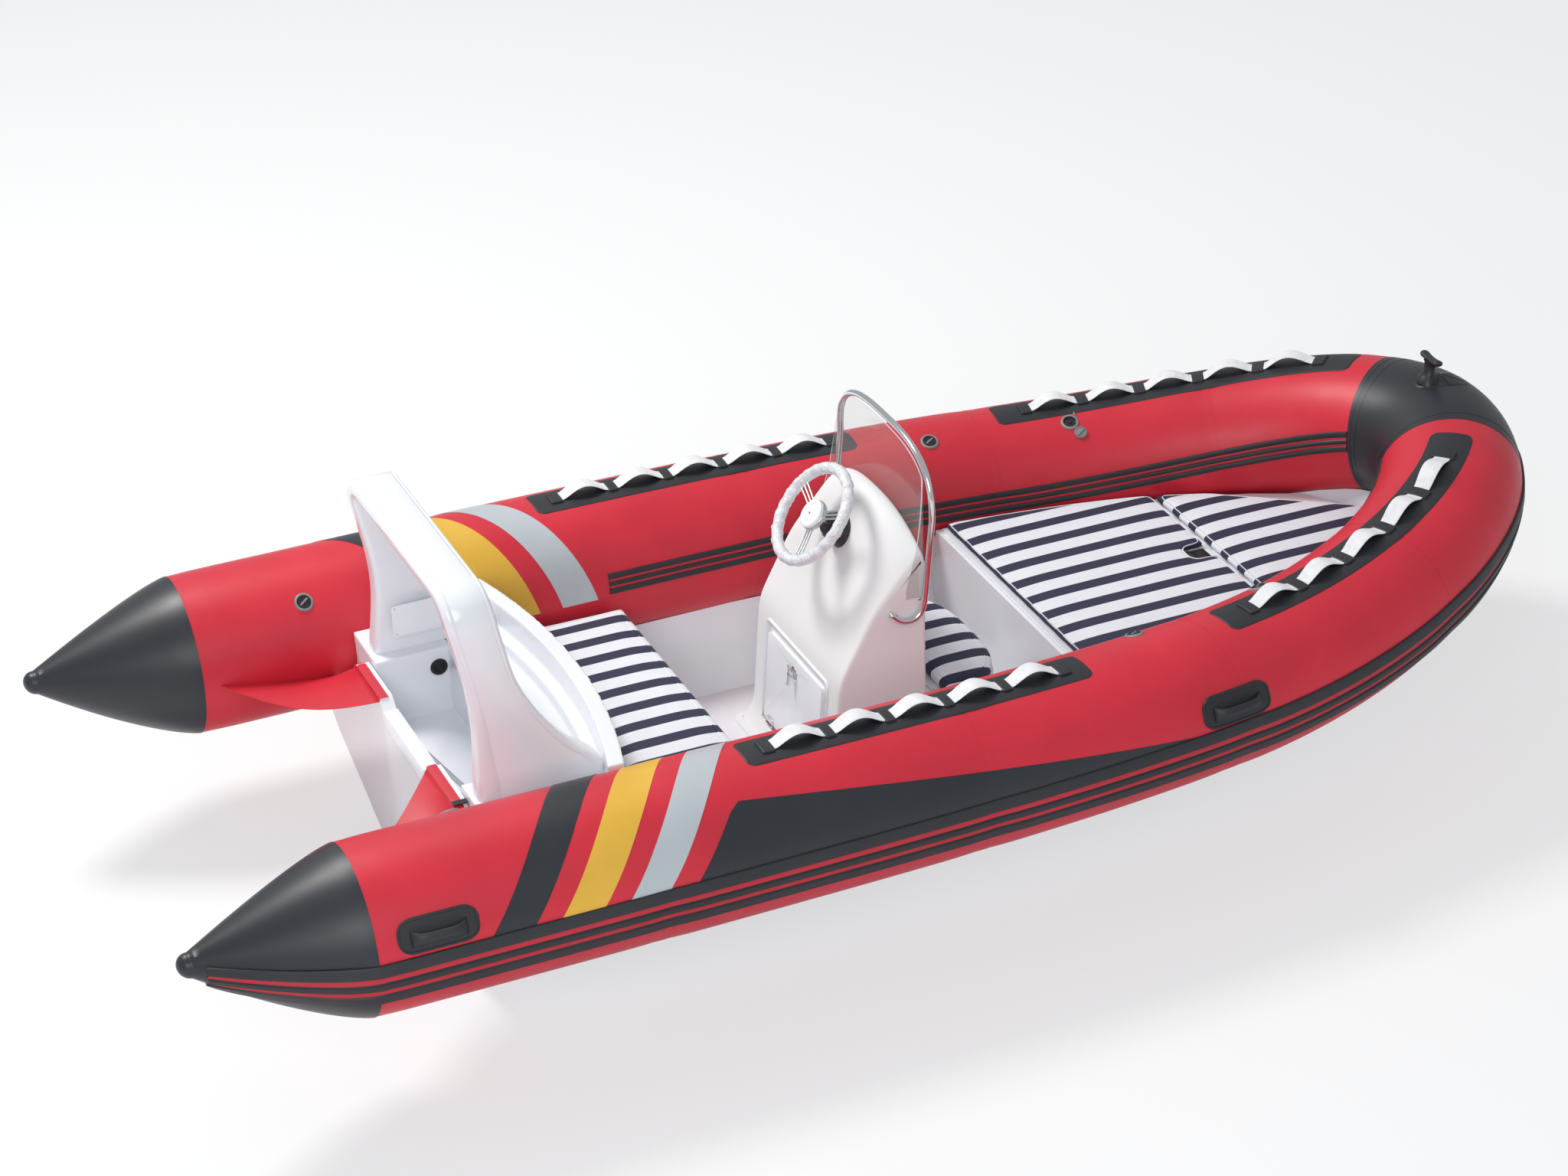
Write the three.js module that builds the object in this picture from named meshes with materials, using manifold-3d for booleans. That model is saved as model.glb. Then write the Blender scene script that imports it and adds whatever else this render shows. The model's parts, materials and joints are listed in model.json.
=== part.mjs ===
// A 5.2 m open inflatable boat with a rigid V hull: two air tubes joined by a black bow section,
// a moulded deck, a stern arch with a seat back, a steering console and a bow sundeck.
// Millimetres. +X runs to the bow, +Y to port, +Z up. The boat stands on its keel pad at z = 0.
// Inside this file a station is a distance forward of the tail cones' tips, and a level is a
// height above the axis of the straight part of the tubes.
import * as THREE from "three";
import { mergeVertices } from "three/addons/utils/BufferGeometryUtils.js";
import Module from "manifold-3d";

const wasm = await Module();
wasm.setup();

// Driving dimensions

const clearance = 0.3; // between pieces that touch
const bond = 1.5; // mean gap under a sheet glued to a tube, whose facets lie inside its true circle
const overrun = 20; // how far a cutting tool runs past what it cuts

const tube = {
  radius: 276,
  bowRadius: 253,
  halfBeam: 933, // from the centreline to the axis of a tube
  straightEnd: 1583, // station where the tubes begin to close on each other
  reach: 5200, // station of the foremost skin
  sheerStart: 3572,
  sheerRise: 221,
  bowPanelHalf: 236, // half the length of the black bow section, along its axis
  sides: 24,
};
const curvePower = { along: 3.4, across: 1.98, sheer: 2.04 };
const cone = { length: 553, tipRise: 29, tipRadius: 40 };
const coneTaperPower = 1.25;

const rubStrake = { top: 36, bottom: 117, rib: 9, groove: 5, upperRib: 44, line: 22, middleRib: 25 };
const rubStrakeEdge = 4;
const innerStrake = { width: 76, rib: 6, groove: 3.5, line: 11, outerRib: 20, aftEnd: 1473 };
const innerStrakeAngle = 171;

const patch = { width: 152, thickness: 3, endRound: 60, bond: 2.2 };
const patchAngle = 90;
const strap = { width: 55, thickness: 3, rise: 38, tail: 34, gap: 1.8 };
const strapCover = { thickness: 3, side: 9 };
// Each run: where its patch starts, from there to its first loop, then the loops' pitch and span
const grabRuns = {
  aft: { start: 1296, margin: 109, pitch: 209, span: 172 },
  forward: { start: 3066, margin: 149, pitch: 229, span: 182 },
};
const loopCount = 5;

const liftHandle = { length: 262, width: 118, pad: 4, grip: 170, bar: 22, barDepth: 13, rise: 36 };
const liftHandlePlaces = {
  aft: { along: 195, angle: 21 },
  forward: { along: 2950, angle: 21 },
};
const valve = { flange: 33, flangeHeight: 7, cap: 23, capHeight: 13, slotWidth: 6, slotDepth: 4 };
const valvePlaces = {
  aft: { along: 395, angle: 133 },
  middle: { along: 2785, angle: 112 },
  forward: { along: 3343, angle: 115 },
};
const openCap = { radius: 20, height: 9, distance: 52, tetherWidth: 10, tetherThickness: 2.5 };

const floorLevel = -420;
const liner = {
  thickness: 8,
  bevelLevel: -350,
  bevelInset: 285,
  bevelShare: 0.3, // the least share of the way up from the floor to the rim
  floorInsetShare: 0.42015, // of the half beam
  bowRise: 85,
  gap: 2, // for the adhesive between liner and hull
};
const rimAngle = 223;
const hull = {
  keelLevel: -620,
  skin: 12, // the least depth of hull under the liner
  padHalf: 100,
  chineInset: 133,
  chineDrop: 70,
  railStep: 14,
  forefoot: 3250, // station where the keel starts to rise
  stemLevel: -150,
};
const flangeAngle = 262;
const keelPower = 2.6;
const railShare = 0.52; // how far out the spray rail lies between keel pad and chine

const transom = { station: 1040, thickness: 45, top: 65, shoulderInset: 143, corner: 25 };
const cutOut = { half: 219, level: 30 };
const transomCap = { sheet: 3, skirt: 55 };
const flap = { thickness: 3, sag: 78, run: 435, corner: 21, aftAngle: 178, frontAngle: 193 };

const well = { length: 275, floorLevel: -150, half: 426, gunwale: 90 };
const seatBack = { depth: 295, rimLevel: 180, rimWidth: 58, rowRadius: 2420, trayLevel: 48, ledge: 45 };
const arch = {
  top: 782,
  sideInset: 147, // from the tube's inner side to the outer face of a leg
  thickness: 82,
  bar: 52, // height of the cross bar
  corner: 92,
  edge: 20, // radius of the moulding's long edges
};
const coverPlate = { length: 195, height: 120, thickness: 3, corner: 12, lift: 80, forward: 75 };

const rearSeat = { length: 385, height: 400, cushion: 58, lid: 10, sideGap: 22, overhang: 20, wall: 60 };
const hingeBarrel = 5;
const helmConsole = {
  aftGap: 416, // from the rear seat to the dash's aft edge
  depth: 320,
  half: 345,
  wall: 10,
  dashHeight: 471, // all heights above the floor
  kneeHeight: 705,
  sideHeight: 901,
  crownHeight: 1012,
  topHeight: 995,
  knee: 129,
  crown: 241,
  lean: 41,
  skirtHeight: 60,
  skirtReach: 48,
  corner: 32,
  flange: 26,
  flangeThickness: 12,
};
const archPower = 2.5;
const door = { width: 452, height: 340, thickness: 14, sill: 48, frame: 40, recess: 5, corner: 18 };
const latch = { spindle: 9, plate: 26, plateThickness: 4, stand: 16, bar: 5, barLength: 74, drop: 52 };
const latchSides = 12;
const hinge = { leaf: 26, leafThickness: 2.5, barrel: 4.5, length: 300 };
const wheel = { distance: 128, rim: 170, grip: 18, hub: 47, hubDepth: 26, rod: 3.5, rodPitch: 11 };
const wheelTilt = 40; // degrees between the steering shaft and the horizon
const shaftRadius = 11;
const bezel = { radius: 56, tip: 33, height: 66 };
const helm = { radius: 52, depth: 70, socket: 30, shaftLevel: 380 };
const screen = { thickness: 5, top: 1196, foot: 755, returnLength: 80, returnTop: 890 };
const rail = {
  radius: 11,
  corner: 96,
  top: 1218,
  foot: 675,
  hook: 150,
  hookCorner: 42,
  crown: 22,
  footRadius: 18,
};

const frontSeat = { reach: 344, height: 360, cushion: 55, lid: 10, hingeGap: 72, wall: 10, floor: 12 };
const frontSeatPower = 2.9;

const sundeck = { walkway: 145, height: 440, cushion: 32, board: 8, moulding: 26, tubeGap: 12 };
const hatch = { length: 800, seam: 6, sideGap: 22, openingMargin: 75, latchNotch: 92 };
const sundeckTip = { station: 1435, half: 62, shoulder: 990, shoulderHalf: 402 };
const bulkheadThickness = 12;
const slamLatch = { size: 78, thickness: 5, paddle: 44, paddleThickness: 6, pocket: 3 };

const mooring = { length: 200, width: 112, plate: 11, post: 13, postHeight: 62, bar: 11, barLength: 96 };
const mooringAngle = 82;
const mooringPostShift = 62;
const linkRod = { radius: 7, length: 500, eye: 15, eyeThickness: 10 };
const linkRodTurn = 9; // degrees away from athwartships

// Derived places

const bowCentre = tube.reach - tube.bowRadius;
const bowRun = bowCentre - tube.straightEnd;
const innerHalf = tube.halfBeam - tube.radius;
const floorInset = tube.halfBeam * liner.floorInsetShare;
const wellAft = transom.station + transom.thickness;
const wellFront = wellAft + well.length;
const seatBackFront = wellFront + seatBack.depth;
const lockerFront = seatBackFront + rearSeat.length;
const dashStation = lockerFront + helmConsole.aftGap;
const consoleFront = dashStation + helmConsole.depth;
const frontSeatTip = consoleFront + frontSeat.reach;
const bulkheadStation = frontSeatTip + sundeck.walkway;
const hatchSeam = bulkheadStation + hatch.length;

const V = (x, y, z) => new THREE.Vector3(x, y, z);
const P = (x, y) => new THREE.Vector2(x, y);
const radians = THREE.MathUtils.degToRad;
const lerp = THREE.MathUtils.lerp;
const mirrored = (p) => V(p.x, -p.y, p.z);
const series = (count, f) => Array.from({ length: count }, (_, i) => f(i));
const steps = (from, to, count) => series(count + 1, (i) => lerp(from, to, i / count));

// Solids and booleans

function signedVolume(position, index) {
  let sum = 0;
  const [a, b, c] = [V(0, 0, 0), V(0, 0, 0), V(0, 0, 0)];
  for (let i = 0; i < index.length; i += 3) {
    a.fromArray(position, 3 * index[i]);
    b.fromArray(position, 3 * index[i + 1]);
    c.fromArray(position, 3 * index[i + 2]);
    sum += a.dot(b.cross(c));
  }
  return sum;
}

function surface(position, index) {
  if (signedVolume(position, index) < 0) {
    for (let i = 0; i < index.length; i += 3) {
      [index[i + 1], index[i + 2]] = [index[i + 2], index[i + 1]];
    }
  }
  const geometry = new THREE.BufferGeometry();
  geometry.setAttribute("position", new THREE.Float32BufferAttribute(position, 3));
  geometry.setIndex(index);
  geometry.computeVertexNormals();
  return geometry;
}

// The triangles that close one ring, in the ring's own order
function capOf(ring) {
  const normal = V(0, 0, 0);
  ring.forEach((p, i) => {
    const q = ring[(i + 1) % ring.length];
    normal.add(V((p.y - q.y) * (p.z + q.z), (p.z - q.z) * (p.x + q.x), (p.x - q.x) * (p.y + q.y)));
  });
  const across = V(normal.y, normal.z, normal.x).cross(normal).normalize();
  const along = normal.clone().cross(across).normalize();
  const flat = ring.map((p) => P(p.dot(across), p.dot(along)));
  return THREE.ShapeUtils.triangulateShape(flat, []).map(([a, b, c]) => {
    const turn = flat[b].clone().sub(flat[a]).cross(flat[c].clone().sub(flat[a]));
    return turn >= 0 ? [a, b, c] : [a, c, b];
  });
}

// A body through rings of equal count. Its ends are flat, or fans about their middles, or its last
// ring is folded flat, so that its two halves meet and close the body by themselves.
function loft(rings, ends = "flat") {
  const count = rings[0].length;
  const position = rings.flat().flatMap((p) => p.toArray());
  const index = [];
  for (let k = 0; k < rings.length - 1; k += 1) {
    const a = k * count;
    const b = a + count;
    for (let i = 0; i < count; i += 1) {
      const j = (i + 1) % count;
      index.push(a + i, a + j, b + j, a + i, b + j, b + i);
    }
  }
  const last = (rings.length - 1) * count;
  if (ends === "fanned") {
    const middle = rings.length * count;
    [rings[0], rings.at(-1)].forEach((ring) => {
      const sum = ring.reduce((total, p) => total.add(p), V(0, 0, 0));
      position.push(...sum.divideScalar(count).toArray());
    });
    for (let i = 0; i < count; i += 1) {
      const j = (i + 1) % count;
      index.push(middle, j, i, middle + 1, last + i, last + j);
    }
  } else {
    capOf(rings[0]).forEach(([a, b, c]) => index.push(a, c, b));
  }
  if (ends === "flat") {
    capOf(rings.at(-1)).forEach(([a, b, c]) => index.push(last + a, last + b, last + c));
  }
  return surface(position, index);
}

// A sheet between two grids of points, one above the other. Both are split along the same
// diagonals, so that a twisted sheet keeps its thickness, and their edges are closed with walls.
function sheetBody(top, under) {
  const [lastRow, lastColumn] = [top.length - 1, top[0].length - 1];
  const position = [...top.flat(), ...under.flat()].flatMap((p) => p.toArray());
  const low = top.flat().length;
  const at = (row, column) => row * (lastColumn + 1) + column;
  const index = [];
  const quad = (a, b, c, d) => index.push(a, b, c, a, c, d);
  const wall = (a, b) => quad(a, b, low + b, low + a);
  for (let k = 0; k < lastRow; k += 1) {
    for (let i = 0; i < lastColumn; i += 1) {
      const [a, b, c, d] = [at(k, i), at(k + 1, i), at(k + 1, i + 1), at(k, i + 1)];
      quad(a, b, c, d);
      quad(low + a, low + d, low + c, low + b);
    }
    wall(at(k + 1, 0), at(k, 0));
    wall(at(k, lastColumn), at(k + 1, lastColumn));
  }
  for (let i = 0; i < lastColumn; i += 1) {
    wall(at(0, i), at(0, i + 1));
    wall(at(lastRow, i + 1), at(lastRow, i));
  }
  return surface(position, index);
}

function toSolid(source) {
  const bare = source.index ? source.toNonIndexed() : source.clone();
  Object.keys(bare.attributes).forEach((name) => name !== "position" && bare.deleteAttribute(name));
  const merged = mergeVertices(bare, 1e-3);
  const vertProperties = merged.attributes.position.array;
  return new wasm.Manifold(
    new wasm.Mesh({ numProp: 3, vertProperties, triVerts: new Uint32Array(merged.index.array) }),
  );
}

function toGeometry(solid) {
  const mesh = solid.getMesh();
  const position = [];
  for (let i = 0; i < mesh.numVert; i += 1) {
    position.push(...mesh.vertProperties.subarray(i * mesh.numProp, i * mesh.numProp + 3));
  }
  return surface(position, Array.from(mesh.triVerts));
}

const cut = (body, ...tools) =>
  toGeometry(tools.reduce((solid, tool) => solid.subtract(toSolid(tool)), toSolid(body)));
const join = (body, ...others) =>
  toGeometry(others.reduce((solid, other) => solid.add(toSolid(other)), toSolid(body)));
const common = (body, other) => toGeometry(toSolid(body).intersect(toSolid(other)));

// Simple bodies

// A plan outline in X and Y, raised from one level to another
function raised(shape, low, high) {
  const settings = { depth: high - low, bevelEnabled: false, curveSegments: 6 };
  const geometry = new THREE.ExtrudeGeometry(shape, settings);
  return geometry.translate(0, 0, low);
}

// A section in Y and Z, run along X from one station to another
function runForward(shape, aft, front) {
  const settings = { depth: front - aft, bevelEnabled: false, curveSegments: 5 };
  const geometry = new THREE.ExtrudeGeometry(shape, settings);
  const turn = new THREE.Matrix4().makeBasis(V(0, 1, 0), V(0, 0, 1), V(1, 0, 0));
  return geometry.applyMatrix4(turn).translate(aft, 0, 0);
}

// A profile in X and Z, run across from -half to +half
function runAcross(shape, half) {
  const settings = { depth: 2 * half, bevelEnabled: false, curveSegments: 5 };
  const geometry = new THREE.ExtrudeGeometry(shape, settings);
  const turn = new THREE.Matrix4().makeBasis(V(1, 0, 0), V(0, 0, 1), V(0, -1, 0));
  return geometry.applyMatrix4(turn).translate(0, half, 0);
}

const outline = (points) => new THREE.Shape(points);

function roundedRectangle(width, height, radius) {
  const [x, y] = [width / 2, height / 2];
  const shape = new THREE.Shape();
  shape.moveTo(-x + radius, -y);
  shape.lineTo(x - radius, -y);
  shape.absarc(x - radius, -y + radius, radius, -Math.PI / 2, 0);
  shape.lineTo(x, y - radius);
  shape.absarc(x - radius, y - radius, radius, 0, Math.PI / 2);
  shape.lineTo(-x + radius, y);
  shape.absarc(-x + radius, y - radius, radius, Math.PI / 2, Math.PI);
  shape.lineTo(-x, -y + radius);
  shape.absarc(-x + radius, -y + radius, radius, Math.PI, 1.5 * Math.PI);
  return shape;
}

const box = (low, high) =>
  new THREE.BoxGeometry(high.x - low.x, high.y - low.y, high.z - low.z).translate(
    (low.x + high.x) / 2,
    (low.y + high.y) / 2,
    (low.z + high.z) / 2,
  );

// A round bar of a given radius along a list of points, with its ends square
function roundBar(points, radius, sides = 8) {
  const rings = points.map((p, i) => {
    const ahead = points[Math.min(i + 1, points.length - 1)];
    const behind = points[Math.max(i - 1, 0)];
    const along = ahead.clone().sub(behind).normalize();
    const side = (Math.abs(along.x) > 0.9 ? V(0, 1, 0) : V(1, 0, 0)).cross(along).normalize();
    const up = along.clone().cross(side);
    return series(sides, (k) => {
      const angle = (2 * Math.PI * k) / sides;
      return p
        .clone()
        .addScaledVector(side, radius * Math.cos(angle))
        .addScaledVector(up, radius * Math.sin(angle));
    });
  });
  return loft(rings);
}

// The hoop: the axis of the two tubes and the bow, from the port cone round to the starboard cone

function axisPoint(turn) {
  const x = tube.straightEnd + bowRun * Math.sin(turn) ** (2 / curvePower.along);
  const y = tube.halfBeam * Math.abs(Math.cos(turn)) ** (2 / curvePower.across);
  const climb = Math.max(0, (x - tube.sheerStart) / (bowCentre - tube.sheerStart));
  return V(x, y, tube.sheerRise * climb ** curvePower.sheer);
}

const turnCount = 14;
const fineShare = 20; // fine steps in each turn
const straightMiddle = (cone.length + tube.straightEnd) / 2;
const fineAxis = [cone.length, straightMiddle].map((x) => V(x, tube.halfBeam, 0));
fineAxis.push(...steps(0, Math.PI / 2, turnCount * fineShare).map(axisPoint));
const hoopAxis = [...fineAxis, ...fineAxis.slice(0, -1).reverse().map(mirrored)];
const hoopMiles = [0];
hoopAxis.slice(1).forEach((p, i) => hoopMiles.push(hoopMiles[i] + p.distanceTo(hoopAxis[i])));
const hoopLength = hoopMiles.at(-1);
const hoopHalf = hoopLength / 2;

function axisAt(along) {
  const i = Math.max(1, Math.min(hoopMiles.length - 1, hoopMiles.findIndex((m) => m >= along)));
  const share = (along - hoopMiles[i - 1]) / (hoopMiles[i] - hoopMiles[i - 1]);
  return hoopAxis[i - 1].clone().lerp(hoopAxis[i], share);
}

function radiusAt(x) {
  const share = Math.max(0, Math.min(1, (x - tube.straightEnd) / bowRun));
  return lerp(tube.radius, tube.bowRadius, share);
}

// A station of the hoop: its centre, the outboard and upward directions, and the tube's radius
function hoopStation(along) {
  const reach = tube.radius / 20;
  const low = Math.max(0, along - reach);
  const high = Math.min(hoopLength, along + reach);
  const ahead = axisAt(high).sub(axisAt(low)).normalize();
  const outboard = V(0, 0, 1).cross(ahead).normalize();
  const centre = axisAt(along);
  return { along, centre, outboard, up: ahead.clone().cross(outboard), radius: radiusAt(centre.x) };
}

// The cone's radius falls slowly at first and ends in a round nose
function coneStation(share) {
  const noseShare = 1 - cone.tipRadius / cone.length;
  const nose = Math.max(0, (share - noseShare) / (1 - noseShare));
  const taper = 1 - Math.min(1, share / noseShare) ** coneTaperPower;
  const radius = lerp(cone.tipRadius, tube.radius, taper) * Math.sqrt(1 - nose ** 2);
  const centre = V(cone.length * (1 - share), tube.halfBeam, cone.tipRise * share ** 2);
  return { along: -cone.length * share, centre, outboard: V(0, 1, 0), up: V(0, 0, 1), radius };
}

function starboardOf(station) {
  const centre = mirrored(station.centre);
  return { ...station, along: hoopLength - station.along, centre, outboard: mirrored(station.outboard) };
}

const seamAlong = hoopHalf - tube.bowPanelHalf;
const noseShare = 1 - cone.tipRadius / cone.length;
const noseShares = [0, 0.55, 0.88, 0.995].map((share) => lerp(noseShare, 1, share));
const coneShares = [0.2, 0.42, 0.64, 0.82, ...noseShares];
const turnMiles = series(turnCount + 1, (k) => hoopMiles[2 + k * fineShare]);
const nearSeam = tube.bowPanelHalf / 8;
const clearMiles = turnMiles.filter((m) => Math.abs(m - seamAlong) > nearSeam);
const halfMiles = [0, ...clearMiles, seamAlong].sort((a, b) => a - b);
const portStations = [...coneShares.toReversed().map(coneStation), ...halfMiles.map(hoopStation)];
const hoopStations = [...portStations, ...portStations.slice(0, -1).reverse().map(starboardOf)];

// A point on the skin of the tubes. The angle is measured in degrees from outboard, over the top.
function skinOf(station, angle, lift) {
  const reach = station.radius + lift;
  return station.centre
    .clone()
    .addScaledVector(station.outboard, reach * Math.cos(radians(angle)))
    .addScaledVector(station.up, reach * Math.sin(radians(angle)));
}

function spanAt(along) {
  const i = Math.max(1, Math.min(hoopStations.length - 1, hoopStations.findIndex((s) => s.along >= along)));
  const [a, b] = [hoopStations[i - 1], hoopStations[i]];
  return { a, b, share: (along - a.along) / (b.along - a.along) };
}

function skin(along, angle, lift = 0) {
  const { a, b, share } = spanAt(along);
  return skinOf(a, angle, lift).lerp(skinOf(b, angle, lift), share);
}

function skinRadius(along) {
  const { a, b, share } = spanAt(along);
  return lerp(a.radius, b.radius, share);
}

// A point beside the axis: a distance towards the boat's middle, at the axis's own level
function inboardOf(along, inset) {
  const { a, b, share } = spanAt(along);
  const [start, end] = [a, b].map((s) => s.centre.clone().addScaledVector(s.outboard, -inset));
  return start.lerp(end, share);
}

// Places along the hoop that a sheet has to bend at, with its own ends
function bends(from, to, extra = [], margin = tube.radius / 40) {
  const inner = hoopStations.map((s) => s.along).filter((m) => m > from + margin && m < to - margin);
  const isFree = (m) => inner.every((other) => Math.abs(other - m) > margin);
  const own = extra.filter((m) => m > from && m < to && isFree(m));
  return [from, ...inner, ...own, to].sort((a, b) => a - b);
}

const onSide = (side, along) => (side > 0 ? along : hoopLength - along);
const sides = { port: 1, starboard: -1 };

// Materials

const finish = (color, roughness, metalness = 0, extra = {}) =>
  new THREE.MeshStandardMaterial({ color, roughness, metalness, ...extra });
const redFabric = finish(0xc92f3d, 0.55);
const blackFabric = finish(0x2e3134, 0.5);
const blackRubber = finish(0x232528, 0.7);
const whiteWebbing = finish(0xe9e9ea, 0.85);
const gelcoat = finish(0xeceef1, 0.25);
const stripedCloth = finish(0x8f93b0, 0.8);
const stainless = finish(0xc6cacd, 0.2, 0.95);
const acrylic = finish(0x9a8f80, 0.08, 0, { transparent: true, opacity: 0.35 });
const greyPlastic = finish(0x777b7e, 0.5);
const blackPlastic = finish(0x1d1e20, 0.4);
const whiteWrap = finish(0xe6e8ec, 0.6);

const boat = new THREE.Group();

function add(name, geometry, material, parent = boat) {
  const mesh = new THREE.Mesh(geometry, material);
  mesh.name = name;
  parent.add(mesh);
  return mesh;
}

// A group whose origin lies on the skin, with its Z along the skin's normal and X towards the bow
function skinGroup(side, along, angle) {
  const place = onSide(side, along);
  const origin = skin(place, angle);
  const normal = skin(place, angle, tube.radius).sub(origin).normalize();
  const ahead = skin(onSide(side, along + tube.radius / 10), angle).sub(origin);
  const forward = ahead.addScaledVector(normal, -ahead.dot(normal)).normalize();
  const group = new THREE.Group();
  group.matrixAutoUpdate = false;
  group.matrix.makeBasis(forward, normal.clone().cross(forward), normal).setPosition(origin);
  boat.add(group);
  return group;
}

// Tubes, cones and bow section

function tubeBody(from, to) {
  const ring = (along) => series(tube.sides, (k) => skin(along, (360 * k) / tube.sides));
  return loft(bends(from, to).map(ring));
}

const half = clearance / 2;
add("tube_port", tubeBody(half, seamAlong - half), redFabric);
add("tube_starboard", tubeBody(hoopLength - seamAlong + half, hoopLength - half), redFabric);
add("tube_bow", tubeBody(seamAlong + half, hoopLength - seamAlong - half), blackFabric);
const tipMile = cone.length * coneShares.at(-1);
add("tail_cone_port", tubeBody(-tipMile, -half), blackFabric);
add("tail_cone_starboard", tubeBody(hoopLength + half, hoopLength + tipMile), blackFabric);

// A strip glued along the tubes: its profile is a list of [girth, height], its back has its own girths
function strip(from, to, centreAngle, profile, backGirths, extra) {
  const ring = (along) => {
    const radius = skinRadius(along);
    const spread = 0.5 + (0.5 * radius) / Math.max(radius, tube.bowRadius);
    const low = bond * Math.max(1, 3.2 - (2.2 * radius) / tube.bowRadius);
    const angle = (girth) => centreAngle + THREE.MathUtils.radToDeg((girth * spread) / radius);
    const front = profile.map(([girth, height]) => skin(along, angle(girth), low + height));
    const back = backGirths.map((girth) => skin(along, angle(girth), low));
    return [...front, ...back.reverse()];
  };
  return loft(bends(from, to, extra).map(ring));
}

function ribbedProfile(top, bottom, rib, groove, edge, lines) {
  const profile = [[top, 0], [top - edge, rib]];
  lines.forEach(([start, width]) => {
    profile.push([start, rib], [start - groove, groove], [start - width + groove, groove], [start - width, rib]);
  });
  return [...profile, [-bottom + edge, rib], [-bottom, 0]];
}

function makeStrakes() {
  const { top, bottom, rib, groove, upperRib, line, middleRib } = rubStrake;
  const firstLine = top - upperRib;
  const secondLine = firstLine - line - middleRib;
  const lines = [[firstLine, line], [secondLine, line]];
  const profile = ribbedProfile(top, bottom, rib, groove, rubStrakeEdge, lines);
  const coneShare = 0.82;
  const reach = cone.length * coneShare;
  add("rub_strake", strip(-reach, hoopLength + reach, 0, profile, steps(top, -bottom, 4)), blackRubber);

  const edge = innerStrake.width / 2;
  const inner = [edge - innerStrake.outerRib, -edge + innerStrake.outerRib + innerStrake.line];
  const innerLines = inner.map((start) => [start, innerStrake.line]);
  const innerProfile = ribbedProfile(edge, edge, innerStrake.rib, innerStrake.groove, innerStrake.rib / 2, innerLines);
  Object.entries(sides).forEach(([name, side]) => {
    const ends = [innerStrake.aftEnd, seamAlong - bond].map((along) => onSide(side, along));
    const [from, to] = ends.sort((a, b) => a - b);
    const body = strip(from, to, innerStrakeAngle, innerProfile, steps(edge, -edge, 2));
    add(`inner_strake_${name}`, body, blackRubber);
  });
}
makeStrakes();

// Grab handles: a rubber patch, and one strap that rises in five loops between its covers

// Its girths from the middle outwards, given as half widths, bend it round the tube
function sheet(samples, halfWidths, centreAngle, low, high) {
  const ring = (along) => {
    const girths = halfWidths.map((width) => width(along));
    const both = [...girths.toReversed(), ...girths.map((girth) => -girth)];
    const angles = both.map((girth) => centreAngle + THREE.MathUtils.radToDeg(girth / skinRadius(along)));
    const top = angles.map((angle) => skin(along, angle, high(along)));
    const under = angles.toReversed().map((angle) => skin(along, angle, low(along)));
    return [...top, ...under];
  };
  return loft(samples.map(ring));
}

const level = (height) => () => height;
const padTop = patch.bond + patch.thickness;
const strapLow = padTop + strap.gap;
const strapHigh = strapLow + strap.thickness;

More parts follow.
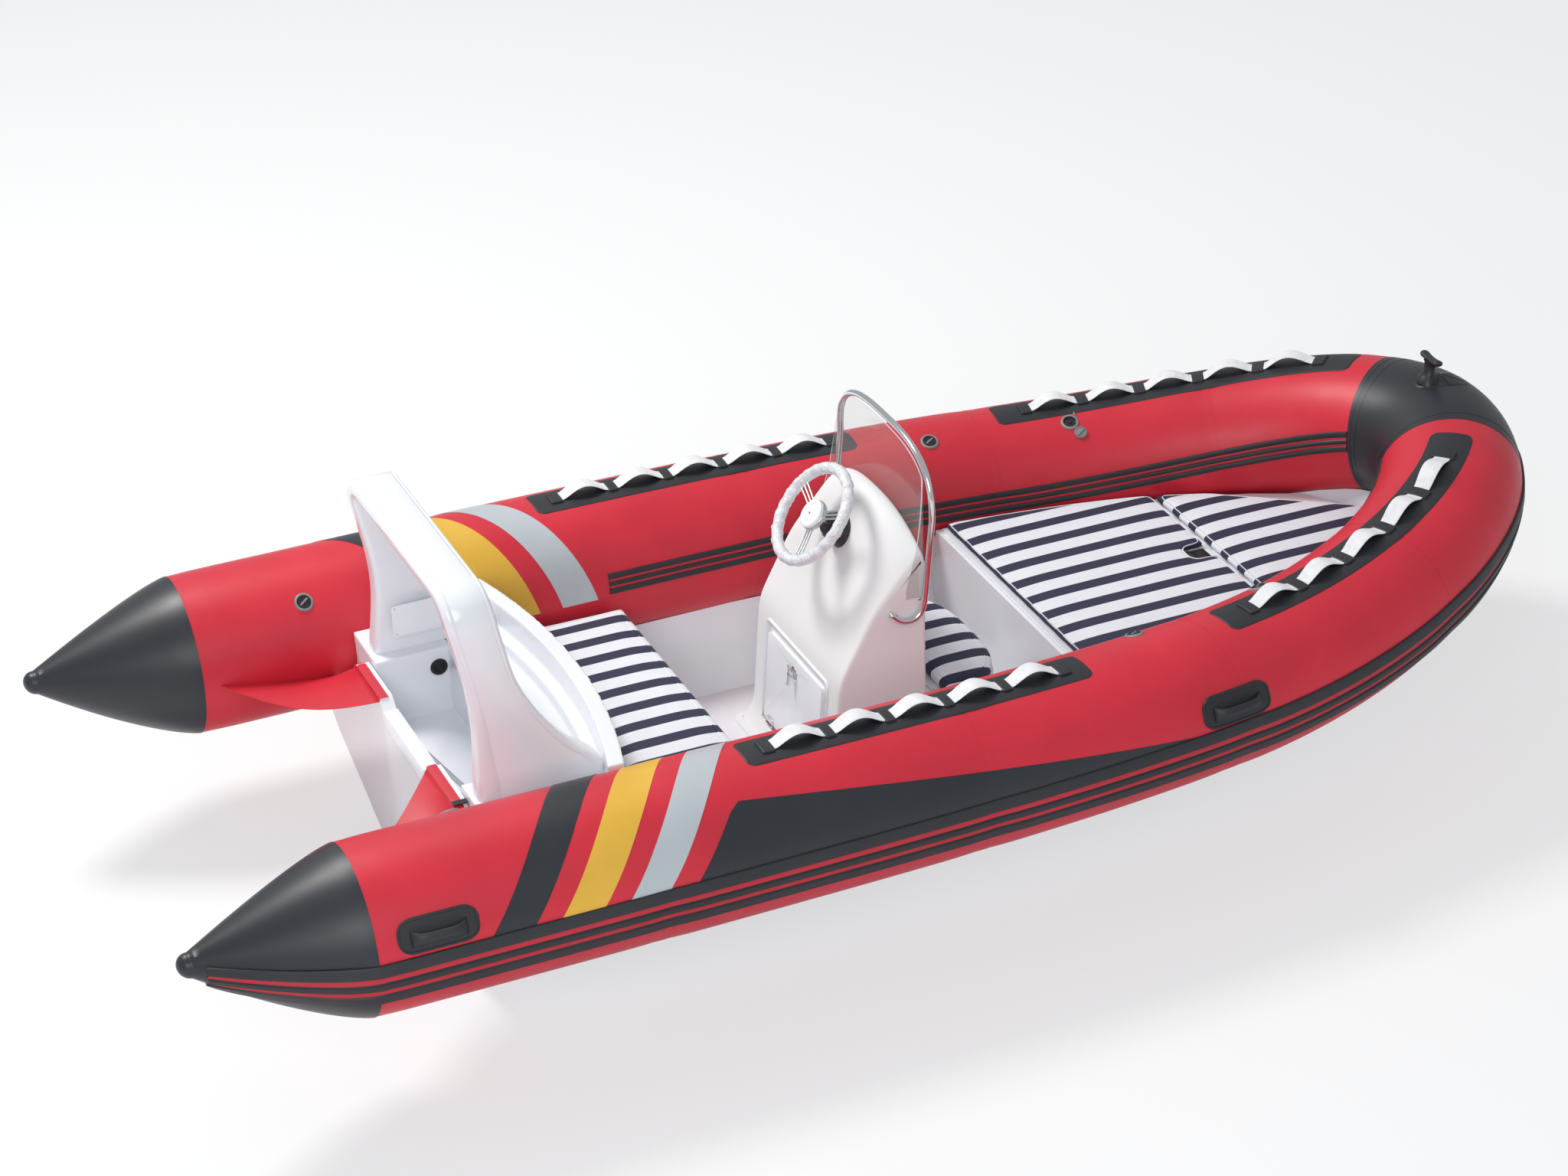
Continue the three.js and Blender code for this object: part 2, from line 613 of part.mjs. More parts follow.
function grabHandle(side, name, run) {
  const { start: patchStart, margin, pitch, span } = run;
  const firstLoop = patchStart + margin;
  const strapEnd = firstLoop + (loopCount - 1) * pitch + span;
  const patchEnd = strapEnd + margin;
  const place = (along) => onSide(side, along);
  const sorted = (list) => list.map(place).sort((a, b) => a - b);

  const roundEnd = (along) => {
    const mile = place(along);
    const inset = Math.min(mile - patchStart, patchEnd - mile);
    const share = Math.min(1, Math.max(0, inset) / patch.endRound);
    return (patch.width / 2) * lerp(0.45, 1, Math.sqrt(1 - (1 - share) ** 2));
  };
  const roundShares = [0.12, 0.4, 1];
  const roundMiles = roundShares.flatMap((s) => [patchStart + s * patch.endRound, patchEnd - s * patch.endRound]);
  const padMiles = sorted([patchStart, patchEnd]);
  const flatHalf = level(strap.width / 2 + clearance);
  const padWidths = [flatHalf, roundEnd];
  const pad = sheet(bends(...padMiles, roundMiles.map(place)), padWidths, patchAngle, level(patch.bond), level(padTop));

  const coverHalf = strap.width / 2 + strapCover.side;
  const tunnelHalf = strap.width / 2 + 2 * clearance;
  const gaps = [[firstLoop - strap.tail - strapCover.side, firstLoop]];
  series(loopCount - 1, (i) => gaps.push([firstLoop + i * pitch + span, firstLoop + (i + 1) * pitch]));
  gaps.push([strapEnd, strapEnd + strap.tail + strapCover.side]);
  const coverTop = strapHigh + 3 * clearance + strapCover.thickness;
  const covers = gaps.map((ends) =>
    sheet(sorted(ends), [level(coverHalf)], patchAngle, level(padTop - patch.thickness / 2), level(coverTop)),
  );
  const strapEnds = sorted([firstLoop - strap.tail, strapEnd + strap.tail]);
  const toolEnds = [strapEnds[0] - clearance, strapEnds[1] + clearance];
  const roof = level(strapHigh + 3 * clearance);
  const tunnel = sheet(bends(...toolEnds), [level(tunnelHalf)], patchAngle, level(padTop), roof);
  add(`grab_patch_${name}`, cut(join(pad, ...covers), tunnel), blackRubber);

  const loopShares = [-1, -0.82, -0.5, 0, 0.5, 0.82, 1];
  const loopMiles = series(loopCount, (i) => {
    const centre = firstLoop + i * pitch + span / 2;
    return loopShares.map((share) => place(centre + (share * span) / 2));
  }).flat();
  const strapMiles = bends(...strapEnds, [...new Set(loopMiles)], clearance);
  const rise = (along) => {
    const mile = place(along) - firstLoop;
    const nearest = Math.max(0, Math.min(loopCount - 1, Math.round((mile - span / 2) / pitch)));
    const share = Math.min(1, Math.abs(mile - span / 2 - nearest * pitch) / (span / 2));
    return strap.rise * (1 - share ** 2.4);
  };
  const webbing = sheet(
    strapMiles,
    [level(strap.width / 2)],
    patchAngle,
    (along) => strapLow + rise(along),
    (along) => strapHigh + rise(along),
  );
  add(`grab_webbing_${name}`, webbing, whiteWebbing);
}

Object.entries(sides).forEach(([sideName, side]) => {
  Object.entries(grabRuns).forEach(([runName, run]) => grabHandle(side, `${sideName}_${runName}`, run));
});

// Moulded lifting handles on the outer sides

function liftHandleBody(side, { along, angle }) {
  const place = (offset) => onSide(side, along + offset);
  const reach = liftHandle.length / 2;
  const corner = liftHandle.width / 2;
  const miles = [-1, 1].map((end) => place(end * reach)).sort((a, b) => a - b);
  const cornerShares = [0.08, 0.35, 0.9];
  const extra = cornerShares.flatMap((s) => [place(-reach + s * corner), place(reach - s * corner)]);
  const width = (mile) => {
    const inset = reach - Math.abs((mile - place(0)));
    const share = Math.min(1, Math.max(0, inset) / corner);
    return corner * lerp(0.3, 1, Math.sqrt(1 - (1 - share) ** 2));
  };
  const padHigh = bond + liftHandle.pad;
  const pad = sheet(bends(...miles, extra), [(mile) => width(mile) / 3, width], angle, level(bond), level(padHigh));
  const gripShares = [-1, -0.84, -0.5, 0, 0.5, 0.84, 1];
  const grip = gripShares.map((share) => {
    const mile = place((share * liftHandle.grip) / 2);
    const height = bond + liftHandle.pad / 2 + liftHandle.rise * (1 - Math.abs(share) ** 4);
    return series(6, (k) => {
      const turn = (Math.PI * k) / 3;
      const girth = (liftHandle.bar / 2) * Math.cos(turn);
      const lift = height + (liftHandle.barDepth / 2) * Math.sin(turn);
      return skin(mile, angle + THREE.MathUtils.radToDeg(girth / tube.radius), Math.max(lift, bond));
    });
  });
  return join(pad, loft(grip));
}

Object.entries(sides).forEach(([sideName, side]) => {
  Object.entries(liftHandlePlaces).forEach(([name, place]) => {
    add(`lift_handle_${sideName}_${name}`, liftHandleBody(side, place), blackRubber);
  });
});

// The tube's own facets, raised by the clearance: what a seated fitting is cut with
function seatTool(side, along, angle, reach) {
  const facet = 360 / tube.sides;
  const spread = Math.ceil(reach / (radians(facet) * tube.bowRadius)) + 1;
  const first = Math.round(angle / facet) - spread;
  const angles = series(2 * spread + 1, (k) => (first + k) * facet);
  const ends = [-1, 1].map((end) => onSide(side, along + 2 * end * reach)).sort((a, b) => a - b);
  const ring = (mile) => [
    ...angles.map((a) => skin(mile, a, clearance)),
    ...angles.toReversed().map((a) => skin(mile, a, -4 * overrun)),
  ];
  return loft(bends(...ends).map(ring));
}

function seated(group, geometry, tool) {
  const inverse = group.matrix.clone().invert();
  return cut(geometry, tool.clone().applyMatrix4(inverse));
}

// Inflation valves: a flange, a bayonet cap with a coin slot, and on one the cap hangs on its tether

function valveBody(isOpen) {
  const { flange, flangeHeight, cap, capHeight, slotWidth, slotDepth } = valve;
  const sunk = -overrun / 4;
  const bore = cap * 0.72;
  const rim = [P(0, sunk), P(flange, sunk), P(flange, flangeHeight * 0.5), P(flange * 0.9, flangeHeight)];
  const turns = 12;
  if (isOpen) {
    const sunkenFace = [P(bore, flangeHeight), P(bore * 0.85, 0), P(0, 0)];
    return new THREE.LatheGeometry([...rim, ...sunkenFace], turns).rotateX(Math.PI / 2);
  }
  const capProfile = [P(cap * 1.06, flangeHeight), P(cap, capHeight * 0.85), P(cap * 0.8, capHeight), P(0, capHeight)];
  const body = new THREE.LatheGeometry([...rim, ...capProfile], turns).rotateX(Math.PI / 2);
  const slotHalf = cap * 0.62;
  const low = V(-slotHalf, -slotWidth / 2, capHeight - slotDepth);
  return cut(body, box(low, V(slotHalf, slotWidth / 2, capHeight + overrun)));
}

function openCapBody() {
  const profile = [P(0, 0), P(openCap.radius, 0), P(openCap.radius, openCap.height * 0.6)];
  profile.push(P(openCap.radius * 0.8, openCap.height), P(0, openCap.height));
  const cap = new THREE.LatheGeometry(profile, 14).rotateX(Math.PI / 2).translate(openCap.distance, 0, 0);
  const low = V(valve.flange * 0.7, -openCap.tetherWidth / 2, 0);
  const high = V(openCap.distance, openCap.tetherWidth / 2, openCap.tetherThickness);
  return join(cap, box(low, high)).translate(0, 0, valve.flangeHeight * 0.35);
}

Object.entries(sides).forEach(([sideName, side]) => {
  Object.entries(valvePlaces).forEach(([name, { along, angle }]) => {
    const group = skinGroup(side, along, angle);
    const isOpen = sideName === "port" && name === "forward";
    const tether = openCapBody().rotateZ(side * radians(-62));
    const body = isOpen ? join(valveBody(true), tether) : valveBody(false);
    const reach = valve.flange + openCap.distance;
    add(`valve_${sideName}_${name}`, seated(group, body, seatTool(side, along, angle, reach)), greyPlastic, group);
  });
});

// Bow fitting: a moulded base with a T-shaped mooring post

function mooringFitting() {
  const { length, width, plate, post, postHeight, bar, barLength } = mooring;
  const group = skinGroup(1, hoopHalf, mooringAngle);
  const shape = new THREE.Shape();
  shape.absellipse(0, 0, width / 2, length / 2, 0, 2 * Math.PI);
  const bevel = plate / 3;
  const base = new THREE.ExtrudeGeometry(shape, {
    depth: plate + overrun,
    bevelSize: bevel,
    bevelThickness: bevel,
    bevelSegments: 2,
    curveSegments: 8,
  }).translate(0, 0, -overrun);
  const stem = new THREE.CylinderGeometry(post * 0.85, post * 1.5, postHeight, 12).rotateX(Math.PI / 2);
  stem.translate(0, -mooringPostShift, postHeight / 2 + bevel);
  const cross = new THREE.CapsuleGeometry(bar, barLength - 2 * bar, 2, 8).rotateZ(Math.PI / 2);
  cross.translate(0, -mooringPostShift, postHeight + bevel);
  const body = join(base, stem, cross);
  const seat = seatTool(1, hoopHalf, mooringAngle, length / 2 + overrun);
  add("mooring_fitting", seated(group, body, seat), blackPlastic, group);
}
mooringFitting();

// Hull, deck liner and transom share one section, which the tube's underside closes

const keelLine = (x) => {
  const stem = bowCentre - hull.chineInset;
  const share = Math.max(0, (x - hull.forefoot) / (stem - hull.forefoot));
  return hull.keelLevel + (hull.stemLevel - hull.keelLevel) * Math.min(1, share) ** keelPower;
};
const contactAngles = [225, 240, 255];

// Where the section of the port tube's station meets the centreline
function middleOf(along) {
  const { a, b, share } = spanAt(along);
  const least = floorInset + 2 * liner.thickness;
  const [start, end] = [a, b].map(({ centre, outboard }) => {
    const inset = centre.y > clearance ? centre.y / outboard.y : least;
    return centre.clone().addScaledVector(outboard, -Math.max(inset, least));
  });
  return start.lerp(end, share).setY(0);
}

// The V of the bottom: its chine, its keel pad's edge and the middle of the pad
function bottomPoints(along) {
  const chine = inboardOf(along, hull.chineInset);
  chine.z = skin(along, flangeAngle, bond).z - hull.chineDrop;
  const middle = middleOf(along);
  const keel = middle.clone().lerp(chine, Math.min(0.5, hull.padHalf / Math.max(hull.padHalf, chine.y)));
  [keel, middle].forEach((p) => p.setZ(Math.min(keelLine(p.x), chine.z - 2 * hull.railStep)));
  return [chine, keel, middle];
}

// The liner's inner or outer face at one place on the port tube: rim, bevel and floor corner
function linerPoints(along, drop) {
  const rim = skin(along, rimAngle + THREE.MathUtils.radToDeg(drop / tube.radius), bond);
  const floor = inboardOf(along, floorInset);
  const [chine, keel] = bottomPoints(along);
  const outShare = Math.max(0, (floor.y - keel.y) / (chine.y - keel.y || 1));
  const bottom = lerp(keel.z, chine.z, outShare);
  floor.z = Math.max(floorLevel, keelLine(floor.x) + liner.bowRise, bottom + liner.thickness + liner.gap + hull.skin);
  const bevel = inboardOf(along, liner.bevelInset);
  bevel.z = Math.max(liner.bevelLevel, lerp(floor.z, rim.z, liner.bevelShare)) - drop;
  floor.z -= drop;
  return [rim, bevel, floor];
}

function hullPoints(along) {
  const contact = contactAngles.map((angle) => skin(along, angle, bond));
  const flange = skin(along, flangeAngle, bond);
  const [chine, keel, middle] = bottomPoints(along);
  const railFoot = keel.clone().lerp(chine, railShare);
  const railTop = railFoot.clone().lerp(chine, hull.railStep / (chine.distanceTo(keel) + hull.railStep));
  railTop.z = railFoot.z;
  railFoot.z -= hull.railStep / 2;
  return [...contact, flange, chine, railTop, railFoot, keel, middle];
}

const transomMile = wellAft - cone.length;
const hullMiles = bends(transomMile + clearance, hoopHalf);

// A body on both sides of the centreline, from the port half of its section: the half's first and
// last points lie on the centreline, and at the bow the two halves fold together
function wholeOf(halfAt) {
  const rings = hullMiles.map((along) => {
    const portHalf = halfAt(along);
    return [...portHalf, ...portHalf.slice(1, -1).reverse().map(mirrored)];
  });
  rings.at(-1).forEach((p) => p.setY(0));
  return loft(rings, "folded");
}

function floorMiddle(along, floor) {
  return middleOf(along).setZ(floor.z);
}

function hullHalf(along) {
  const [rim, bevel, floor] = linerPoints(along, liner.thickness + liner.gap);
  return [floorMiddle(along, floor), floor, bevel, rim, ...hullPoints(along)];
}

function linerHalf(along) {
  const [rim, bevel, floor] = linerPoints(along, 0);
  const [lowRim, lowBevel, lowFloor] = linerPoints(along, liner.thickness);
  const under = [floorMiddle(along, lowFloor), lowFloor, lowBevel, lowRim];
  return [...under, rim, bevel, floor, floorMiddle(along, floor)];
}
add("hull_shell", wholeOf(hullHalf), gelcoat);
add("deck_liner", wholeOf(linerHalf), gelcoat);

// Where a line that runs along the tubes crosses a station
function crossing(line, station) {
  let [low, high] = [0, hoopHalf];
  for (let pass = 0; pass < 30; pass += 1) {
    const middle = (low + high) / 2;
    if (line(middle).x < station) low = middle;
    else high = middle;
  }
  const p = line((low + high) / 2);
  return V(station, p.y, p.z);
}

// The section between the tubes at a station, from the liner up to a level
function sectionBetween(station, top) {
  const topAngle = 180 - THREE.MathUtils.radToDeg(Math.asin(top / tube.radius));
  const facet = 360 / tube.sides;
  const isBetween = (angle) => angle > topAngle + facet / 5 && angle < rimAngle - facet / 5;
  const facetAngles = series(tube.sides, (k) => k * facet).filter(isBetween);
  const onTube = [topAngle, ...facetAngles].map((angle) => crossing((m) => skin(m, angle, 2 * bond), station));
  onTube[0].z = top;
  const inside = [0, 1, 2].map((i) => crossing((m) => linerPoints(m, 0)[i], station));
  inside.forEach((p, i) => p.set(p.x, p.y - bond, p.z + (i > 0 ? bond / 2 : 0)));
  const port = [...onTube, ...inside];
  return [...port, ...port.toReversed().map(mirrored)];
}

function fillBetween(top, aft, front) {
  const margin = tube.radius / 10;
  const bendsAt = portStations.map((s) => s.centre.x).filter((x) => x > aft + margin && x < front - margin);
  return loft([aft, ...bendsAt, front].map((x) => sectionBetween(x, top)));
}

function makeTransom() {
  const { station, thickness, top, shoulderInset, corner } = transom;
  const topHalf = innerHalf - shoulderInset;
  const place = transomMile - thickness;
  const port = [
    P(cutOut.half - corner / 2, cutOut.level),
    P(cutOut.half, cutOut.level + corner / 2),
    P(cutOut.half + corner, top),
    P(topHalf - corner, top),
    P(topHalf, top - corner),
  ];
  const [shoulder, side] = [200, 212].map((angle) => skin(place, angle, bond));
  port.push(P(shoulder.y - bond, shoulder.z), P(side.y, side.z));
  port.push(...hullPoints(transomMile).slice(0, -1).map((p) => P(p.y, p.z)));
  const shape = outline([...port, ...port.toReversed().map((p) => P(-p.x, p.y))]);
  add("transom", runForward(shape, station, station + thickness - clearance), gelcoat);

  const { sheet: sheetMetal, skirt } = transomCap;
  const [low, high] = [cutOut.level + clearance, cutOut.level + clearance + sheetMetal];
  const aft = station - clearance - sheetMetal;
  const front = station + thickness + sheetMetal;
  const inner = [P(station - clearance, low - skirt), P(station - clearance, low), P(front - sheetMetal, low)];
  const cap = [P(aft, low - skirt), ...inner, P(front - sheetMetal, low - skirt), P(front, low - skirt)];
  const profile = outline([...cap, P(front, high), P(aft, high)]);
  const reach = cutOut.half - corner / 2 - clearance;
  const capStrip = runAcross(profile, reach);
  add("transom_cap", capStrip, gelcoat);
}
makeTransom();

// Fabric gussets between the transom and the tubes

function makeFlaps() {
  const { thickness, sag, run, corner, aftAngle, frontAngle } = flap;
  const face = transom.station - clearance;
  const topHalf = innerHalf - transom.shoulderInset;
  const last = transomMile - transom.thickness;
  const [rows, columns] = [5, 3];
  Object.entries(sides).forEach(([name, side]) => {
    const point = (u, v, drop) => {
      const half = lerp(cutOut.half + transom.corner, topHalf - corner, v);
      const onTube = skin(lerp(last - run, last - corner, v), lerp(aftAngle, frontAngle, v), bond + clearance);
      const p = V(face, half, cutOut.level).lerp(onTube, u);
      p.z -= drop + sag * Math.sin(Math.PI * u) * (1 - v);
      return side > 0 ? p : mirrored(p);
    };
    const grid = (drop) => steps(0, 1, rows).map((u) => steps(0, 1, columns).map((v) => point(u, v, drop)));
    add(`transom_flap_${name}`, sheetBody(grid(0), grid(thickness)), redFabric);
  });
}
makeFlaps();

// Splash well, forward of the transom

function makeWell() {
  const aft = wellAft + transomCap.sheet + clearance;
  const block = fillBetween(well.gunwale, aft, wellFront);
  const wall = transomCap.sheet * 4;
  const tub = box(
    V(aft - overrun, -well.half, well.floorLevel),
    V(wellFront - wall, well.half, well.gunwale + overrun),
  );
  add("splash_well", cut(block, tub), gelcoat);

  const { radius, length, eye, eyeThickness } = linkRod;
  const bar = new THREE.CylinderGeometry(radius, radius, length, 8);
  const eyes = [-1, 1].map((end) =>
    new THREE.CylinderGeometry(eye, eye, eyeThickness, 12).rotateX(Math.PI / 2).translate(0, (end * length) / 2, 0),
  );
  const rodGroup = new THREE.Group();
  rodGroup.position.set(wellAft + well.length * 0.36, well.half * 0.12, well.floorLevel + radius + clearance);
  rodGroup.rotation.z = radians(linkRodTurn);
  boat.add(rodGroup);
  add("steering_link_rod", join(bar, ...eyes), stainless, rodGroup);
}
makeWell();

// Seat back: a moulded row between the arch's legs, whose front is a shallow arc

const rowArc = (front, y) => front - seatBack.rowRadius + Math.sqrt(seatBack.rowRadius ** 2 - y ** 2);

// The plan area aft of an arc, as far back as a station
function aftOfArc(front, aft, halfWidth, count = 12) {
  const arc = steps(-halfWidth, halfWidth, count).map((y) => P(rowArc(front, y), y));
  return outline([...arc, P(aft, halfWidth), P(aft, -halfWidth)]);
}

function makeSeatBack() {
  const { rimLevel, rimWidth, trayLevel, ledge } = seatBack;
  const aft = wellFront + clearance;
  const block = fillBetween(rimLevel, aft, seatBackFront);
  const wide = innerHalf + overrun;
  const shape = raised(aftOfArc(seatBackFront, aft - overrun, wide), floorLevel - overrun, rimLevel + overrun);
  const shelf = raised(aftOfArc(seatBackFront - rimWidth, aft - overrun, wide), well.gunwale, rimLevel + overrun);
  const trayHalf = well.half - arch.edge;
  const trayFront = seatBackFront - rimWidth - ledge;
  const tray = raised(aftOfArc(trayFront, aft + ledge, trayHalf), trayLevel, rimLevel);
  add("seat_back", cut(common(block, shape), shelf, tray), gelcoat);
}
makeSeatBack();

// Stern arch: legs that are broad at the foot and a cross bar, one moulding with rounded long edges

const legLevels = [0, 0.04, 0.11, 0.2, 0.33, 0.5, 0.68, 0.86];
const legAftShares = [0.045, 0.055, 0.075, 0.09, 0.095, 0.09, 0.05, 0.01];
const legFrontShares = [1, 0.9, 0.74, 0.6, 0.49, 0.41, 0.35, 0.32];

function makeArch() {
  const outer = innerHalf - arch.sideInset;
  const middle = outer - arch.thickness / 2;
  const foot = well.gunwale + clearance;
  const barLevel = arch.top - arch.bar / 2;
  const legHeight = barLevel - arch.corner - foot;
  const depth = rowArc(seatBackFront - seatBack.rimWidth, outer) - clearance - bond - wellAft;
  const stationsAt = (share) => {
    const at = (shares) => {
      const i = Math.max(1, legLevels.findIndex((l) => l >= Math.min(share, legLevels.at(-1))));
      const t = (Math.min(share, legLevels[i]) - legLevels[i - 1]) / (legLevels[i] - legLevels[i - 1]);
      return wellAft + depth * lerp(shares[i - 1], shares[i], t);
    };
    return [at(legAftShares), at(legFrontShares)];
  };
  const corner = arch.corner;
  const path = legLevels.map((l) => ({ y: middle, z: foot + l * legHeight, turn: 0, share: l }));
  path.push({ y: middle, z: foot + legHeight, turn: 0, share: 1 });
  const turns = [22.5, 45, 67.5, 90];
  turns.forEach((turn) => {
    const [c, s] = [Math.cos(radians(turn)), Math.sin(radians(turn))];
    path.push({ y: middle - corner * (1 - c), z: foot + legHeight + corner * s, turn, share: 1 });
  });
  const section = ({ y, z, turn, share }) => {
    const [aft, front] = stationsAt(share);
    const thick = lerp(arch.thickness, arch.bar, turn / 90) / 2;
    const direction = P(Math.cos(radians(turn)), Math.sin(radians(turn)));
    const e = Math.min(arch.edge, thick * 0.8);
    const k = e * (1 - Math.SQRT1_2);
    const corners = [
      [aft, e - thick], [aft, thick - e], [aft + k, thick - k], [aft + e, thick],
      [front - e, thick], [front - k, thick - k], [front, thick - e], [front, e - thick],
      [front - k, k - thick], [front - e, -thick], [aft + e, -thick], [aft + k, k - thick],
    ];
    return corners.map(([x, out]) => V(x, y + out * direction.x, z + out * direction.y));
  };
  const port = path.map(section);
  const starboard = port.toReversed().map((ring) => ring.map(mirrored));
  add("stern_arch", loft([...port, ...starboard]), gelcoat);

  const face = middle - arch.thickness / 2 - clearance;
  const plate = new THREE.ExtrudeGeometry(roundedRectangle(coverPlate.length, coverPlate.height, coverPlate.corner), {
    depth: coverPlate.thickness,
    bevelEnabled: false,
    curveSegments: 3,
  }).rotateX(Math.PI / 2);
  const plateGroup = new THREE.Group();
  const lift = coverPlate.lift + coverPlate.height / 2;
  plateGroup.position.set(wellAft + coverPlate.forward + coverPlate.length / 2, face, foot + lift);
  boat.add(plateGroup);
  add("arch_cover_plate", plate, gelcoat, plateGroup);
}
makeArch();

// Cushions: crowned on top, with sides that draw in between their corners

function cushionBody(planOutline, low, high, crown) {
  // planOutline(shrink) gives the edge, drawn in by a length
  const thick = high - low;
  const layers = [
    [thick * 0.16, 0], [thick * 0.05, 0.22], [0, 0.5], [thick * 0.06, 0.76], [thick * 0.24, 0.93], [thick * 0.6, 1],
  ];
  const rings = layers.map(([inset, share]) => planOutline(inset).map((p) => V(p.x, p.y, low + thick * share)));
  const top = planOutline(thick * 0.6);
  const middle = top.reduce((sum, p) => sum.add(p), P(0, 0)).divideScalar(top.length);
  [0.66, 0.33].forEach((share, i) => {
    const lift = crown * (i === 0 ? 0.7 : 0.95);
    rings.push(top.map((p) => V(lerp(middle.x, p.x, share), lerp(middle.y, p.y, share), high + lift)));
  });
  return loft(rings, "fanned");
}

// An outline of straight and curved sides, given by its corners, drawn in towards its middle
function drawnIn(points) {
  return (inset) =>
    points.map((p, i) => {
      const before = points[(i + points.length - 1) % points.length];
      const after = points[(i + 1) % points.length];
      const a = p.clone().sub(before).normalize();
      const b = after.clone().sub(p).normalize();
      const normal = P(-(a.y + b.y), a.x + b.x).normalize();
      const miter = 1 / Math.max(0.6, Math.sqrt((1 + a.dot(b)) / 2));
      return p.clone().addScaledVector(normal, inset * miter);
    });
}

// Points along the sides of a polygon, with its corners rounded by cutting them back
function eased(corners, cutBack, perSide) {
  return corners.flatMap((p, i) => {
    const next = corners[(i + 1) % corners.length];
    const run = next.clone().sub(p);
    const share = Math.min(0.4, cutBack / run.length());
    return steps(share, 1 - share, perSide).map((t) => p.clone().addScaledVector(run, t));
  });
}

function loopedHinge(station, height, halfLength) {
  const points = [V(station, -halfLength, height), V(station, halfLength, height)];
  return roundBar(points, hingeBarrel, 8);
}

// Rear seat: a locker across the boat, a lid hinged along its front edge, and its cushion

const rearTop = floorLevel + rearSeat.height;
const rearLidLow = rearTop - rearSeat.cushion - clearance - rearSeat.lid;

function makeRearSeat() {
  const top = rearLidLow - clearance;
  const block = fillBetween(top, wellFront, lockerFront);
  const wide = innerHalf + overrun;
  const behind = raised(
    aftOfArc(seatBackFront + clearance, wellFront - overrun, wide),
    floorLevel - overrun,
    top + overrun,
  );
  const wall = rearSeat.wall;
  const hollow = box(
    V(seatBackFront + wall / 2, -innerHalf + 2 * wall, floorLevel + liner.thickness),
    V(lockerFront - wall / 3, innerHalf - 2 * wall, top + overrun),
  );
  const { barrelStation, barrelLevel, barrelHalf } = rearHinge;
  const lidHalf = innerHalf - rearSeat.sideGap;
  const grooveHalf = lidHalf + clearance;
  const grooveReach = hingeBarrel + clearance;
  const groove = box(
    V(barrelStation - grooveReach, -grooveHalf, barrelLevel - grooveReach),
    V(lockerFront + overrun, grooveHalf, top + overrun),
  );
  add("rear_locker", cut(block, behind, hollow, groove), gelcoat);

  const arcAft = seatBackFront + clearance + hingeBarrel;
  const front = lockerFront - clearance;
  const arc = steps(-lidHalf, lidHalf, 10).map((y) => P(rowArc(arcAft, y), y));
  const plan = outline([P(front, -lidHalf), P(front, lidHalf), ...arc.toReversed()]);
  const board = raised(plan, rearLidLow, rearLidLow + rearSeat.lid);
  add("rear_seat_lid", join(board, loopedHinge(barrelStation, barrelLevel, barrelHalf)), gelcoat);

  const cushionFront = lockerFront + rearSeat.overhang;
  const sideArc = steps(lidHalf, -lidHalf, 14).map((y) => P(rowArc(arcAft + hingeBarrel, y), y));
  const frontEdge = eased([P(cushionFront, -lidHalf), P(cushionFront, lidHalf)], rearSeat.lid, 14).slice(0, 15);
  const points = [...frontEdge, ...sideArc];
  const ordered = drawnIn(points);
  const low = rearTop - rearSeat.cushion;
  add("rear_cushion", cushionBody(ordered, low, rearTop - 4 * bond, 4 * bond), stripedCloth);
}
const rearHinge = {
  barrelStation: lockerFront - hingeBarrel - clearance,
  barrelLevel: rearLidLow - hingeBarrel / 2,
  barrelHalf: innerHalf - 3 * rearSeat.wall,
};
makeRearSeat();

// Console: profiles in X and Z are lofted across the boat, and the crown follows a flattened arch

function consoleProfile(y, halfWidth) {
  const c = helmConsole;
  const arched = 1 - Math.min(1, Math.abs(y) / halfWidth) ** archPower;
  const past = Math.max(0, Math.abs(y) - (halfWidth - c.corner)) / c.corner;
  const rounding = c.corner * (1 - Math.sqrt(Math.max(0, 1 - past ** 2)));
  const z = (height) => floorLevel + height;
  const side = [P(0, z(c.dashHeight)), P(c.knee, z(c.kneeHeight)), P(c.depth, z(c.sideHeight))];
  const crownAt = P(c.crown, z(c.crownHeight));
  const alongSide = (share) => {
    const scaled = share * 2;
    return scaled < 1 ? side[0].clone().lerp(side[1], scaled) : side[1].clone().lerp(side[2], scaled - 1);
  };
  const onMiddle = (share) =>
    share <= crownShare ? side[0].clone().lerp(crownAt, share / crownShare) : P(c.depth, z(c.topHeight));
  const dash = dashShares.map((share) => alongSide(share).lerp(onMiddle(share), arched));
  const aftX = (height) => -c.lean * (1 - height / c.dashHeight);
  const skirt = P(aftX(c.skirtHeight), z(c.skirtHeight));
  const foot = [P(aftX(0) - c.skirtReach, z(clearance)), skirt];
  const points = [...foot, ...dash, P(c.depth, z(clearance))];
  return points.map((p) => P(dashStation + lerp(p.x + rounding, p.x - rounding, p.x / c.depth), p.y));
}
const crownShare = 0.85;
const dashShares = [0, 0.22, 0.45, 0.68, crownShare, 1];

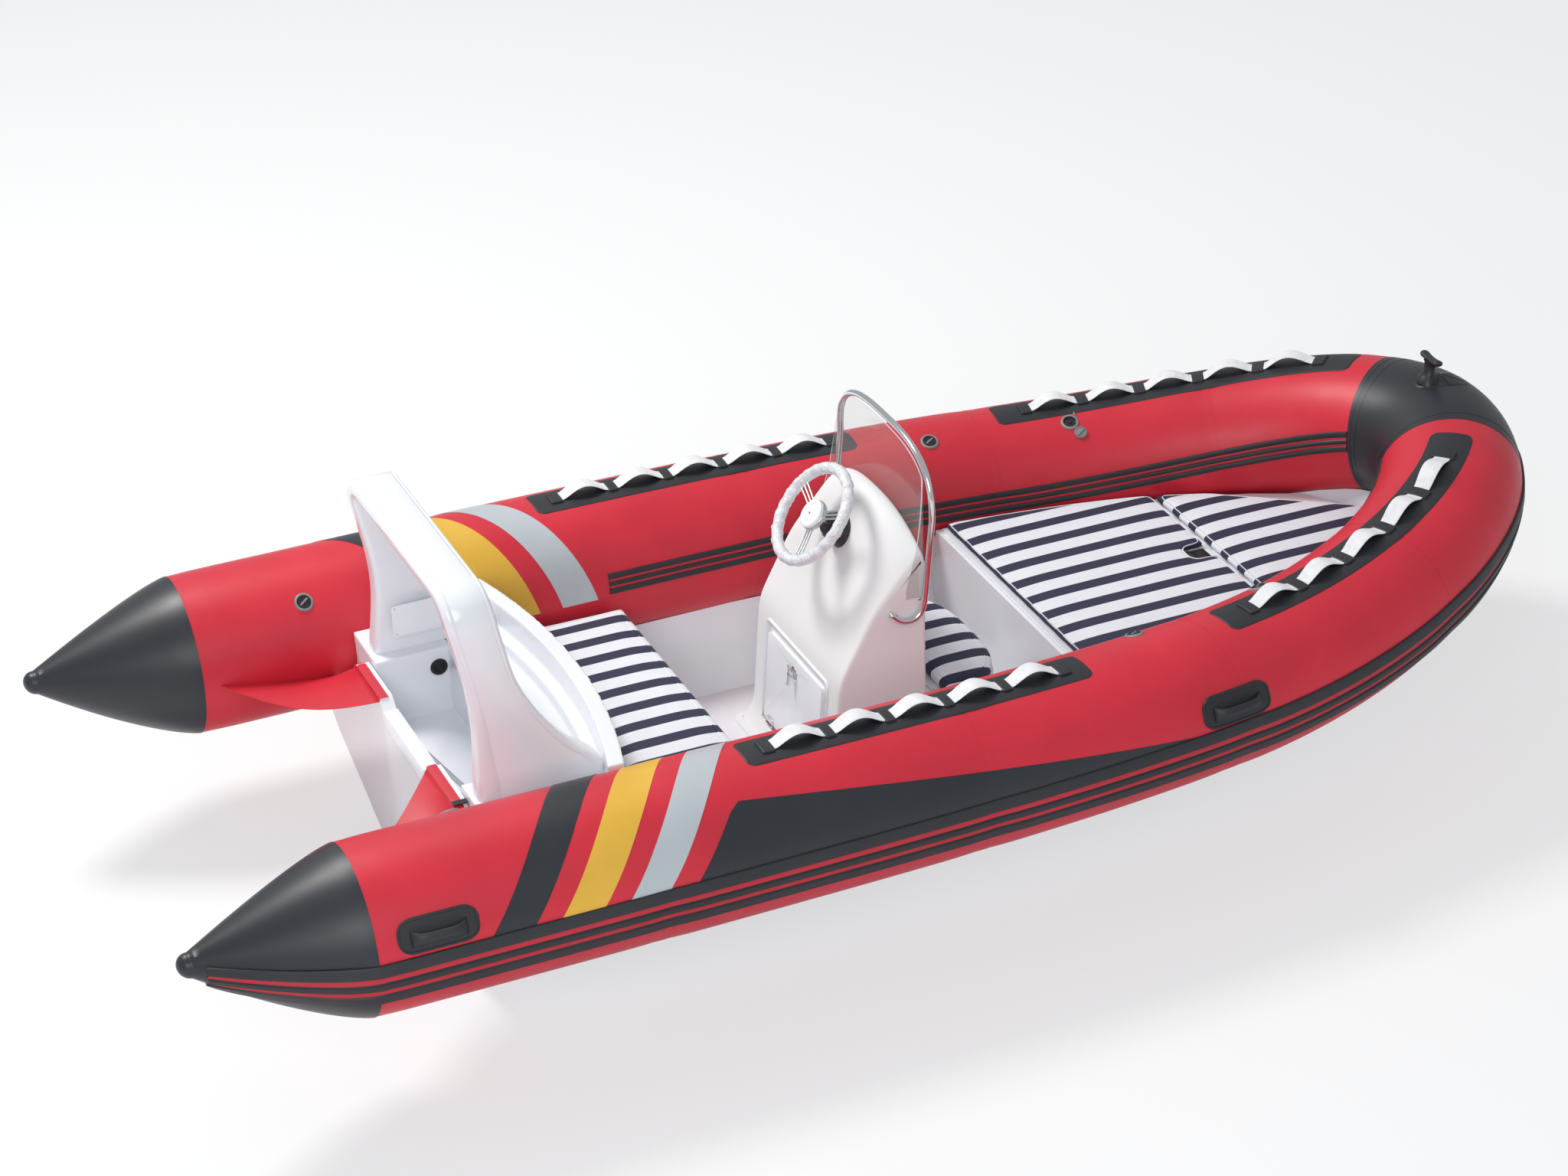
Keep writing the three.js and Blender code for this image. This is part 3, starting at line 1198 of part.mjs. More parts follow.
// The outer body, or with a wall the space inside it, which runs out through the foot
function consoleBody(wall = 0) {
  const halfWidth = helmConsole.half - wall;
  const cornerStart = 1 - helmConsole.corner / halfWidth;
  const cornerShares = [30, 60].map((turn) => lerp(cornerStart, 1, Math.sin(radians(turn))));
  const shares = [0, 0.4, 0.7, cornerStart, ...cornerShares, 1];
  const both = [...shares.slice(1).reverse().map((share) => -share), ...shares];
  const rings = both.map((share) => {
    const y = share * halfWidth;
    const profile = consoleProfile(y, halfWidth);
    const inner = drawnIn(profile.toReversed())(wall).toReversed();
    if (wall > 0) {
      inner[0].set(inner[1].x, floorLevel - overrun);
      inner.at(-1).y = floorLevel - overrun;
    }
    return inner.map((p) => V(p.x, y, p.y));
  });
  return loft(rings);
}

// The aft face leans: its frame has X to starboard, Y up the face and Z out of it, towards the helm
const lean = Math.atan2(helmConsole.lean, helmConsole.dashHeight);
const doorFoot = V(
  dashStation - helmConsole.lean * (1 - (door.sill + hinge.barrel) / helmConsole.dashHeight),
  0,
  floorLevel + door.sill + hinge.barrel,
);
function faceGroup(lift = 0) {
  const group = new THREE.Group();
  const up = V(Math.sin(lean), 0, Math.cos(lean));
  const out = V(-Math.cos(lean), 0, Math.sin(lean));
  group.matrixAutoUpdate = false;
  const origin = doorFoot.clone().addScaledVector(out, lift);
  group.matrix.makeBasis(V(0, -1, 0), up, out).setPosition(origin);
  return group;
}

const shaftAxis = V(-Math.cos(radians(wheelTilt)), 0, Math.sin(radians(wheelTilt)));
const shaftLevel = floorLevel + helmConsole.dashHeight + helm.shaftLevel;
const shaftFoot = V(
  dashStation + (helmConsole.crown * helm.shaftLevel) / (helmConsole.crownHeight - helmConsole.dashHeight),
  0,
  shaftLevel,
);
// Its Z runs out along the steering shaft, its X to port and its Y up
function shaftGroup(distance) {
  const group = new THREE.Group();
  const across = V(0, 1, 0);
  group.matrixAutoUpdate = false;
  const up = shaftAxis.clone().cross(across);
  group.matrix.makeBasis(across, up, shaftAxis);
  group.matrix.setPosition(shaftFoot.clone().addScaledVector(shaftAxis, distance));
  return group;
}

function makeConsole() {
  const { wall, flange, flangeThickness, skirtReach } = helmConsole;
  const foot = floorLevel + clearance;
  const base = box(
    V(dashStation - helmConsole.lean - skirtReach, -helmConsole.half - flange, foot),
    V(consoleFront, helmConsole.half + flange, foot + flangeThickness),
  );
  const outer = join(consoleBody(0), base);
  const face = faceGroup();
  const opening = new THREE.ExtrudeGeometry(
    roundedRectangle(door.width - 2 * door.thickness, door.height - 2 * door.thickness, door.corner),
    { depth: 8 * overrun, bevelEnabled: false, curveSegments: 3 },
  ).translate(0, door.height / 2, -4 * overrun);
  const shiftBack = 3 * helmConsole.skirtReach;
  const pocket = new THREE.ExtrudeGeometry(
    roundedRectangle(door.width + door.frame, door.height + door.frame, door.corner),
    { depth: shiftBack, bevelEnabled: false, curveSegments: 3 },
  ).translate(0, door.height / 2 + door.frame / 4, -door.recess);
  const shaftHole = new THREE.CylinderGeometry(shaftRadius * 1.5, shaftRadius * 1.5, 8 * overrun, 12).rotateX(Math.PI / 2);
  const tools = [opening, pocket].map((tool) => tool.applyMatrix4(face.matrix));
  tools.push(shaftHole.applyMatrix4(shaftGroup(0).matrix));
  add("console_shell", cut(outer, consoleBody(wall), ...tools), gelcoat);
}
makeConsole();

// Console door: a panel on a long hinge at its foot, with a T-handle latch at the top

function makeDoor() {
  const group = faceGroup(-door.recess + clearance);
  boat.add(group);
  const panel = new THREE.ExtrudeGeometry(roundedRectangle(door.width, door.height, door.corner), {
    depth: door.thickness - 2 * (door.thickness / 6),
    bevelSize: -door.thickness / 6,
    bevelOffset: 0,
    bevelThickness: door.thickness / 6,
    bevelSegments: 1,
    curveSegments: 3,
  }).translate(0, door.height / 2 + hinge.barrel + clearance, door.thickness / 6);
  const spindleLevel = door.height - latch.drop;
  const holeRadius = (latch.spindle + clearance) / Math.cos(Math.PI / latchSides); // clears the spindle's corners
  const hole = new THREE.CylinderGeometry(holeRadius, holeRadius, 4 * overrun, latchSides);
  hole.rotateX(Math.PI / 2).translate(0, spindleLevel, 0);
  add("console_door", cut(panel, hole), gelcoat, group);

  const leafLow = door.thickness + clearance;
  const barrel = new THREE.CylinderGeometry(hinge.barrel, hinge.barrel, hinge.length, 10).rotateZ(Math.PI / 2);
  barrel.translate(0, 0, leafLow + hinge.barrel / 2);
  const leaf = box(V(-hinge.length / 2, 0, leafLow), V(hinge.length / 2, hinge.leaf, leafLow + hinge.leafThickness));
  add("door_hinge", join(barrel, leaf), stainless, group);

  const plateLow = door.thickness + clearance;
  const boltHigh = door.recess - helmConsole.wall - 2 * clearance;
  const boltLow = boltHigh - latch.plateThickness;
  const profile = [P(0, boltLow), P(latch.spindle, boltLow), P(latch.spindle, plateLow)];
  profile.push(P(latch.plate, plateLow), P(latch.plate * 0.9, plateLow + latch.plateThickness));
  const top = plateLow + latch.stand;
  profile.push(P(latch.spindle, plateLow + latch.plateThickness), P(latch.spindle * 0.8, top), P(0, top));
  const spindle = new THREE.LatheGeometry(profile, latchSides).rotateX(Math.PI / 2);
  const handle = new THREE.CapsuleGeometry(latch.bar, latch.barLength, 2, 8).translate(0, 0, plateLow + latch.stand);
  const bolt = box(
    V(-latch.spindle * 0.8, -latch.spindle, boltLow),
    V(latch.spindle * 0.8, latch.drop - door.thickness - 2 * clearance, boltHigh),
  );
  const latchGroup = new THREE.Group();
  latchGroup.position.set(0, spindleLevel, 0);
  group.add(latchGroup);
  add("door_latch", join(spindle, handle, bolt), stainless, latchGroup);
}
makeDoor();

// Steering: bezel, helm box with its shaft, hub with three spokes of three rods, and the wrapped rim

function makeSteering() {
  const bezelGroup = shaftGroup(0);
  boat.add(bezelGroup);
  const bore = shaftRadius + clearance;
  const low = -2 * overrun;
  const profile = [P(bore, low), P(bezel.radius, low), P(bezel.radius, bezel.height * 0.35)];
  profile.push(P(bezel.tip, bezel.height), P(bore, bezel.height), P(bore, low));
  const sleeve = new THREE.LatheGeometry(profile, 16).rotateX(Math.PI / 2);
  const inverse = bezelGroup.matrix.clone().invert();
  const dash = consoleBody(0).translate(-clearance, 0, clearance).applyMatrix4(inverse);
  add("dash_bezel", cut(sleeve, dash), blackPlastic, bezelGroup);

  const dashTurn = Math.atan2(helmConsole.crown, helmConsole.crownHeight - helmConsole.dashHeight);
  const tilt = radians(wheelTilt) - dashTurn;
  const seat = -helm.radius * Math.tan(tilt) - helmConsole.wall / Math.cos(tilt) - 3 * clearance;
  const socket = seat - helm.socket;
  const housing = [P(0, seat - helm.depth), P(helm.radius, seat - helm.depth), P(helm.radius, seat)];
  housing.push(P(bore, seat), P(bore, socket), P(0, socket));
  add("helm_unit", new THREE.LatheGeometry(housing, 16).rotateX(Math.PI / 2), blackPlastic, bezelGroup);

  const wheelGroup = shaftGroup(wheel.distance);
  boat.add(wheelGroup);
  const shaftEnd = socket + clearance - wheel.distance;
  const hubProfile = [P(0, shaftEnd), P(shaftRadius, shaftEnd), P(shaftRadius, -wheel.hubDepth)];
  hubProfile.push(P(wheel.hub * 0.55, -wheel.hubDepth), P(wheel.hub, -wheel.hubDepth * 0.2));
  hubProfile.push(P(wheel.hub * 0.92, wheel.rod), P(wheel.hub * 0.4, wheel.rod * 2.6), P(0, wheel.rod * 2.8));
  const hub = new THREE.LatheGeometry(hubProfile, 16).rotateX(Math.PI / 2);
  const rimHeight = wheel.grip * 0.4;
  const rimSteps = 26;
  const freeRadius = (wheel.rim - wheel.grip) * Math.cos(Math.PI / rimSteps);
  const rodReach = Math.sqrt(freeRadius ** 2 - (wheel.rodPitch + wheel.rod) ** 2);
  const rods = [60, -60, 180].flatMap((turn) =>
    [-1, 0, 1].map((place) => {
      const from = V(place * wheel.rodPitch, wheel.hub * 0.5, -wheel.rod);
      const to = V(place * wheel.rodPitch, rodReach - 2 * clearance, rimHeight);
      return roundBar([from, to], wheel.rod, 6).rotateZ(radians(turn));
    }),
  );
  add("wheel_hub", join(hub, ...rods), stainless, wheelGroup);
  const rim = new THREE.TorusGeometry(wheel.rim, wheel.grip, 8, rimSteps).translate(0, 0, rimHeight);
  add("wheel_rim", rim, whiteWrap, wheelGroup);
}
makeSteering();

// Windscreen: a bent acrylic sheet round the front of the console, inside a stainless rail

function makeScreen() {
  const back = consoleFront + clearance;
  const front = back + screen.thickness;
  const inside = helmConsole.half + clearance;
  const outside = inside + screen.thickness;
  const z = (height) => floorLevel + height;
  const aft = consoleFront - screen.returnLength;
  const corner = helmConsole.corner;
  const bend = (radius, turns) =>
    turns.map((turn) => {
      const [s, c] = [Math.sin(radians(turn)), Math.cos(radians(turn))];
      return P(consoleFront - corner + radius * s, helmConsole.half - corner + radius * c);
    });
  const turns = steps(0, 90, 3);
  const innerArc = bend(corner + clearance, turns);
  const outerArc = bend(corner + clearance + screen.thickness, turns.toReversed());
  const across = (list) => list.toReversed().map((p) => P(p.x, -p.y));
  const innerEdge = [P(aft, inside), ...innerArc];
  const outerEdge = [...outerArc, P(aft, outside)];
  const plan = outline([...innerEdge, ...across(innerEdge), ...across(outerEdge), ...outerEdge]);
  const panel = raised(plan, z(screen.foot), z(screen.top));
  const slope = outline([
    P(aft - overrun, z(screen.returnTop)),
    P(aft, z(screen.returnTop)),
    P(consoleFront - corner / 2, z(screen.top) + clearance),
    P(aft - overrun, z(screen.top) + clearance),
  ]);
  add("windscreen", cut(panel, runAcross(slope, outside + overrun)), acrylic);

  const railStation = front + clearance + rail.radius;
  const railHalf = outside + clearance + rail.radius;
  const arcPoints = (centre, u, w, radius, turns) =>
    turns.map((turn) =>
      centre
        .clone()
        .addScaledVector(u, radius * Math.cos(radians(turn)))
        .addScaledVector(w, radius * Math.sin(radians(turn))),
    );
  const hookCentre = V(railStation - rail.hookCorner, railHalf, z(rail.foot) + rail.hookCorner);
  const port = [V(railStation - rail.hook, railHalf, z(rail.foot))];
  port.push(...arcPoints(hookCentre, V(1, 0, 0), V(0, 0, 1), rail.hookCorner, [-90, -60, -30, 0]));
  const shoulder = V(railStation, railHalf - rail.corner, z(rail.top) - rail.corner);
  port.push(...arcPoints(shoulder, V(0, 1, 0), V(0, 0, 1), rail.corner, [0, 22, 45, 68, 88]));
  port.push(V(railStation, railHalf * 0.35, z(rail.top) + rail.crown * 0.7));
  port.push(V(railStation, 0, z(rail.top) + rail.crown));
  const points = [...port, ...port.slice(0, -1).reverse().map(mirrored)];
  const footDepth = railHalf - helmConsole.half - 2 * clearance;
  const feet = Object.values(sides).map((side) =>
    new THREE.CylinderGeometry(rail.footRadius, rail.footRadius, footDepth, 12).translate(
      railStation - rail.hook + rail.footRadius,
      side * (railHalf - footDepth / 2),
      z(rail.foot),
    ),
  );
  add("windscreen_rail", join(roundBar(points, rail.radius, 8), ...feet), stainless);
}
makeScreen();

// Console front seat: a D-shaped box with a hinged lid and a half-round cushion

function halfRound(aft, halfWidth, reach, count) {
  const arc = steps(-Math.PI / 2, Math.PI / 2, count).map((turn) => {
    const c = Math.cos(turn) ** (2 / frontSeatPower);
    const s = Math.sign(Math.sin(turn)) * Math.abs(Math.sin(turn)) ** (2 / frontSeatPower);
    return P(aft + reach * c, halfWidth * s);
  });
  return arc;
}

function makeFrontSeat() {
  const { reach, height, cushion, lid, hingeGap, wall, floor } = frontSeat;
  const aft = consoleFront + clearance;
  const top = floorLevel + height;
  const lidLow = top - cushion - clearance - lid;
  const lidAft = consoleFront + hingeGap;
  const halfWidth = helmConsole.half - 2 * clearance;
  const depth = frontSeatTip - aft;
  const foot = floorLevel + clearance;
  const outer = raised(outline(halfRound(aft, halfWidth, depth, 16)), foot, lidLow - clearance);
  const hollow = raised(
    outline(halfRound(lidAft + wall, halfWidth - 2 * wall, depth - hingeGap - wall, 12)),
    foot + floor,
    lidLow + overrun,
  );
  const barrelStation = lidAft - hingeBarrel - clearance;
  const barrelLevel = lidLow + hingeBarrel / 2;
  const barrelHalf = halfWidth * 0.7;
  const groove = box(
    V(barrelStation - hingeBarrel - clearance, -barrelHalf - bond, barrelLevel - hingeBarrel - clearance),
    V(lidAft + hingeBarrel, barrelHalf + bond, lidLow + overrun),
  );
  add("console_seat_base", cut(outer, hollow, groove), gelcoat);
  const lidReach = frontSeatTip - lidAft;
  const plan = outline(halfRound(lidAft, halfWidth - wall / 2, lidReach - wall / 2, 16));
  const board = raised(plan, lidLow, lidLow + lid);
  const link = box(V(barrelStation, -barrelHalf, barrelLevel), V(lidAft + wall, barrelHalf, lidLow + lid));
  add("console_seat_lid", join(board, link, loopedHinge(barrelStation, barrelLevel, barrelHalf)), gelcoat);
  const arc = halfRound(lidAft, halfWidth, lidReach, 28);
  const aftEdge = steps(halfWidth, -halfWidth, 9).slice(1, -1).map((y) => P(lidAft, y));
  const edge = drawnIn([...arc, ...aftEdge]);
  add("console_seat_cushion", cushionBody(edge, top - cushion, top - 4 * bond, 4 * bond), stripedCloth);
}
makeFrontSeat();

// Bow: bulkhead, sundeck moulding with a hatch, hinged hatch board with its cushion, fixed forward cushion

// Half width between the tubes at a station and level
function freeHalf(x, z) {
  const share = Math.max(0, Math.min(1, (x - tube.straightEnd) / bowRun));
  const axis = tube.halfBeam * (1 - share ** curvePower.along) ** (1 / curvePower.across);
  const slope =
    ((tube.halfBeam / bowRun) * (curvePower.along / curvePower.across) * share ** (curvePower.along - 1)) /
    (1 - share ** curvePower.along) ** (1 - 1 / curvePower.across);
  const climb = Math.max(0, (x - tube.sheerStart) / (bowCentre - tube.sheerStart));
  const rise = z - tube.sheerRise * climb ** curvePower.sheer;
  const radius = radiusAt(x);
  return axis - Math.sqrt(Math.max(0, radius ** 2 - rise ** 2)) * Math.sqrt(1 + slope ** 2);
}

function makeBow() {
  const top = floorLevel + sundeck.height;
  const deckTop = top - sundeck.cushion - sundeck.board - 2 * clearance;
  const deckLow = deckTop - sundeck.moulding;
  const tipStation = bulkheadStation + sundeckTip.station;
  const edgeHalf = (x, gap) => freeHalf(x, deckTop) - gap;
  const deckStations = steps(bulkheadStation, tipStation - sundeckTip.half * 2, 8);
  const rightSide = deckStations.map((x) => P(x, Math.max(sundeckTip.half, edgeHalf(x, sundeck.tubeGap))));
  const plan = [...rightSide, P(tipStation, sundeckTip.half)];
  const deck = raised(outline([...plan, ...plan.toReversed().map((p) => P(p.x, -p.y))]), deckLow, deckTop);
  const margin = hatch.openingMargin;
  const openingHalf = edgeHalf(hatchSeam, sundeck.tubeGap) - margin;
  const opening = box(
    V(bulkheadStation + margin, -openingHalf, deckLow - overrun),
    V(hatchSeam - margin * 2, openingHalf, deckTop + overrun),
  );
  add("sundeck_moulding", cut(deck, opening), gelcoat);

  const bulkhead = fillBetween(deckLow - clearance, bulkheadStation, bulkheadStation + bulkheadThickness);
  add("bow_bulkhead", bulkhead, gelcoat);

  // Hatch board, cushion with a notch for the latch
  const gap = hatch.sideGap;
  const aft = bulkheadStation + hatch.sideGap;
  const boardLow = deckTop + clearance;
  const boardStations = steps(aft, hatchSeam - hatch.seam, 4);
  const boardSide = boardStations.map((x) => P(x, freeHalf(x, top) - gap));
  const boardPlan = [...boardSide, ...boardSide.toReversed().map((p) => P(p.x, -p.y))];
  const board = raised(outline(boardPlan), boardLow, boardLow + sundeck.board);
  const barrelHalf = boardSide[0].y - hatch.openingMargin;
  const barrel = loopedHinge(aft - hingeBarrel, boardLow + hingeBarrel, barrelHalf);
  const link = box(
    V(aft - hingeBarrel, -barrelHalf, boardLow),
    V(aft + hingeBarrel, barrelHalf, boardLow + sundeck.board),
  );
  const seamX = hatchSeam - hatch.seam;
  const notch = hatch.latchNotch;
  const pocketLow = V(seamX - notch, -slamLatch.paddle / 2 - clearance, boardLow + sundeck.board - slamLatch.pocket);
  const pocket = box(pocketLow, V(seamX - notch + slamLatch.size * 0.7, slamLatch.paddle / 2 + clearance, top));
  add("hatch_lid", cut(join(board, link, barrel), pocket), gelcoat);

  const cushionLow = boardLow + sundeck.board + clearance;
  const stations = steps(aft, seamX, 8);
  const port = stations.map((x) => P(x, freeHalf(x, top) - gap));
  const frontEdge = steps(port.at(-1).y, -port.at(-1).y, 10).slice(1, -1).map((y) => P(seamX, y));
  const aftEdge = steps(-port[0].y, port[0].y, 10).slice(1, -1).map((y) => P(aft, y));
  const ring = [...port, ...frontEdge, ...port.toReversed().map((p) => P(p.x, -p.y)), ...aftEdge];
  const edge = drawnIn(ring.toReversed());
  const crown = 2 * bond;
  const cushion = cushionBody(edge, cushionLow, top - crown, crown);
  const notchBox = box(V(seamX - notch, -notch / 2, cushionLow - overrun), V(seamX + overrun, notch / 2, top + overrun));
  add("aft_deck_cushion", cut(cushion, notchBox), stripedCloth);

  // Flush latch in the notch: its paddle lifts about a pin along its aft edge
  const plateLow = boardLow + sundeck.board + clearance;
  const latchGroup = new THREE.Group();
  latchGroup.position.set(seamX - notch + slamLatch.size * 0.18, 0, plateLow);
  boat.add(latchGroup);
  const paddle = box(
    V(0, -slamLatch.size / 2, 0),
    V(slamLatch.size * 0.8, slamLatch.size / 2, slamLatch.paddleThickness),
  );
  const lip = box(
    V(slamLatch.size * 0.62, -slamLatch.paddle / 2, slamLatch.paddleThickness / 2),
    V(slamLatch.size * 0.72, slamLatch.paddle / 2, 2 * slamLatch.paddleThickness),
  );
  const pinEnds = [-1, 1].map((end) => V(0, (end * slamLatch.size) / 2, slamLatch.paddleThickness));
  const pin = roundBar(pinEnds, slamLatch.thickness, 8);
  add("hatch_latch", join(paddle, lip, pin), blackPlastic, latchGroup);

  // Forward cushion: a six-sided pad that narrows to the bow
  const foreAft = hatchSeam;
  const fore = [
    P(foreAft, freeHalf(foreAft, top) - gap),
    P(bulkheadStation + sundeckTip.shoulder, sundeckTip.shoulderHalf - gap),
    P(tipStation - hatch.seam, sundeckTip.half - hatch.seam),
  ];
  const shorten = fore.map((p) => p.clone());
  const corners = [...shorten, ...shorten.toReversed().map((p) => P(p.x, -p.y))];
  const foreEdge = drawnIn(eased(corners.toReversed(), gap / 2, 6));
  const foreLow = deckTop + clearance;
  add("forward_deck_cushion", cushionBody(foreEdge, foreLow, top - crown, crown), stripedCloth);
}
makeBow();

// The finished boat: its origin is under the middle of its length, at the keel pad

const overallLength = tube.reach + bond + rubStrake.rib;
const tipStationX = cone.length * (1 - coneShares.at(-1));
boat.position.set(-(overallLength + tipStationX) / 2, 0, -hull.keelLevel);
const root = new THREE.Group();
root.add(boat);
export default root;
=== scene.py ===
# %% [markdown]
# # A rigid inflatable boat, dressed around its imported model
# The boat comes packed: every rigid piece is there at its real size, and its wheel, door, lids and
# latches ride on named bodies. What is missing is the look: taut coated fabric, ribbed rubber,
# glossy moulded gelcoat, striped cushions, woven handles and polished steel. Each cell below takes
# one of these, says what it is on a real boat, and builds it.

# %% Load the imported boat
import json
import math

import bmesh
import bpy
import numpy as np
from mathutils import Matrix, Vector, noise

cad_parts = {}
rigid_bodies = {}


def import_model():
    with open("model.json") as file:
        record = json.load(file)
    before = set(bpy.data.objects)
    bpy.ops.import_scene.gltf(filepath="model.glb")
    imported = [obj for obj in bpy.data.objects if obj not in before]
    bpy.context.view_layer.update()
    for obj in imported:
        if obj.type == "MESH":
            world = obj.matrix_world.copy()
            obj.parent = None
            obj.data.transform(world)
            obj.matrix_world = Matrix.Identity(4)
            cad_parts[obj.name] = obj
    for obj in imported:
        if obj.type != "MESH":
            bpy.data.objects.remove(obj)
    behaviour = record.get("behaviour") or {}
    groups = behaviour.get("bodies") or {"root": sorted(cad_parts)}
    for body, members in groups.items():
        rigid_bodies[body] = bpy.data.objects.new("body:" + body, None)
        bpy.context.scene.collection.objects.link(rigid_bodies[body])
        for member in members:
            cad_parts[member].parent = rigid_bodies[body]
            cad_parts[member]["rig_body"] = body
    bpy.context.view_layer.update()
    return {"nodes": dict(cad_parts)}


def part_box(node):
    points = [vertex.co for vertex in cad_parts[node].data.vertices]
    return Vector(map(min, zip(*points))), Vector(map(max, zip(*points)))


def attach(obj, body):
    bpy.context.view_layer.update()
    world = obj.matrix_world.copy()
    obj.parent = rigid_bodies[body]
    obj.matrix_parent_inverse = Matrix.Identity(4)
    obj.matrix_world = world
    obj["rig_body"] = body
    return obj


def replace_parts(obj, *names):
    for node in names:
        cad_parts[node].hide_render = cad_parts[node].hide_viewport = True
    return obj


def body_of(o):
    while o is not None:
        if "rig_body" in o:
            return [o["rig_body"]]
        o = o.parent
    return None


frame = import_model()
nodes = frame["nodes"]
SIDES = {"port": 1, "starboard": -1}

# %% [markdown]
# ## The camera
# The photograph was taken from a raised place off the starboard quarter with a fairly long lens.
# Its place was worked out from the boat's own lines, the straight tubes and the level floor, so it
# is given here as numbers instead of being aimed at the middle of the boat.

# %% Place the camera
CAMERA_PLACE = (-4.66435, -10.665, 7.335)
CAMERA_YAW, CAMERA_PITCH, CAMERA_ROLL = 1.174, -0.509, -0.034  # radians
CAMERA_LENS, SENSOR_WIDTH = 90.2, 36  # mm
CAMERA_REACH = 200  # metres


def in_scene(name, data):
    """A new object, linked to the scene."""
    made = bpy.data.objects.new(name, data)
    bpy.context.scene.collection.objects.link(made)
    return made


def frame_at(place, *axes):
    """A matrix at a place, with the given directions as its X, Y and Z."""
    return Matrix.Translation(place) @ Matrix(axes).transposed().to_4x4()


def camera_frame(yaw, pitch, roll):
    """The camera's matrix, from a heading in the floor, a tilt and a roll."""
    level = math.cos(pitch)
    forward = Vector((level * math.cos(yaw), level * math.sin(yaw), math.sin(pitch)))
    right = forward.cross(Vector((0, 0, 1))).normalized()
    up = right.cross(forward)
    rolled_right = right * math.cos(roll) + up * math.sin(roll)
    rolled_up = up * math.cos(roll) - right * math.sin(roll)
    return frame_at(CAMERA_PLACE, rolled_right, rolled_up, -forward)


camera_data = bpy.data.cameras.new("camera")
camera_data.lens, camera_data.sensor_width = CAMERA_LENS, SENSOR_WIDTH
camera_data.clip_end = CAMERA_REACH
camera = in_scene("camera", camera_data)
camera.matrix_world = camera_frame(CAMERA_YAW, CAMERA_PITCH, CAMERA_ROLL)
bpy.context.scene.camera = camera

# %% [markdown]
# ## The line of the tubes
# The two tubes and the bow are one hoop of nearly even girth. Everything that is glued to it, from
# the rubbing strake to the valves, is easiest to place by how far round the hoop it lies and by
# its angle about the tube: 0 degrees faces outboard, 90 is the top and 180 faces the deck.

# %% Measure out the hoop
TIP_TO_ORIGIN = 2.60535  # from the tail cones' tips to the middle of the boat
AXIS_HEIGHT = 0.62  # of the straight tubes, above the ground
STERN_RADIUS, BOW_RADIUS = 0.276, 0.253
HALF_BEAM = 0.933
CONE_LENGTH, CONE_TIP_RADIUS, CONE_TIP_RISE = 0.553, 0.04, 0.029
CURVE_START, CURVE_END = 1.583, 4.947
CURVE_POWERS = (3.4, 1.98)  # how square the bow's curve is, along and across the boat
SHEER_START, SHEER_RISE, SHEER_POWER = 3.572, 0.221, 2.04
TAPER_POWER = 1.25  # how late a tail cone tapers
CHORD_REACH = 0.012  # how far before and behind a place its direction is measured


def run_along(points):
    """How far along a line each of its points lies."""
    return np.concatenate([[0], np.cumsum(np.linalg.norm(np.diff(points, axis=0), axis=1))])


def half_hoop(count=400):
    """Points along the port half of the tubes' axis, in metres from the cones' tips."""
    turn = np.linspace(0, math.pi / 2, count)
    x = CURVE_START + (CURVE_END - CURVE_START) * np.sin(turn) ** (2 / CURVE_POWERS[0])
    y = HALF_BEAM * np.abs(np.cos(turn)) ** (2 / CURVE_POWERS[1])
    climb = np.clip((x - SHEER_START) / (CURVE_END - SHEER_START), 0, 1)
    curve = np.stack([x, y, SHEER_RISE * climb**SHEER_POWER], 1)
    straight = [[at, HALF_BEAM, 0.0] for at in np.linspace(CONE_LENGTH, CURVE_START, 40)[:-1]]
    return np.vstack([straight, curve])


port_half = half_hoop()
hoop_line = np.vstack([port_half, port_half[-2::-1] * [1, -1, 1]])
hoop_miles = run_along(hoop_line)
HOOP_LENGTH = hoop_miles[-1]
BOW_MILE = HOOP_LENGTH / 2
BLACK_BOW_HALF = 0.236
SEAM_MILE = BOW_MILE - BLACK_BOW_HALF


def hoop_point(mile):
    return np.stack([np.interp(mile, hoop_miles, hoop_line[:, k]) for k in range(3)], -1)


def hoop_stations(mile):
    """Centre, outboard direction, upward direction and radius at distances round the hoop."""
    mile = np.asarray(mile, float)
    inside = np.clip(mile, 0, HOOP_LENGTH)
    centre = hoop_point(inside)
    before = hoop_point(np.clip(inside - CHORD_REACH, 0, HOOP_LENGTH))
    ahead = hoop_point(np.clip(inside + CHORD_REACH, 0, HOOP_LENGTH)) - before
    ahead /= np.linalg.norm(ahead, axis=-1, keepdims=True)
    outboard = np.cross([0, 0, 1.0], ahead)
    outboard /= np.linalg.norm(outboard, axis=-1, keepdims=True)
    up = np.cross(ahead, outboard)
    share = np.clip((centre[..., 0] - CURVE_START) / (CURVE_END - CURVE_START), 0, 1)
    radius = STERN_RADIUS + (BOW_RADIUS - STERN_RADIUS) * share
    past = np.maximum(-mile, mile - HOOP_LENGTH).clip(0) / CONE_LENGTH  # how far down a tail cone
    nose_share = 1 - CONE_TIP_RADIUS / CONE_LENGTH
    nose = ((past - nose_share) / (1 - nose_share)).clip(0, 1)
    taper = 1 - (past / nose_share).clip(0, 1) ** TAPER_POWER
    cone_radius = (CONE_TIP_RADIUS + (STERN_RADIUS - CONE_TIP_RADIUS) * taper) * np.sqrt(1 - nose**2)
    radius = np.where(past > 0, cone_radius, radius)
    centre = centre + np.stack([-past * CONE_LENGTH, 0 * past, CONE_TIP_RISE * past**2], -1)
    return centre, outboard, up, radius


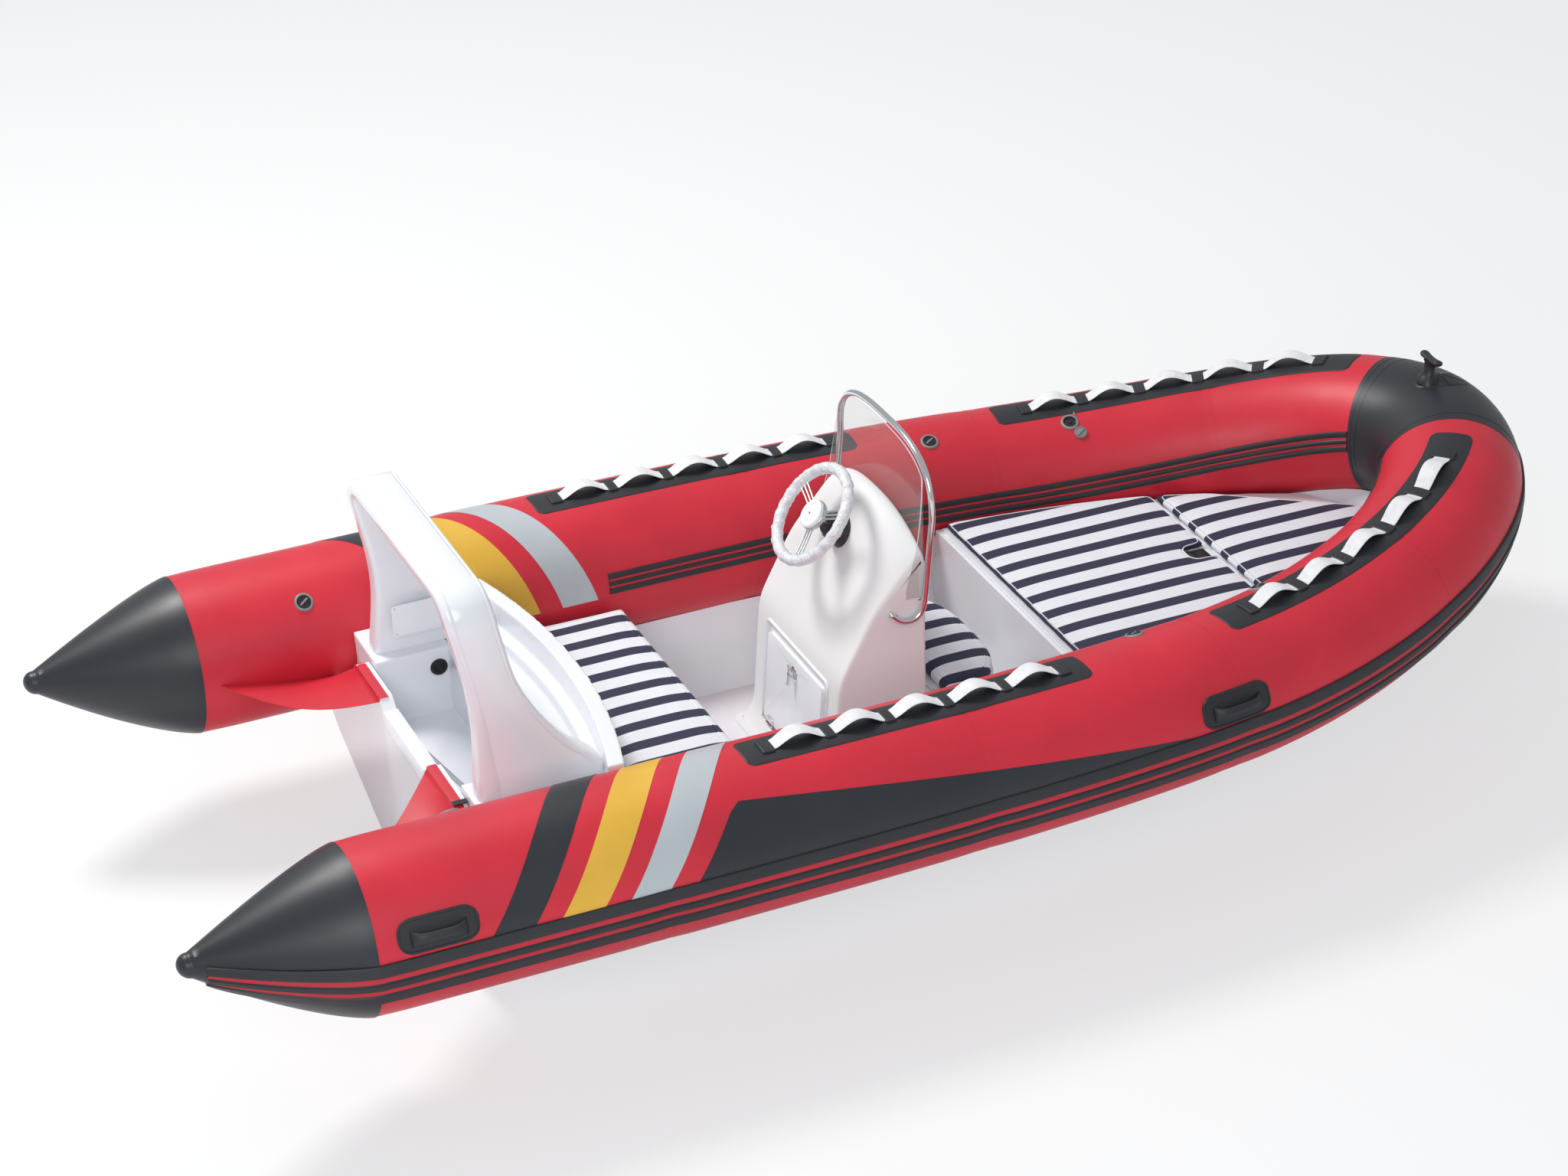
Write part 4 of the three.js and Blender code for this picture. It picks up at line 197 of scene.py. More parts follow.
def skin(mile, angle, lift=0.0):
    """Points on the tubes' skin, lifted off it, in the boat's frame."""
    mile, angle, lift = np.broadcast_arrays(np.asarray(mile, float), np.asarray(angle, float), lift)
    centre, outboard, up, radius = hoop_stations(mile)
    reach = (radius + lift)[..., None]
    turn = np.radians(angle)[..., None]
    return centre + reach * (np.cos(turn) * outboard + np.sin(turn) * up) + [-TIP_TO_ORIGIN, 0, AXIS_HEIGHT]


def sided(mile, side):
    """The same distance on the other side of the boat."""
    return mile if side > 0 else HOOP_LENGTH - np.asarray(mile, float)


def deck_point(x, y, z):
    """A place given from the cones' tips, the centreline and the tubes' axis."""
    return Vector((x - TIP_TO_ORIGIN, y, z + AXIS_HEIGHT))


print("the hoop is", round(HOOP_LENGTH, 3), "m long")

# %% [markdown]
# ## Making surfaces
# Nearly every piece here is a surface with rows and columns: a tube is rings, a strake is a
# profile carried along, a patch is a rectangle wrapped on the skin. One helper turns such a grid
# of points into a mesh, and others close its ends, thicken it or name the body that it rides on.

# %% Helpers that turn grids of points into pieces
def finished(mesh_object, material, body="boat", slot=None, smooth=40):
    """Gives a piece its material, its body and its smooth shading. The slot argument is not used."""
    for each in material if isinstance(material, (list, tuple)) else [material]:
        mesh_object.data.materials.append(each)
    mesh_object.data.shade_smooth()
    if smooth < 180:
        mesh_object.data.set_sharp_from_angle(angle=math.radians(smooth))
    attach(mesh_object, body)
    return mesh_object


def mesh_piece(name, vertices, faces):
    mesh = bpy.data.meshes.new(name)
    mesh.from_pydata([tuple(map(float, v)) for v in vertices], [], [tuple(map(int, f)) for f in faces])
    mesh.validate()
    shape = bmesh.new()
    shape.from_mesh(mesh)
    bmesh.ops.recalc_face_normals(shape, faces=shape.faces)
    shape.to_mesh(mesh)
    shape.free()
    return in_scene(name, mesh)


def grid_faces(rows, columns, around=False, along=False, start=0):
    """Quads between rows of points. around joins the last column to the first, along the rows."""
    faces = []
    for i in range(rows if along else rows - 1):
        for j in range(columns if around else columns - 1):
            a, b = i * columns, (i + 1) % rows * columns
            k = (j + 1) % columns
            faces.append([start + a + j, start + b + j, start + b + k, start + a + k])
    return faces


def loft_piece(name, rings, along=False, flat_ends=False):
    """A body through rings of points of equal count. flat_ends closes it with rungs across."""
    rings = np.asarray(rings, float)
    rows, columns = rings.shape[:2]
    vertices = list(rings.reshape(-1, 3))
    faces = grid_faces(rows, columns, around=True, along=along)
    if flat_ends:
        for first in (0, (rows - 1) * columns):
            last = first + columns - 1
            faces += [[first + j, first + j + 1, last - j - 1, last - j] for j in range(columns // 2 - 1)]
    elif not along:
        for row in (0, rows - 1):
            middle = len(vertices)
            vertices.append(rings[row].mean(0))
            at = row * columns
            faces += [[at + j, at + (j + 1) % columns, middle] for j in range(columns)]
    return mesh_piece(name, vertices, faces)


def sheet_piece(name, top, under):
    """A closed sheet between two grids of points."""
    top, under = np.asarray(top, float), np.asarray(under, float)
    rows, columns = top.shape[:2]
    count = rows * columns
    faces = grid_faces(rows, columns) + grid_faces(rows, columns, start=count)
    rim = list(range(columns)) + [i * columns + columns - 1 for i in range(1, rows)]
    rim += [count - 1 - j for j in range(1, columns)] + [i * columns for i in range(rows - 2, 0, -1)]
    faces += [[a, b, b + count, a + count] for a, b in zip(rim, rim[1:] + rim[:1])]
    return mesh_piece(name, [*top.reshape(-1, 3), *under.reshape(-1, 3)], faces)


def rounded(mesh_object, width, angle=35):
    """Softens the edges of a piece that are sharper than an angle."""
    bevel = mesh_object.modifiers.new("edges", "BEVEL")
    bevel.width, bevel.segments = width, 2
    bevel.limit_method, bevel.angle_limit = "ANGLE", math.radians(angle)
    bevel.use_clamp_overlap = True
    return mesh_object


def round_turns(count):
    """Angles at an even step, once round."""
    return [2 * math.pi * k / count for k in range(count)]


def swept(name, points, radius, sides=16, closed=False):
    """A round bar along a line of points, turned with as little twist as the line allows."""
    points = [Vector(p) for p in points]
    count = len(points)
    rings, side = [], None
    for i, p in enumerate(points):
        ahead = points[(i + 1) % count] if closed or i < count - 1 else p
        behind = points[i - 1] if closed or i > 0 else p
        along = (ahead - behind).normalized()
        if side is None:
            side = along.orthogonal().normalized()
        side = (side - along * side.dot(along)).normalized()
        up = along.cross(side)
        reach = radius[i] if hasattr(radius, "__len__") else radius
        rings.append([p + (side * math.cos(t) + up * math.sin(t)) * reach for t in round_turns(sides)])
    return loft_piece(name, rings, along=closed)


def smooth_line(points, per_span=6):
    """A smooth curve through points."""
    points = [Vector(p) for p in points]
    line = []
    for i, (b, c) in enumerate(zip(points, points[1:])):
        a = points[i - 1] if i > 0 else b * 2 - c
        d = points[i + 2] if i + 2 < len(points) else c * 2 - b
        for step in range(per_span):
            t = step / per_span
            curve = 2 * b + (c - a) * t + (2 * a - 5 * b + 4 * c - d) * t * t
            line.append(0.5 * (curve + (3 * b - a - 3 * c + d) * t**3))
    return line + [points[-1]]


# %% [markdown]
# ## Finishes
# Each material is a small group of nodes on one shader. Noise breaks up the colour and the gloss
# a little, because no coated fabric or moulding is even, and a fine bump gives the weave, the
# grain or the slight ripple of gelcoat at its real scale. The colour itself stays close to what
# the photograph shows under plain light.

# %% Helpers for materials
def shader(name, color, roughness, **sockets):
    """A material, its node tree and its shader, with plain numbers set on the shader's sockets."""
    material = bpy.data.materials.new(name)
    material.use_nodes = True
    tree = material.node_tree
    surface = tree.nodes["Principled BSDF"]
    surface.inputs["Base Color"].default_value = (*color, 1)
    surface.inputs["Roughness"].default_value = roughness
    for socket, value in sockets.items():
        surface.inputs[socket.replace("_", " ")].default_value = value
    return material, tree, surface


def own_place(tree):
    """The shaded point's place in the piece's own frame, in metres."""
    return tree.nodes.new("ShaderNodeTexCoord").outputs["Object"]


def math_node(tree, operation, *values):
    """A sum on fields and plain numbers."""
    node = tree.nodes.new("ShaderNodeMath")
    node.operation = operation
    for socket, value in zip(node.inputs, values):
        if isinstance(value, float):
            socket.default_value = value
        else:
            tree.links.new(value, socket)
    return node.outputs["Value"]


def noise_field(tree, scale, detail=4, roughness=0.55, stretch=None):
    source = own_place(tree)
    field = tree.nodes.new("ShaderNodeTexNoise")
    field.inputs["Scale"].default_value = scale
    field.inputs["Detail"].default_value = detail
    field.inputs["Roughness"].default_value = roughness
    if stretch:
        mapping = tree.nodes.new("ShaderNodeMapping")
        mapping.inputs["Scale"].default_value = stretch
        tree.links.new(source, mapping.inputs["Vector"])
        source = mapping.outputs["Vector"]
    tree.links.new(source, field.inputs["Vector"])
    return field.outputs["Fac"]


NOISE_RANGE = (0.3, 0.7)  # noise seldom leaves it


def vary_color(tree, surface, field, dark, light):
    """Lets a field move the base colour between two tones."""
    ramp = tree.nodes.new("ShaderNodeValToRGB")
    for stop, position, color in zip(ramp.color_ramp.elements, NOISE_RANGE, (dark, light)):
        stop.position, stop.color = position, (*color, 1)
    tree.links.new(field, ramp.inputs["Fac"])
    tree.links.new(ramp.outputs["Color"], surface.inputs["Base Color"])


def vary_roughness(tree, surface, field, low, high):
    spread = tree.nodes.new("ShaderNodeMapRange")
    spread.inputs["To Min"].default_value, spread.inputs["To Max"].default_value = low, high
    tree.links.new(field, spread.inputs["Value"])
    tree.links.new(spread.outputs["Result"], surface.inputs["Roughness"])


def bumped(tree, surface, fields):
    """Stacks bumps, each a field with its strength and its height in metres."""
    normal = None
    for field, strength, distance in fields:
        bump = tree.nodes.new("ShaderNodeBump")
        bump.inputs["Strength"].default_value = strength
        bump.inputs["Distance"].default_value = distance
        tree.links.new(field, bump.inputs["Height"])
        if normal:
            tree.links.new(normal, bump.inputs["Normal"])
        normal = bump.outputs["Normal"]
    tree.links.new(normal, surface.inputs["Normal"])


def tone(color, factor):
    return tuple(min(1, c * factor) for c in color)


def woven_field(tree, threads_per_metre):
    """Crossed waves, as warp and weft show through a coating."""
    total = None
    for direction in ("X", "Y", "Z"):
        wave = tree.nodes.new("ShaderNodeTexWave")
        wave.bands_direction = direction
        wave.inputs["Scale"].default_value = threads_per_metre / 20
        tree.links.new(own_place(tree), wave.inputs["Vector"])
        field = wave.outputs["Fac"]
        total = field if total is None else math_node(tree, "ADD", total, field)
    return total


# %% Coated fabrics of the tubes
def coated_fabric(name, color, roughness=0.42, variation=0.1):
    """Synthetic rubber on a woven cloth: satin, with a fine weave and a slow waviness."""
    material, tree, surface = shader(
        name, color, roughness, Specular_IOR_Level=0.45, Coat_Weight=0.06, Coat_Roughness=0.4
    )
    slow = noise_field(tree, 2.2, 5)
    vary_color(tree, surface, slow, tone(color, 1 - variation), tone(color, 1 + variation))
    vary_roughness(tree, surface, noise_field(tree, 9, 6), roughness - 0.05, roughness + 0.09)
    grain, weave = noise_field(tree, 900, 2, 0.7), woven_field(tree, 1400)
    bumped(tree, surface, [(slow, 0.12, 0.012), (grain, 0.09, 0.0006), (weave, 0.06, 0.0003)])
    return material


RED = (0.6, 0.018, 0.038)
BLACK = (0.019, 0.022, 0.028)
red_fabric = coated_fabric("red_coated_fabric", RED)
black_fabric = coated_fabric("black_coated_fabric", BLACK, 0.4, 0.16)
yellow_fabric = coated_fabric("yellow_coated_fabric", (0.74, 0.43, 0.045))
silver_fabric = coated_fabric("silver_coated_fabric", (0.47, 0.51, 0.54), 0.36, 0.05)
strake_rubber = coated_fabric("strake_rubber", (0.02, 0.021, 0.025), 0.5, 0.2)
strake_red = coated_fabric("strake_red_line", tone(RED, 0.85), 0.46)


def woven_webbing(name, color):
    """Flat polyester webbing: coarse ribs across, soft and matt."""
    material, tree, surface = shader(name, color, 0.8, Sheen_Weight=0.3, Sheen_Roughness=0.5)
    vary_color(tree, surface, noise_field(tree, 30, 5), tone(color, 0.88), tone(color, 1.03))
    bumped(tree, surface, [(woven_field(tree, 700), 0.5, 0.0012), (noise_field(tree, 400, 3), 0.2, 0.0008)])
    return material


white_webbing = woven_webbing("white_webbing", (0.82, 0.82, 0.84))
# navy for the straps' underside: partly its real colour, partly painted shade for the shadow under each
# loop
navy_underside_and_painted_shade = woven_webbing("navy_underside_and_painted_shade", (0.02, 0.026, 0.05))


# %% Moulded gelcoat, plastics, steel and clear sheet
def moulded_gelcoat(name, color):
    material, tree, surface = shader(name, color, 0.16, Coat_Weight=0.35, Coat_Roughness=0.06)
    slow = noise_field(tree, 3, 4)
    vary_color(tree, surface, slow, tone(color, 0.97), tone(color, 1.01))
    vary_roughness(tree, surface, noise_field(tree, 14, 6), 0.13, 0.24)
    bumped(tree, surface, [(noise_field(tree, 26, 3), 0.05, 0.002), (slow, 0.05, 0.01)])
    return material


WHITE = (0.84, 0.86, 0.9)
gelcoat = moulded_gelcoat("white_gelcoat", WHITE)


def moulded_plastic(name, color, roughness):
    material, tree, surface = shader(name, color, roughness)
    vary_color(tree, surface, noise_field(tree, 40, 5), tone(color, 0.85), tone(color, 1.15))
    vary_roughness(tree, surface, noise_field(tree, 60, 4), roughness - 0.06, roughness + 0.1)
    bumped(tree, surface, [(noise_field(tree, 1500, 2), 0.12, 0.0004)])
    return material


grey_plastic = moulded_plastic("grey_valve_plastic", (0.23, 0.24, 0.25), 0.45)
black_plastic = moulded_plastic("black_plastic", (0.018, 0.018, 0.02), 0.38)
gasket_rubber = moulded_plastic("gasket_rubber", (0.012, 0.012, 0.013), 0.7)


def polished_steel(name, color, roughness):
    material, tree, surface = shader(name, color, roughness, Metallic=1.0)
    brushed = noise_field(tree, 120, 4, stretch=(1, 1, 12))
    vary_roughness(tree, surface, brushed, roughness * 0.7, roughness * 1.8)
    bumped(tree, surface, [(noise_field(tree, 25, 3), 0.03, 0.001)])
    return material


stainless = polished_steel("polished_stainless", (0.72, 0.73, 0.75), 0.12)
brass = polished_steel("dull_brass", (0.6, 0.43, 0.16), 0.3)
brushed_silver = polished_steel("silver_hub_ring", (0.6, 0.61, 0.63), 0.26)


def clear_acrylic():
    """Faintly smoked clear sheet, bent from flat, so it is glossy and barely tinted."""
    material, tree, surface = shader(
        "smoked_clear_sheet",
        (0.42, 0.4, 0.38),
        0.03,
        Alpha=0.16,
        IOR=1.49,
        Coat_Weight=0.5,
        Coat_Roughness=0.02,
    )
    vary_roughness(tree, surface, noise_field(tree, 6, 5), 0.02, 0.08)
    return material


def polished_edge():
    """The sheet's cut edge, which gathers light and looks pale and milky."""
    material, tree, surface = shader("clear_sheet_edge", (0.62, 0.66, 0.68), 0.2, Alpha=0.8, IOR=1.49)
    vary_roughness(tree, surface, noise_field(tree, 60, 3), 0.15, 0.3)
    return material


def crumpled_film():
    """White plastic film round the wheel's rim: glossy, and creased into small flats."""
    film_white = (0.78, 0.79, 0.82)
    material, tree, surface = shader(
        "wrapping_film", film_white, 0.3, Coat_Weight=0.5, Coat_Roughness=0.15
    )
    vary_color(tree, surface, noise_field(tree, 38, 5), (0.62, 0.63, 0.67), (0.84, 0.85, 0.87))
    vary_roughness(tree, surface, noise_field(tree, 50, 4), 0.2, 0.45)
    creases, wrinkles = noise_field(tree, 55, 6, 0.65), noise_field(tree, 160, 4)
    bumped(tree, surface, [(creases, 0.6, 0.004), (wrinkles, 0.3, 0.0015)])
    return material


clear_sheet, sheet_edge, wrap_film = clear_acrylic(), polished_edge(), crumpled_film()

# %% [markdown]
# ## Tubes
# The real tubes are coated fabric, glued from panels and pumped hard, so they are smooth curves
# whose only lines are the glued seams. They are rings of points round the hoop, many more than the
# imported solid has, and a slight swelling between the seams shows that they hold air.

# %% Build the tubes, the bow section and the tail cones
TUBE_TURN = np.linspace(0, 360, 96, endpoint=False)
SEAM_MILES = [0.0, 0.94, 2.06, 3.0, 3.9, SEAM_MILE]
SWELL_HEIGHT, SWELL_REACH, SEAM_SINK = 0.0025, 0.06, 0.001


def swelling(mile):
    """How far the skin stands out between two seams, in metres."""
    near = np.minimum(mile, HOOP_LENGTH - mile)
    gaps = np.min([np.abs(near - seam) for seam in SEAM_MILES], axis=0)
    return SWELL_HEIGHT * (1 - np.exp(-((gaps / SWELL_REACH) ** 2))) - SEAM_SINK


def tube_piece(node, name, start, end, material, slot, rows):
    """A length of tube that stands for a packed one, under a name of its own."""
    miles = np.linspace(start, end, rows)[:, None]
    made = loft_piece(name, skin(miles, TUBE_TURN[None, :], swelling(miles)))
    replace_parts(made, node)
    finished(made, material, slot=slot)


far_seam = HOOP_LENGTH - SEAM_MILE
tube_piece("tube_port", "port_tube", 0, SEAM_MILE, red_fabric, "red_tube_fabric", 150)
tube_piece("tube_starboard", "starboard_tube", far_seam, HOOP_LENGTH, red_fabric, "red_tube_fabric", 150)
tube_piece("tube_bow", "bow_tube", SEAM_MILE, far_seam, black_fabric, "black_tube_fabric", 40)
# the rings crowd together where a cone's nose rounds off
cone_shares = np.concatenate([np.linspace(0, 0.9, 30), 1 - 0.1 * (1 - np.linspace(0, 0.985, 24)) ** 1.8])
for side_name, side in SIDES.items():
    past = cone_shares * CONE_LENGTH
    miles = -past if side > 0 else HOOP_LENGTH + past
    cone = loft_piece(f"{side_name}_tail_cone", skin(miles[:, None], TUBE_TURN[None, :], 0.0005))
    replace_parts(cone, f"tail_cone_{side_name}")
    finished(cone, black_fabric, slot="black_tube_fabric")

# %% [markdown]
# ## Bands and panels glued on the tubes
# The colour on the sides is cut fabric, glued on: three bands that lean forward as they pass over
# the tube, and a long dark panel that narrows to a point. Each is a real sheet about a millimetre
# thick. Paint would need the shape in a material, while a sheet carries its own outline.

# %% Wrap the coloured bands round the stern
SHEET_HEIGHT, SHEET_SINK = 0.0012, 0.0015  # above the skin, and into it
BAND_ANGLES = np.linspace(6.5, 181, 60)
BAND_SWEEP = 0.481  # how far forward a band's edge has come at the inner end
BANDS = {
    "black": (0.363, 0.501, black_fabric, "black_tube_fabric"),
    "yellow": (0.588, 0.728, yellow_fabric, None),
    "silver": (0.813, 0.945, silver_fabric, None),
}


def wrapped_sheet(name, near_miles, far_miles, angles, side, material, slot, columns=9):
    """A sheet on the skin between two edges, each given as distances at a list of angles."""
    share = np.linspace(0, 1, columns)[None, :]
    miles = near_miles[:, None] * (1 - share) + far_miles[:, None] * share
    lift = swelling(miles)
    rows = np.broadcast_to(angles[:, None], miles.shape)
    top = skin(sided(miles, side), rows, lift + SHEET_HEIGHT)
    under = skin(sided(miles, side), rows, lift - SHEET_SINK)
    finished(sheet_piece(name, top, under), material, slot=slot)


def band_edge(first):
    """Where a band's edge lies at each angle: it starts level and sweeps forward over the top."""
    u = (BAND_ANGLES - 8) / 172
    return first + BAND_SWEEP * (0.5 * u + 0.5 * np.sin(np.pi * u / 2))


for side_name, side in SIDES.items():
    for band_name, (aft, front, material, slot) in BANDS.items():
        label = f"{side_name}_{band_name}_band"
        wrapped_sheet(label, band_edge(aft), band_edge(front), BAND_ANGLES, side, material, slot)

# %% Cut the long dark panel
panel_angles = np.concatenate([np.linspace(6.5, 33, 30), np.linspace(34, 52, 20)])
panel_aft = np.interp(panel_angles, [6.5, 46, 52], [1.034, 1.18, 1.216])
panel_tip = np.interp(panel_angles, [6.5, 33, 52], [2.84, 1.885, 1.222])
for side_name, side in SIDES.items():
    label = f"{side_name}_dark_panel"
    wrapped_sheet(label, panel_aft, panel_tip, panel_angles, side, black_fabric, "black_tube_fabric", 60)

# %% [markdown]
# ## Seam tapes
# Panels of fabric meet edge to edge under a tape. The tape is the same fabric, so only its faint
# step shows, and at the black bow section two of them lie side by side.

# %% Lay the seam tapes
def seam_tape(name, mile, width, material, slot):
    profile = [(-width / 2, -0.001), (-width / 2, 0.0008), (width / 2, 0.0008), (width / 2, -0.001)]
    rings = []
    for offset, lift in profile:
        at = mile + offset
        rings.append(skin(at, TUBE_TURN, float(swelling(at)) + lift))
    finished(loft_piece(name, rings, along=True), material, slot=slot)


for side_name, side in SIDES.items():
    for number, mile in enumerate(SEAM_MILES[1:-1], 1):
        label = f"{side_name}_seam_tape_{number}"
        seam_tape(label, float(sided(mile, side)), 0.03, red_fabric, "red_tube_fabric")
    for number, offset in enumerate((0.012, 0.045), 1):
        mile = float(sided(SEAM_MILE + offset, side))
        seam_tape(f"{side_name}_bow_tape_{number}", mile, 0.022, black_fabric, "black_tube_fabric")
    cone_mile = -0.014 if side > 0 else HOOP_LENGTH + 0.014
    seam_tape(f"{side_name}_cone_tape", cone_mile, 0.024, black_fabric, "black_tube_fabric")

# %% [markdown]
# ## Rubbing strakes
# A thick extruded rubber strip runs round the outside at its widest, from cone to cone. It has
# three black ribs with two thin red lines between them. A narrower strip of the same kind runs
# along the inner sides. Both are profiles carried along the skin, and each face takes black or red
# from the part of the profile that it belongs to.

# %% Carry the strake profiles round the tubes
def strake_profile(top, bottom, height, lines, edge=0.005, groove=0.0035):
    """Girth, height and colour (1 is red) of the points of a ribbed strip with sunk lines."""
    rise = [(0, 0), (0, height * 0.55), (edge * 0.4, height * 0.88), (edge, height)]
    points = [(top - inward, level, 0) for inward, level in rise]
    brink = groove + 0.0012
    for start, width in lines:
        points += [(start + 0.003, height, 0), (start, brink, 0)]
        points += [(start - 0.0015, groove, 1), (start - width / 2, brink, 1)]
        points += [(start - width + 0.0015, groove, 1)]
        points += [(start - width, brink, 0), (start - width - 0.003, height, 0)]
    return points + [(bottom + inward, level, 0) for inward, level in reversed(rise)]


def strake_piece(name, miles, centre, points):
    girth, height, red = np.array(points).T
    radius = hoop_stations(miles)[3][:, None]
    squeeze = 0.5 + 0.5 * radius / np.maximum(radius, BOW_RADIUS)
    angles = centre + np.degrees(girth[None, :] * squeeze / radius)
    rings = skin(miles[:, None], angles, swelling(miles)[:, None] + height[None, :] - 0.002)
    made = loft_piece(name, rings)
    columns = len(points)
    for face in made.data.polygons:
        corners = [v % columns for v in face.vertices if v < len(miles) * columns]
        if len(corners) == 4 and all(red[c] for c in corners):
            face.material_index = 1
    return made


strake_miles = np.linspace(-CONE_LENGTH * 0.86, HOOP_LENGTH + CONE_LENGTH * 0.86, 420)
outer = strake_piece(
    "outer_strake",
    strake_miles,
    0,
    strake_profile(0.036, -0.117, 0.0105, [(-0.008, 0.022), (-0.055, 0.022)]),
)
finished(outer, [strake_rubber, strake_red], slot="black_rubber", smooth=50)
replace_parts(outer, "rub_strake")
for side_name, side in SIDES.items():
    ends = sorted([float(sided(1.473, side)), float(sided(SEAM_MILE - 0.002, side))])
    inner = strake_piece(
        f"{side_name}_inner_strake",
        np.linspace(*ends, 160),
        171,
        strake_profile(0.038, -0.038, 0.0075, [(0.018, 0.011), (-0.007, 0.011)], 0.003, 0.003),
    )
    finished(inner, [strake_rubber, strake_red], slot="black_rubber", smooth=50)
    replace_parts(inner, f"inner_strake_{side_name}")
print("strakes carried along", len(strake_miles), "stations")

# %% [markdown]
# ## Grab handles
# Each side has two rubber patches, and on each one strap of webbing rises in five loops. The strap
# is one long piece, white above and navy below, held down between the loops by rubber covers. The
# navy underside is partly its own colour and partly painted shade, for the shadow under each loop. A
# cloth simulation would only make it limp, and stiff webbing keeps its arch, so the arch is drawn.

# %% Patches, straps and covers
PATCH_HALF, PATCH_THICKNESS, PATCH_CORNER = 0.076, 0.0038, 0.03
COVER_LENGTH, COVER_HALF, COVER_CORNER, COVER_LOW, COVER_HIGH = 0.045, 0.038, 0.006, 0.004, 0.0112
STRAP_HALF, STRAP_TUCK, LOOP_RISE = 0.0275, 0.034, 0.035
LOOPS = 5
GRAB_RUNS = {  # start, margin, distance from loop to loop and span of a loop
    "aft": (1.296, 0.109, 0.209, 0.172),
    "forward": (3.066, 0.149, 0.229, 0.182),
}
STRAP_EDGE = np.array([-1, -0.97, -0.9, -0.5, 0, 0.5, 0.9, 0.97, 1])
STRAP_CROWN = np.array([0.4, 0.8, 1, 1, 1, 1, 1, 0.8, 0.4])


def around_skin(miles, girths, lifts, side, centre=90.0):
    """Points on the skin from distances along and across it, both in metres."""
    radius = hoop_stations(sided(miles, side))[3]
    return skin(sided(miles, side), centre + np.degrees(girths / radius), lifts)


def eased_ends(start, end, corner, count):
    """Distances from start to end, close together where the corners round off."""
    near = corner * (1 - np.cos(np.linspace(0, math.pi / 2, 9)))
    middle = np.linspace(start + corner, end - corner, count)[1:-1]
    return np.concatenate([start + near, middle, (end - near)[::-1]])


def pad_piece(name, start, end, half, corner, side, centre, low, high, count=60):
    """A black rubber pad with rounded corners and a soft edge, lying on the skin."""
    miles = eased_ends(start, end, corner, count)
    inset = np.minimum(miles - start, end - miles)
    widths = half - corner + np.sqrt(np.clip(corner**2 - np.clip(corner - inset, 0, corner) ** 2, 0, None))
    across = np.concatenate([[-1, -0.985, -0.96], np.linspace(-0.9, 0.9, 11), [0.96, 0.985, 1]])
    edge = np.interp(np.abs(across), [0, 0.96, 0.985, 1], [1, 1, 0.82, 0.35])
    ends = np.interp(inset, [0, 0.0015, 0.004], [0.35, 0.82, 1])
    lift = low + (high - low) * np.minimum(edge[None, :], ends[:, None])
    girths = widths[:, None] * across[None, :]
    grid = np.broadcast_to(miles[:, None], girths.shape)
    top = around_skin(grid, girths, lift, side, centre)
    under = around_skin(grid, girths, low - 0.003, side, centre)
    return finished(sheet_piece(name, top, under), strake_rubber, slot="black_rubber")


def strap_rise(mile, first, pitch, span):
    nearest = np.clip(np.round((mile - first - span / 2) / pitch), 0, LOOPS - 1)
    share = np.minimum(1, np.abs(mile - first - span / 2 - nearest * pitch) / (span / 2))
    return LOOP_RISE * (1 - share**2) ** 1.6


for side_name, side in SIDES.items():
    for run_name, (start, margin, pitch, span) in GRAB_RUNS.items():
        first = start + margin
        last = first + (LOOPS - 1) * pitch + span
        end = last + margin
        label = f"{side_name}_{run_name}"
        patch = pad_piece(
            f"{label}_handle_patch", start, end, PATCH_HALF, PATCH_CORNER, side, 90, 0.0, PATCH_THICKNESS
        )
        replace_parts(patch, f"grab_patch_{side_name}_{run_name}")
        gaps = [(first - COVER_LENGTH, first)]
        gaps += [(first + i * pitch + span, first + (i + 1) * pitch) for i in range(LOOPS - 1)]
        gaps.append((last, last + COVER_LENGTH))
        for number, (low, high) in enumerate(gaps, 1):
            name = f"{label}_strap_cover_{number}"
            pad_piece(name, low, high, COVER_HALF, COVER_CORNER, side, 90, COVER_LOW, COVER_HIGH, 8)
        miles = np.linspace(first - STRAP_TUCK, last + STRAP_TUCK, 320)
        rise = strap_rise(miles, first, pitch, span)[:, None]
        for layer, (low, high, half, material) in {
            "webbing": (0.0058, 0.0085, STRAP_HALF, white_webbing),
            # the navy underside layer: partly its own colour, partly painted shade under each loop
            "underside_and_painted_shade": (0.0044, 0.0056, STRAP_HALF - 0.001, navy_underside_and_painted_shade),
        }.items():
            across = STRAP_EDGE[None, :] * half
            grid = np.broadcast_to(miles[:, None], (len(miles), len(STRAP_EDGE)))
            top = around_skin(grid, across, rise + low + (high - low) * STRAP_CROWN, side)
            under = around_skin(grid, across, rise + low, side)
            strap = finished(sheet_piece(f"{label}_{layer}", top, under), material, slot="white_webbing")
            if layer == "webbing":
                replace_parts(strap, f"grab_webbing_{side_name}_{run_name}")
print("grab handles on", len(SIDES) * len(GRAB_RUNS), "patches")

# %% [markdown]
# ## Lifting handles
# Low on each side two moulded rubber handles are glued on: a rounded pad with a raised rim and a
# flattened grip that stands clear of it. The grip is a string of ellipses that swell at the ends.

# %% Mould the lifting handles
LIFT_HANDLES = {"aft": 0.195, "forward": 2.95}
LIFT_ANGLE, LIFT_HALF, LIFT_REACH, LIFT_THICKNESS = 21.0, 0.057, 0.131, 0.0055
RIM_INSET, RIM_SQUARENESS = 0.007, 0.42


def rim_reach(reach, wave):
    """How far out the raised rim lies: an oval with nearly square corners."""
    return (reach - RIM_INSET) * np.sign(wave) * np.abs(wave) ** RIM_SQUARENESS


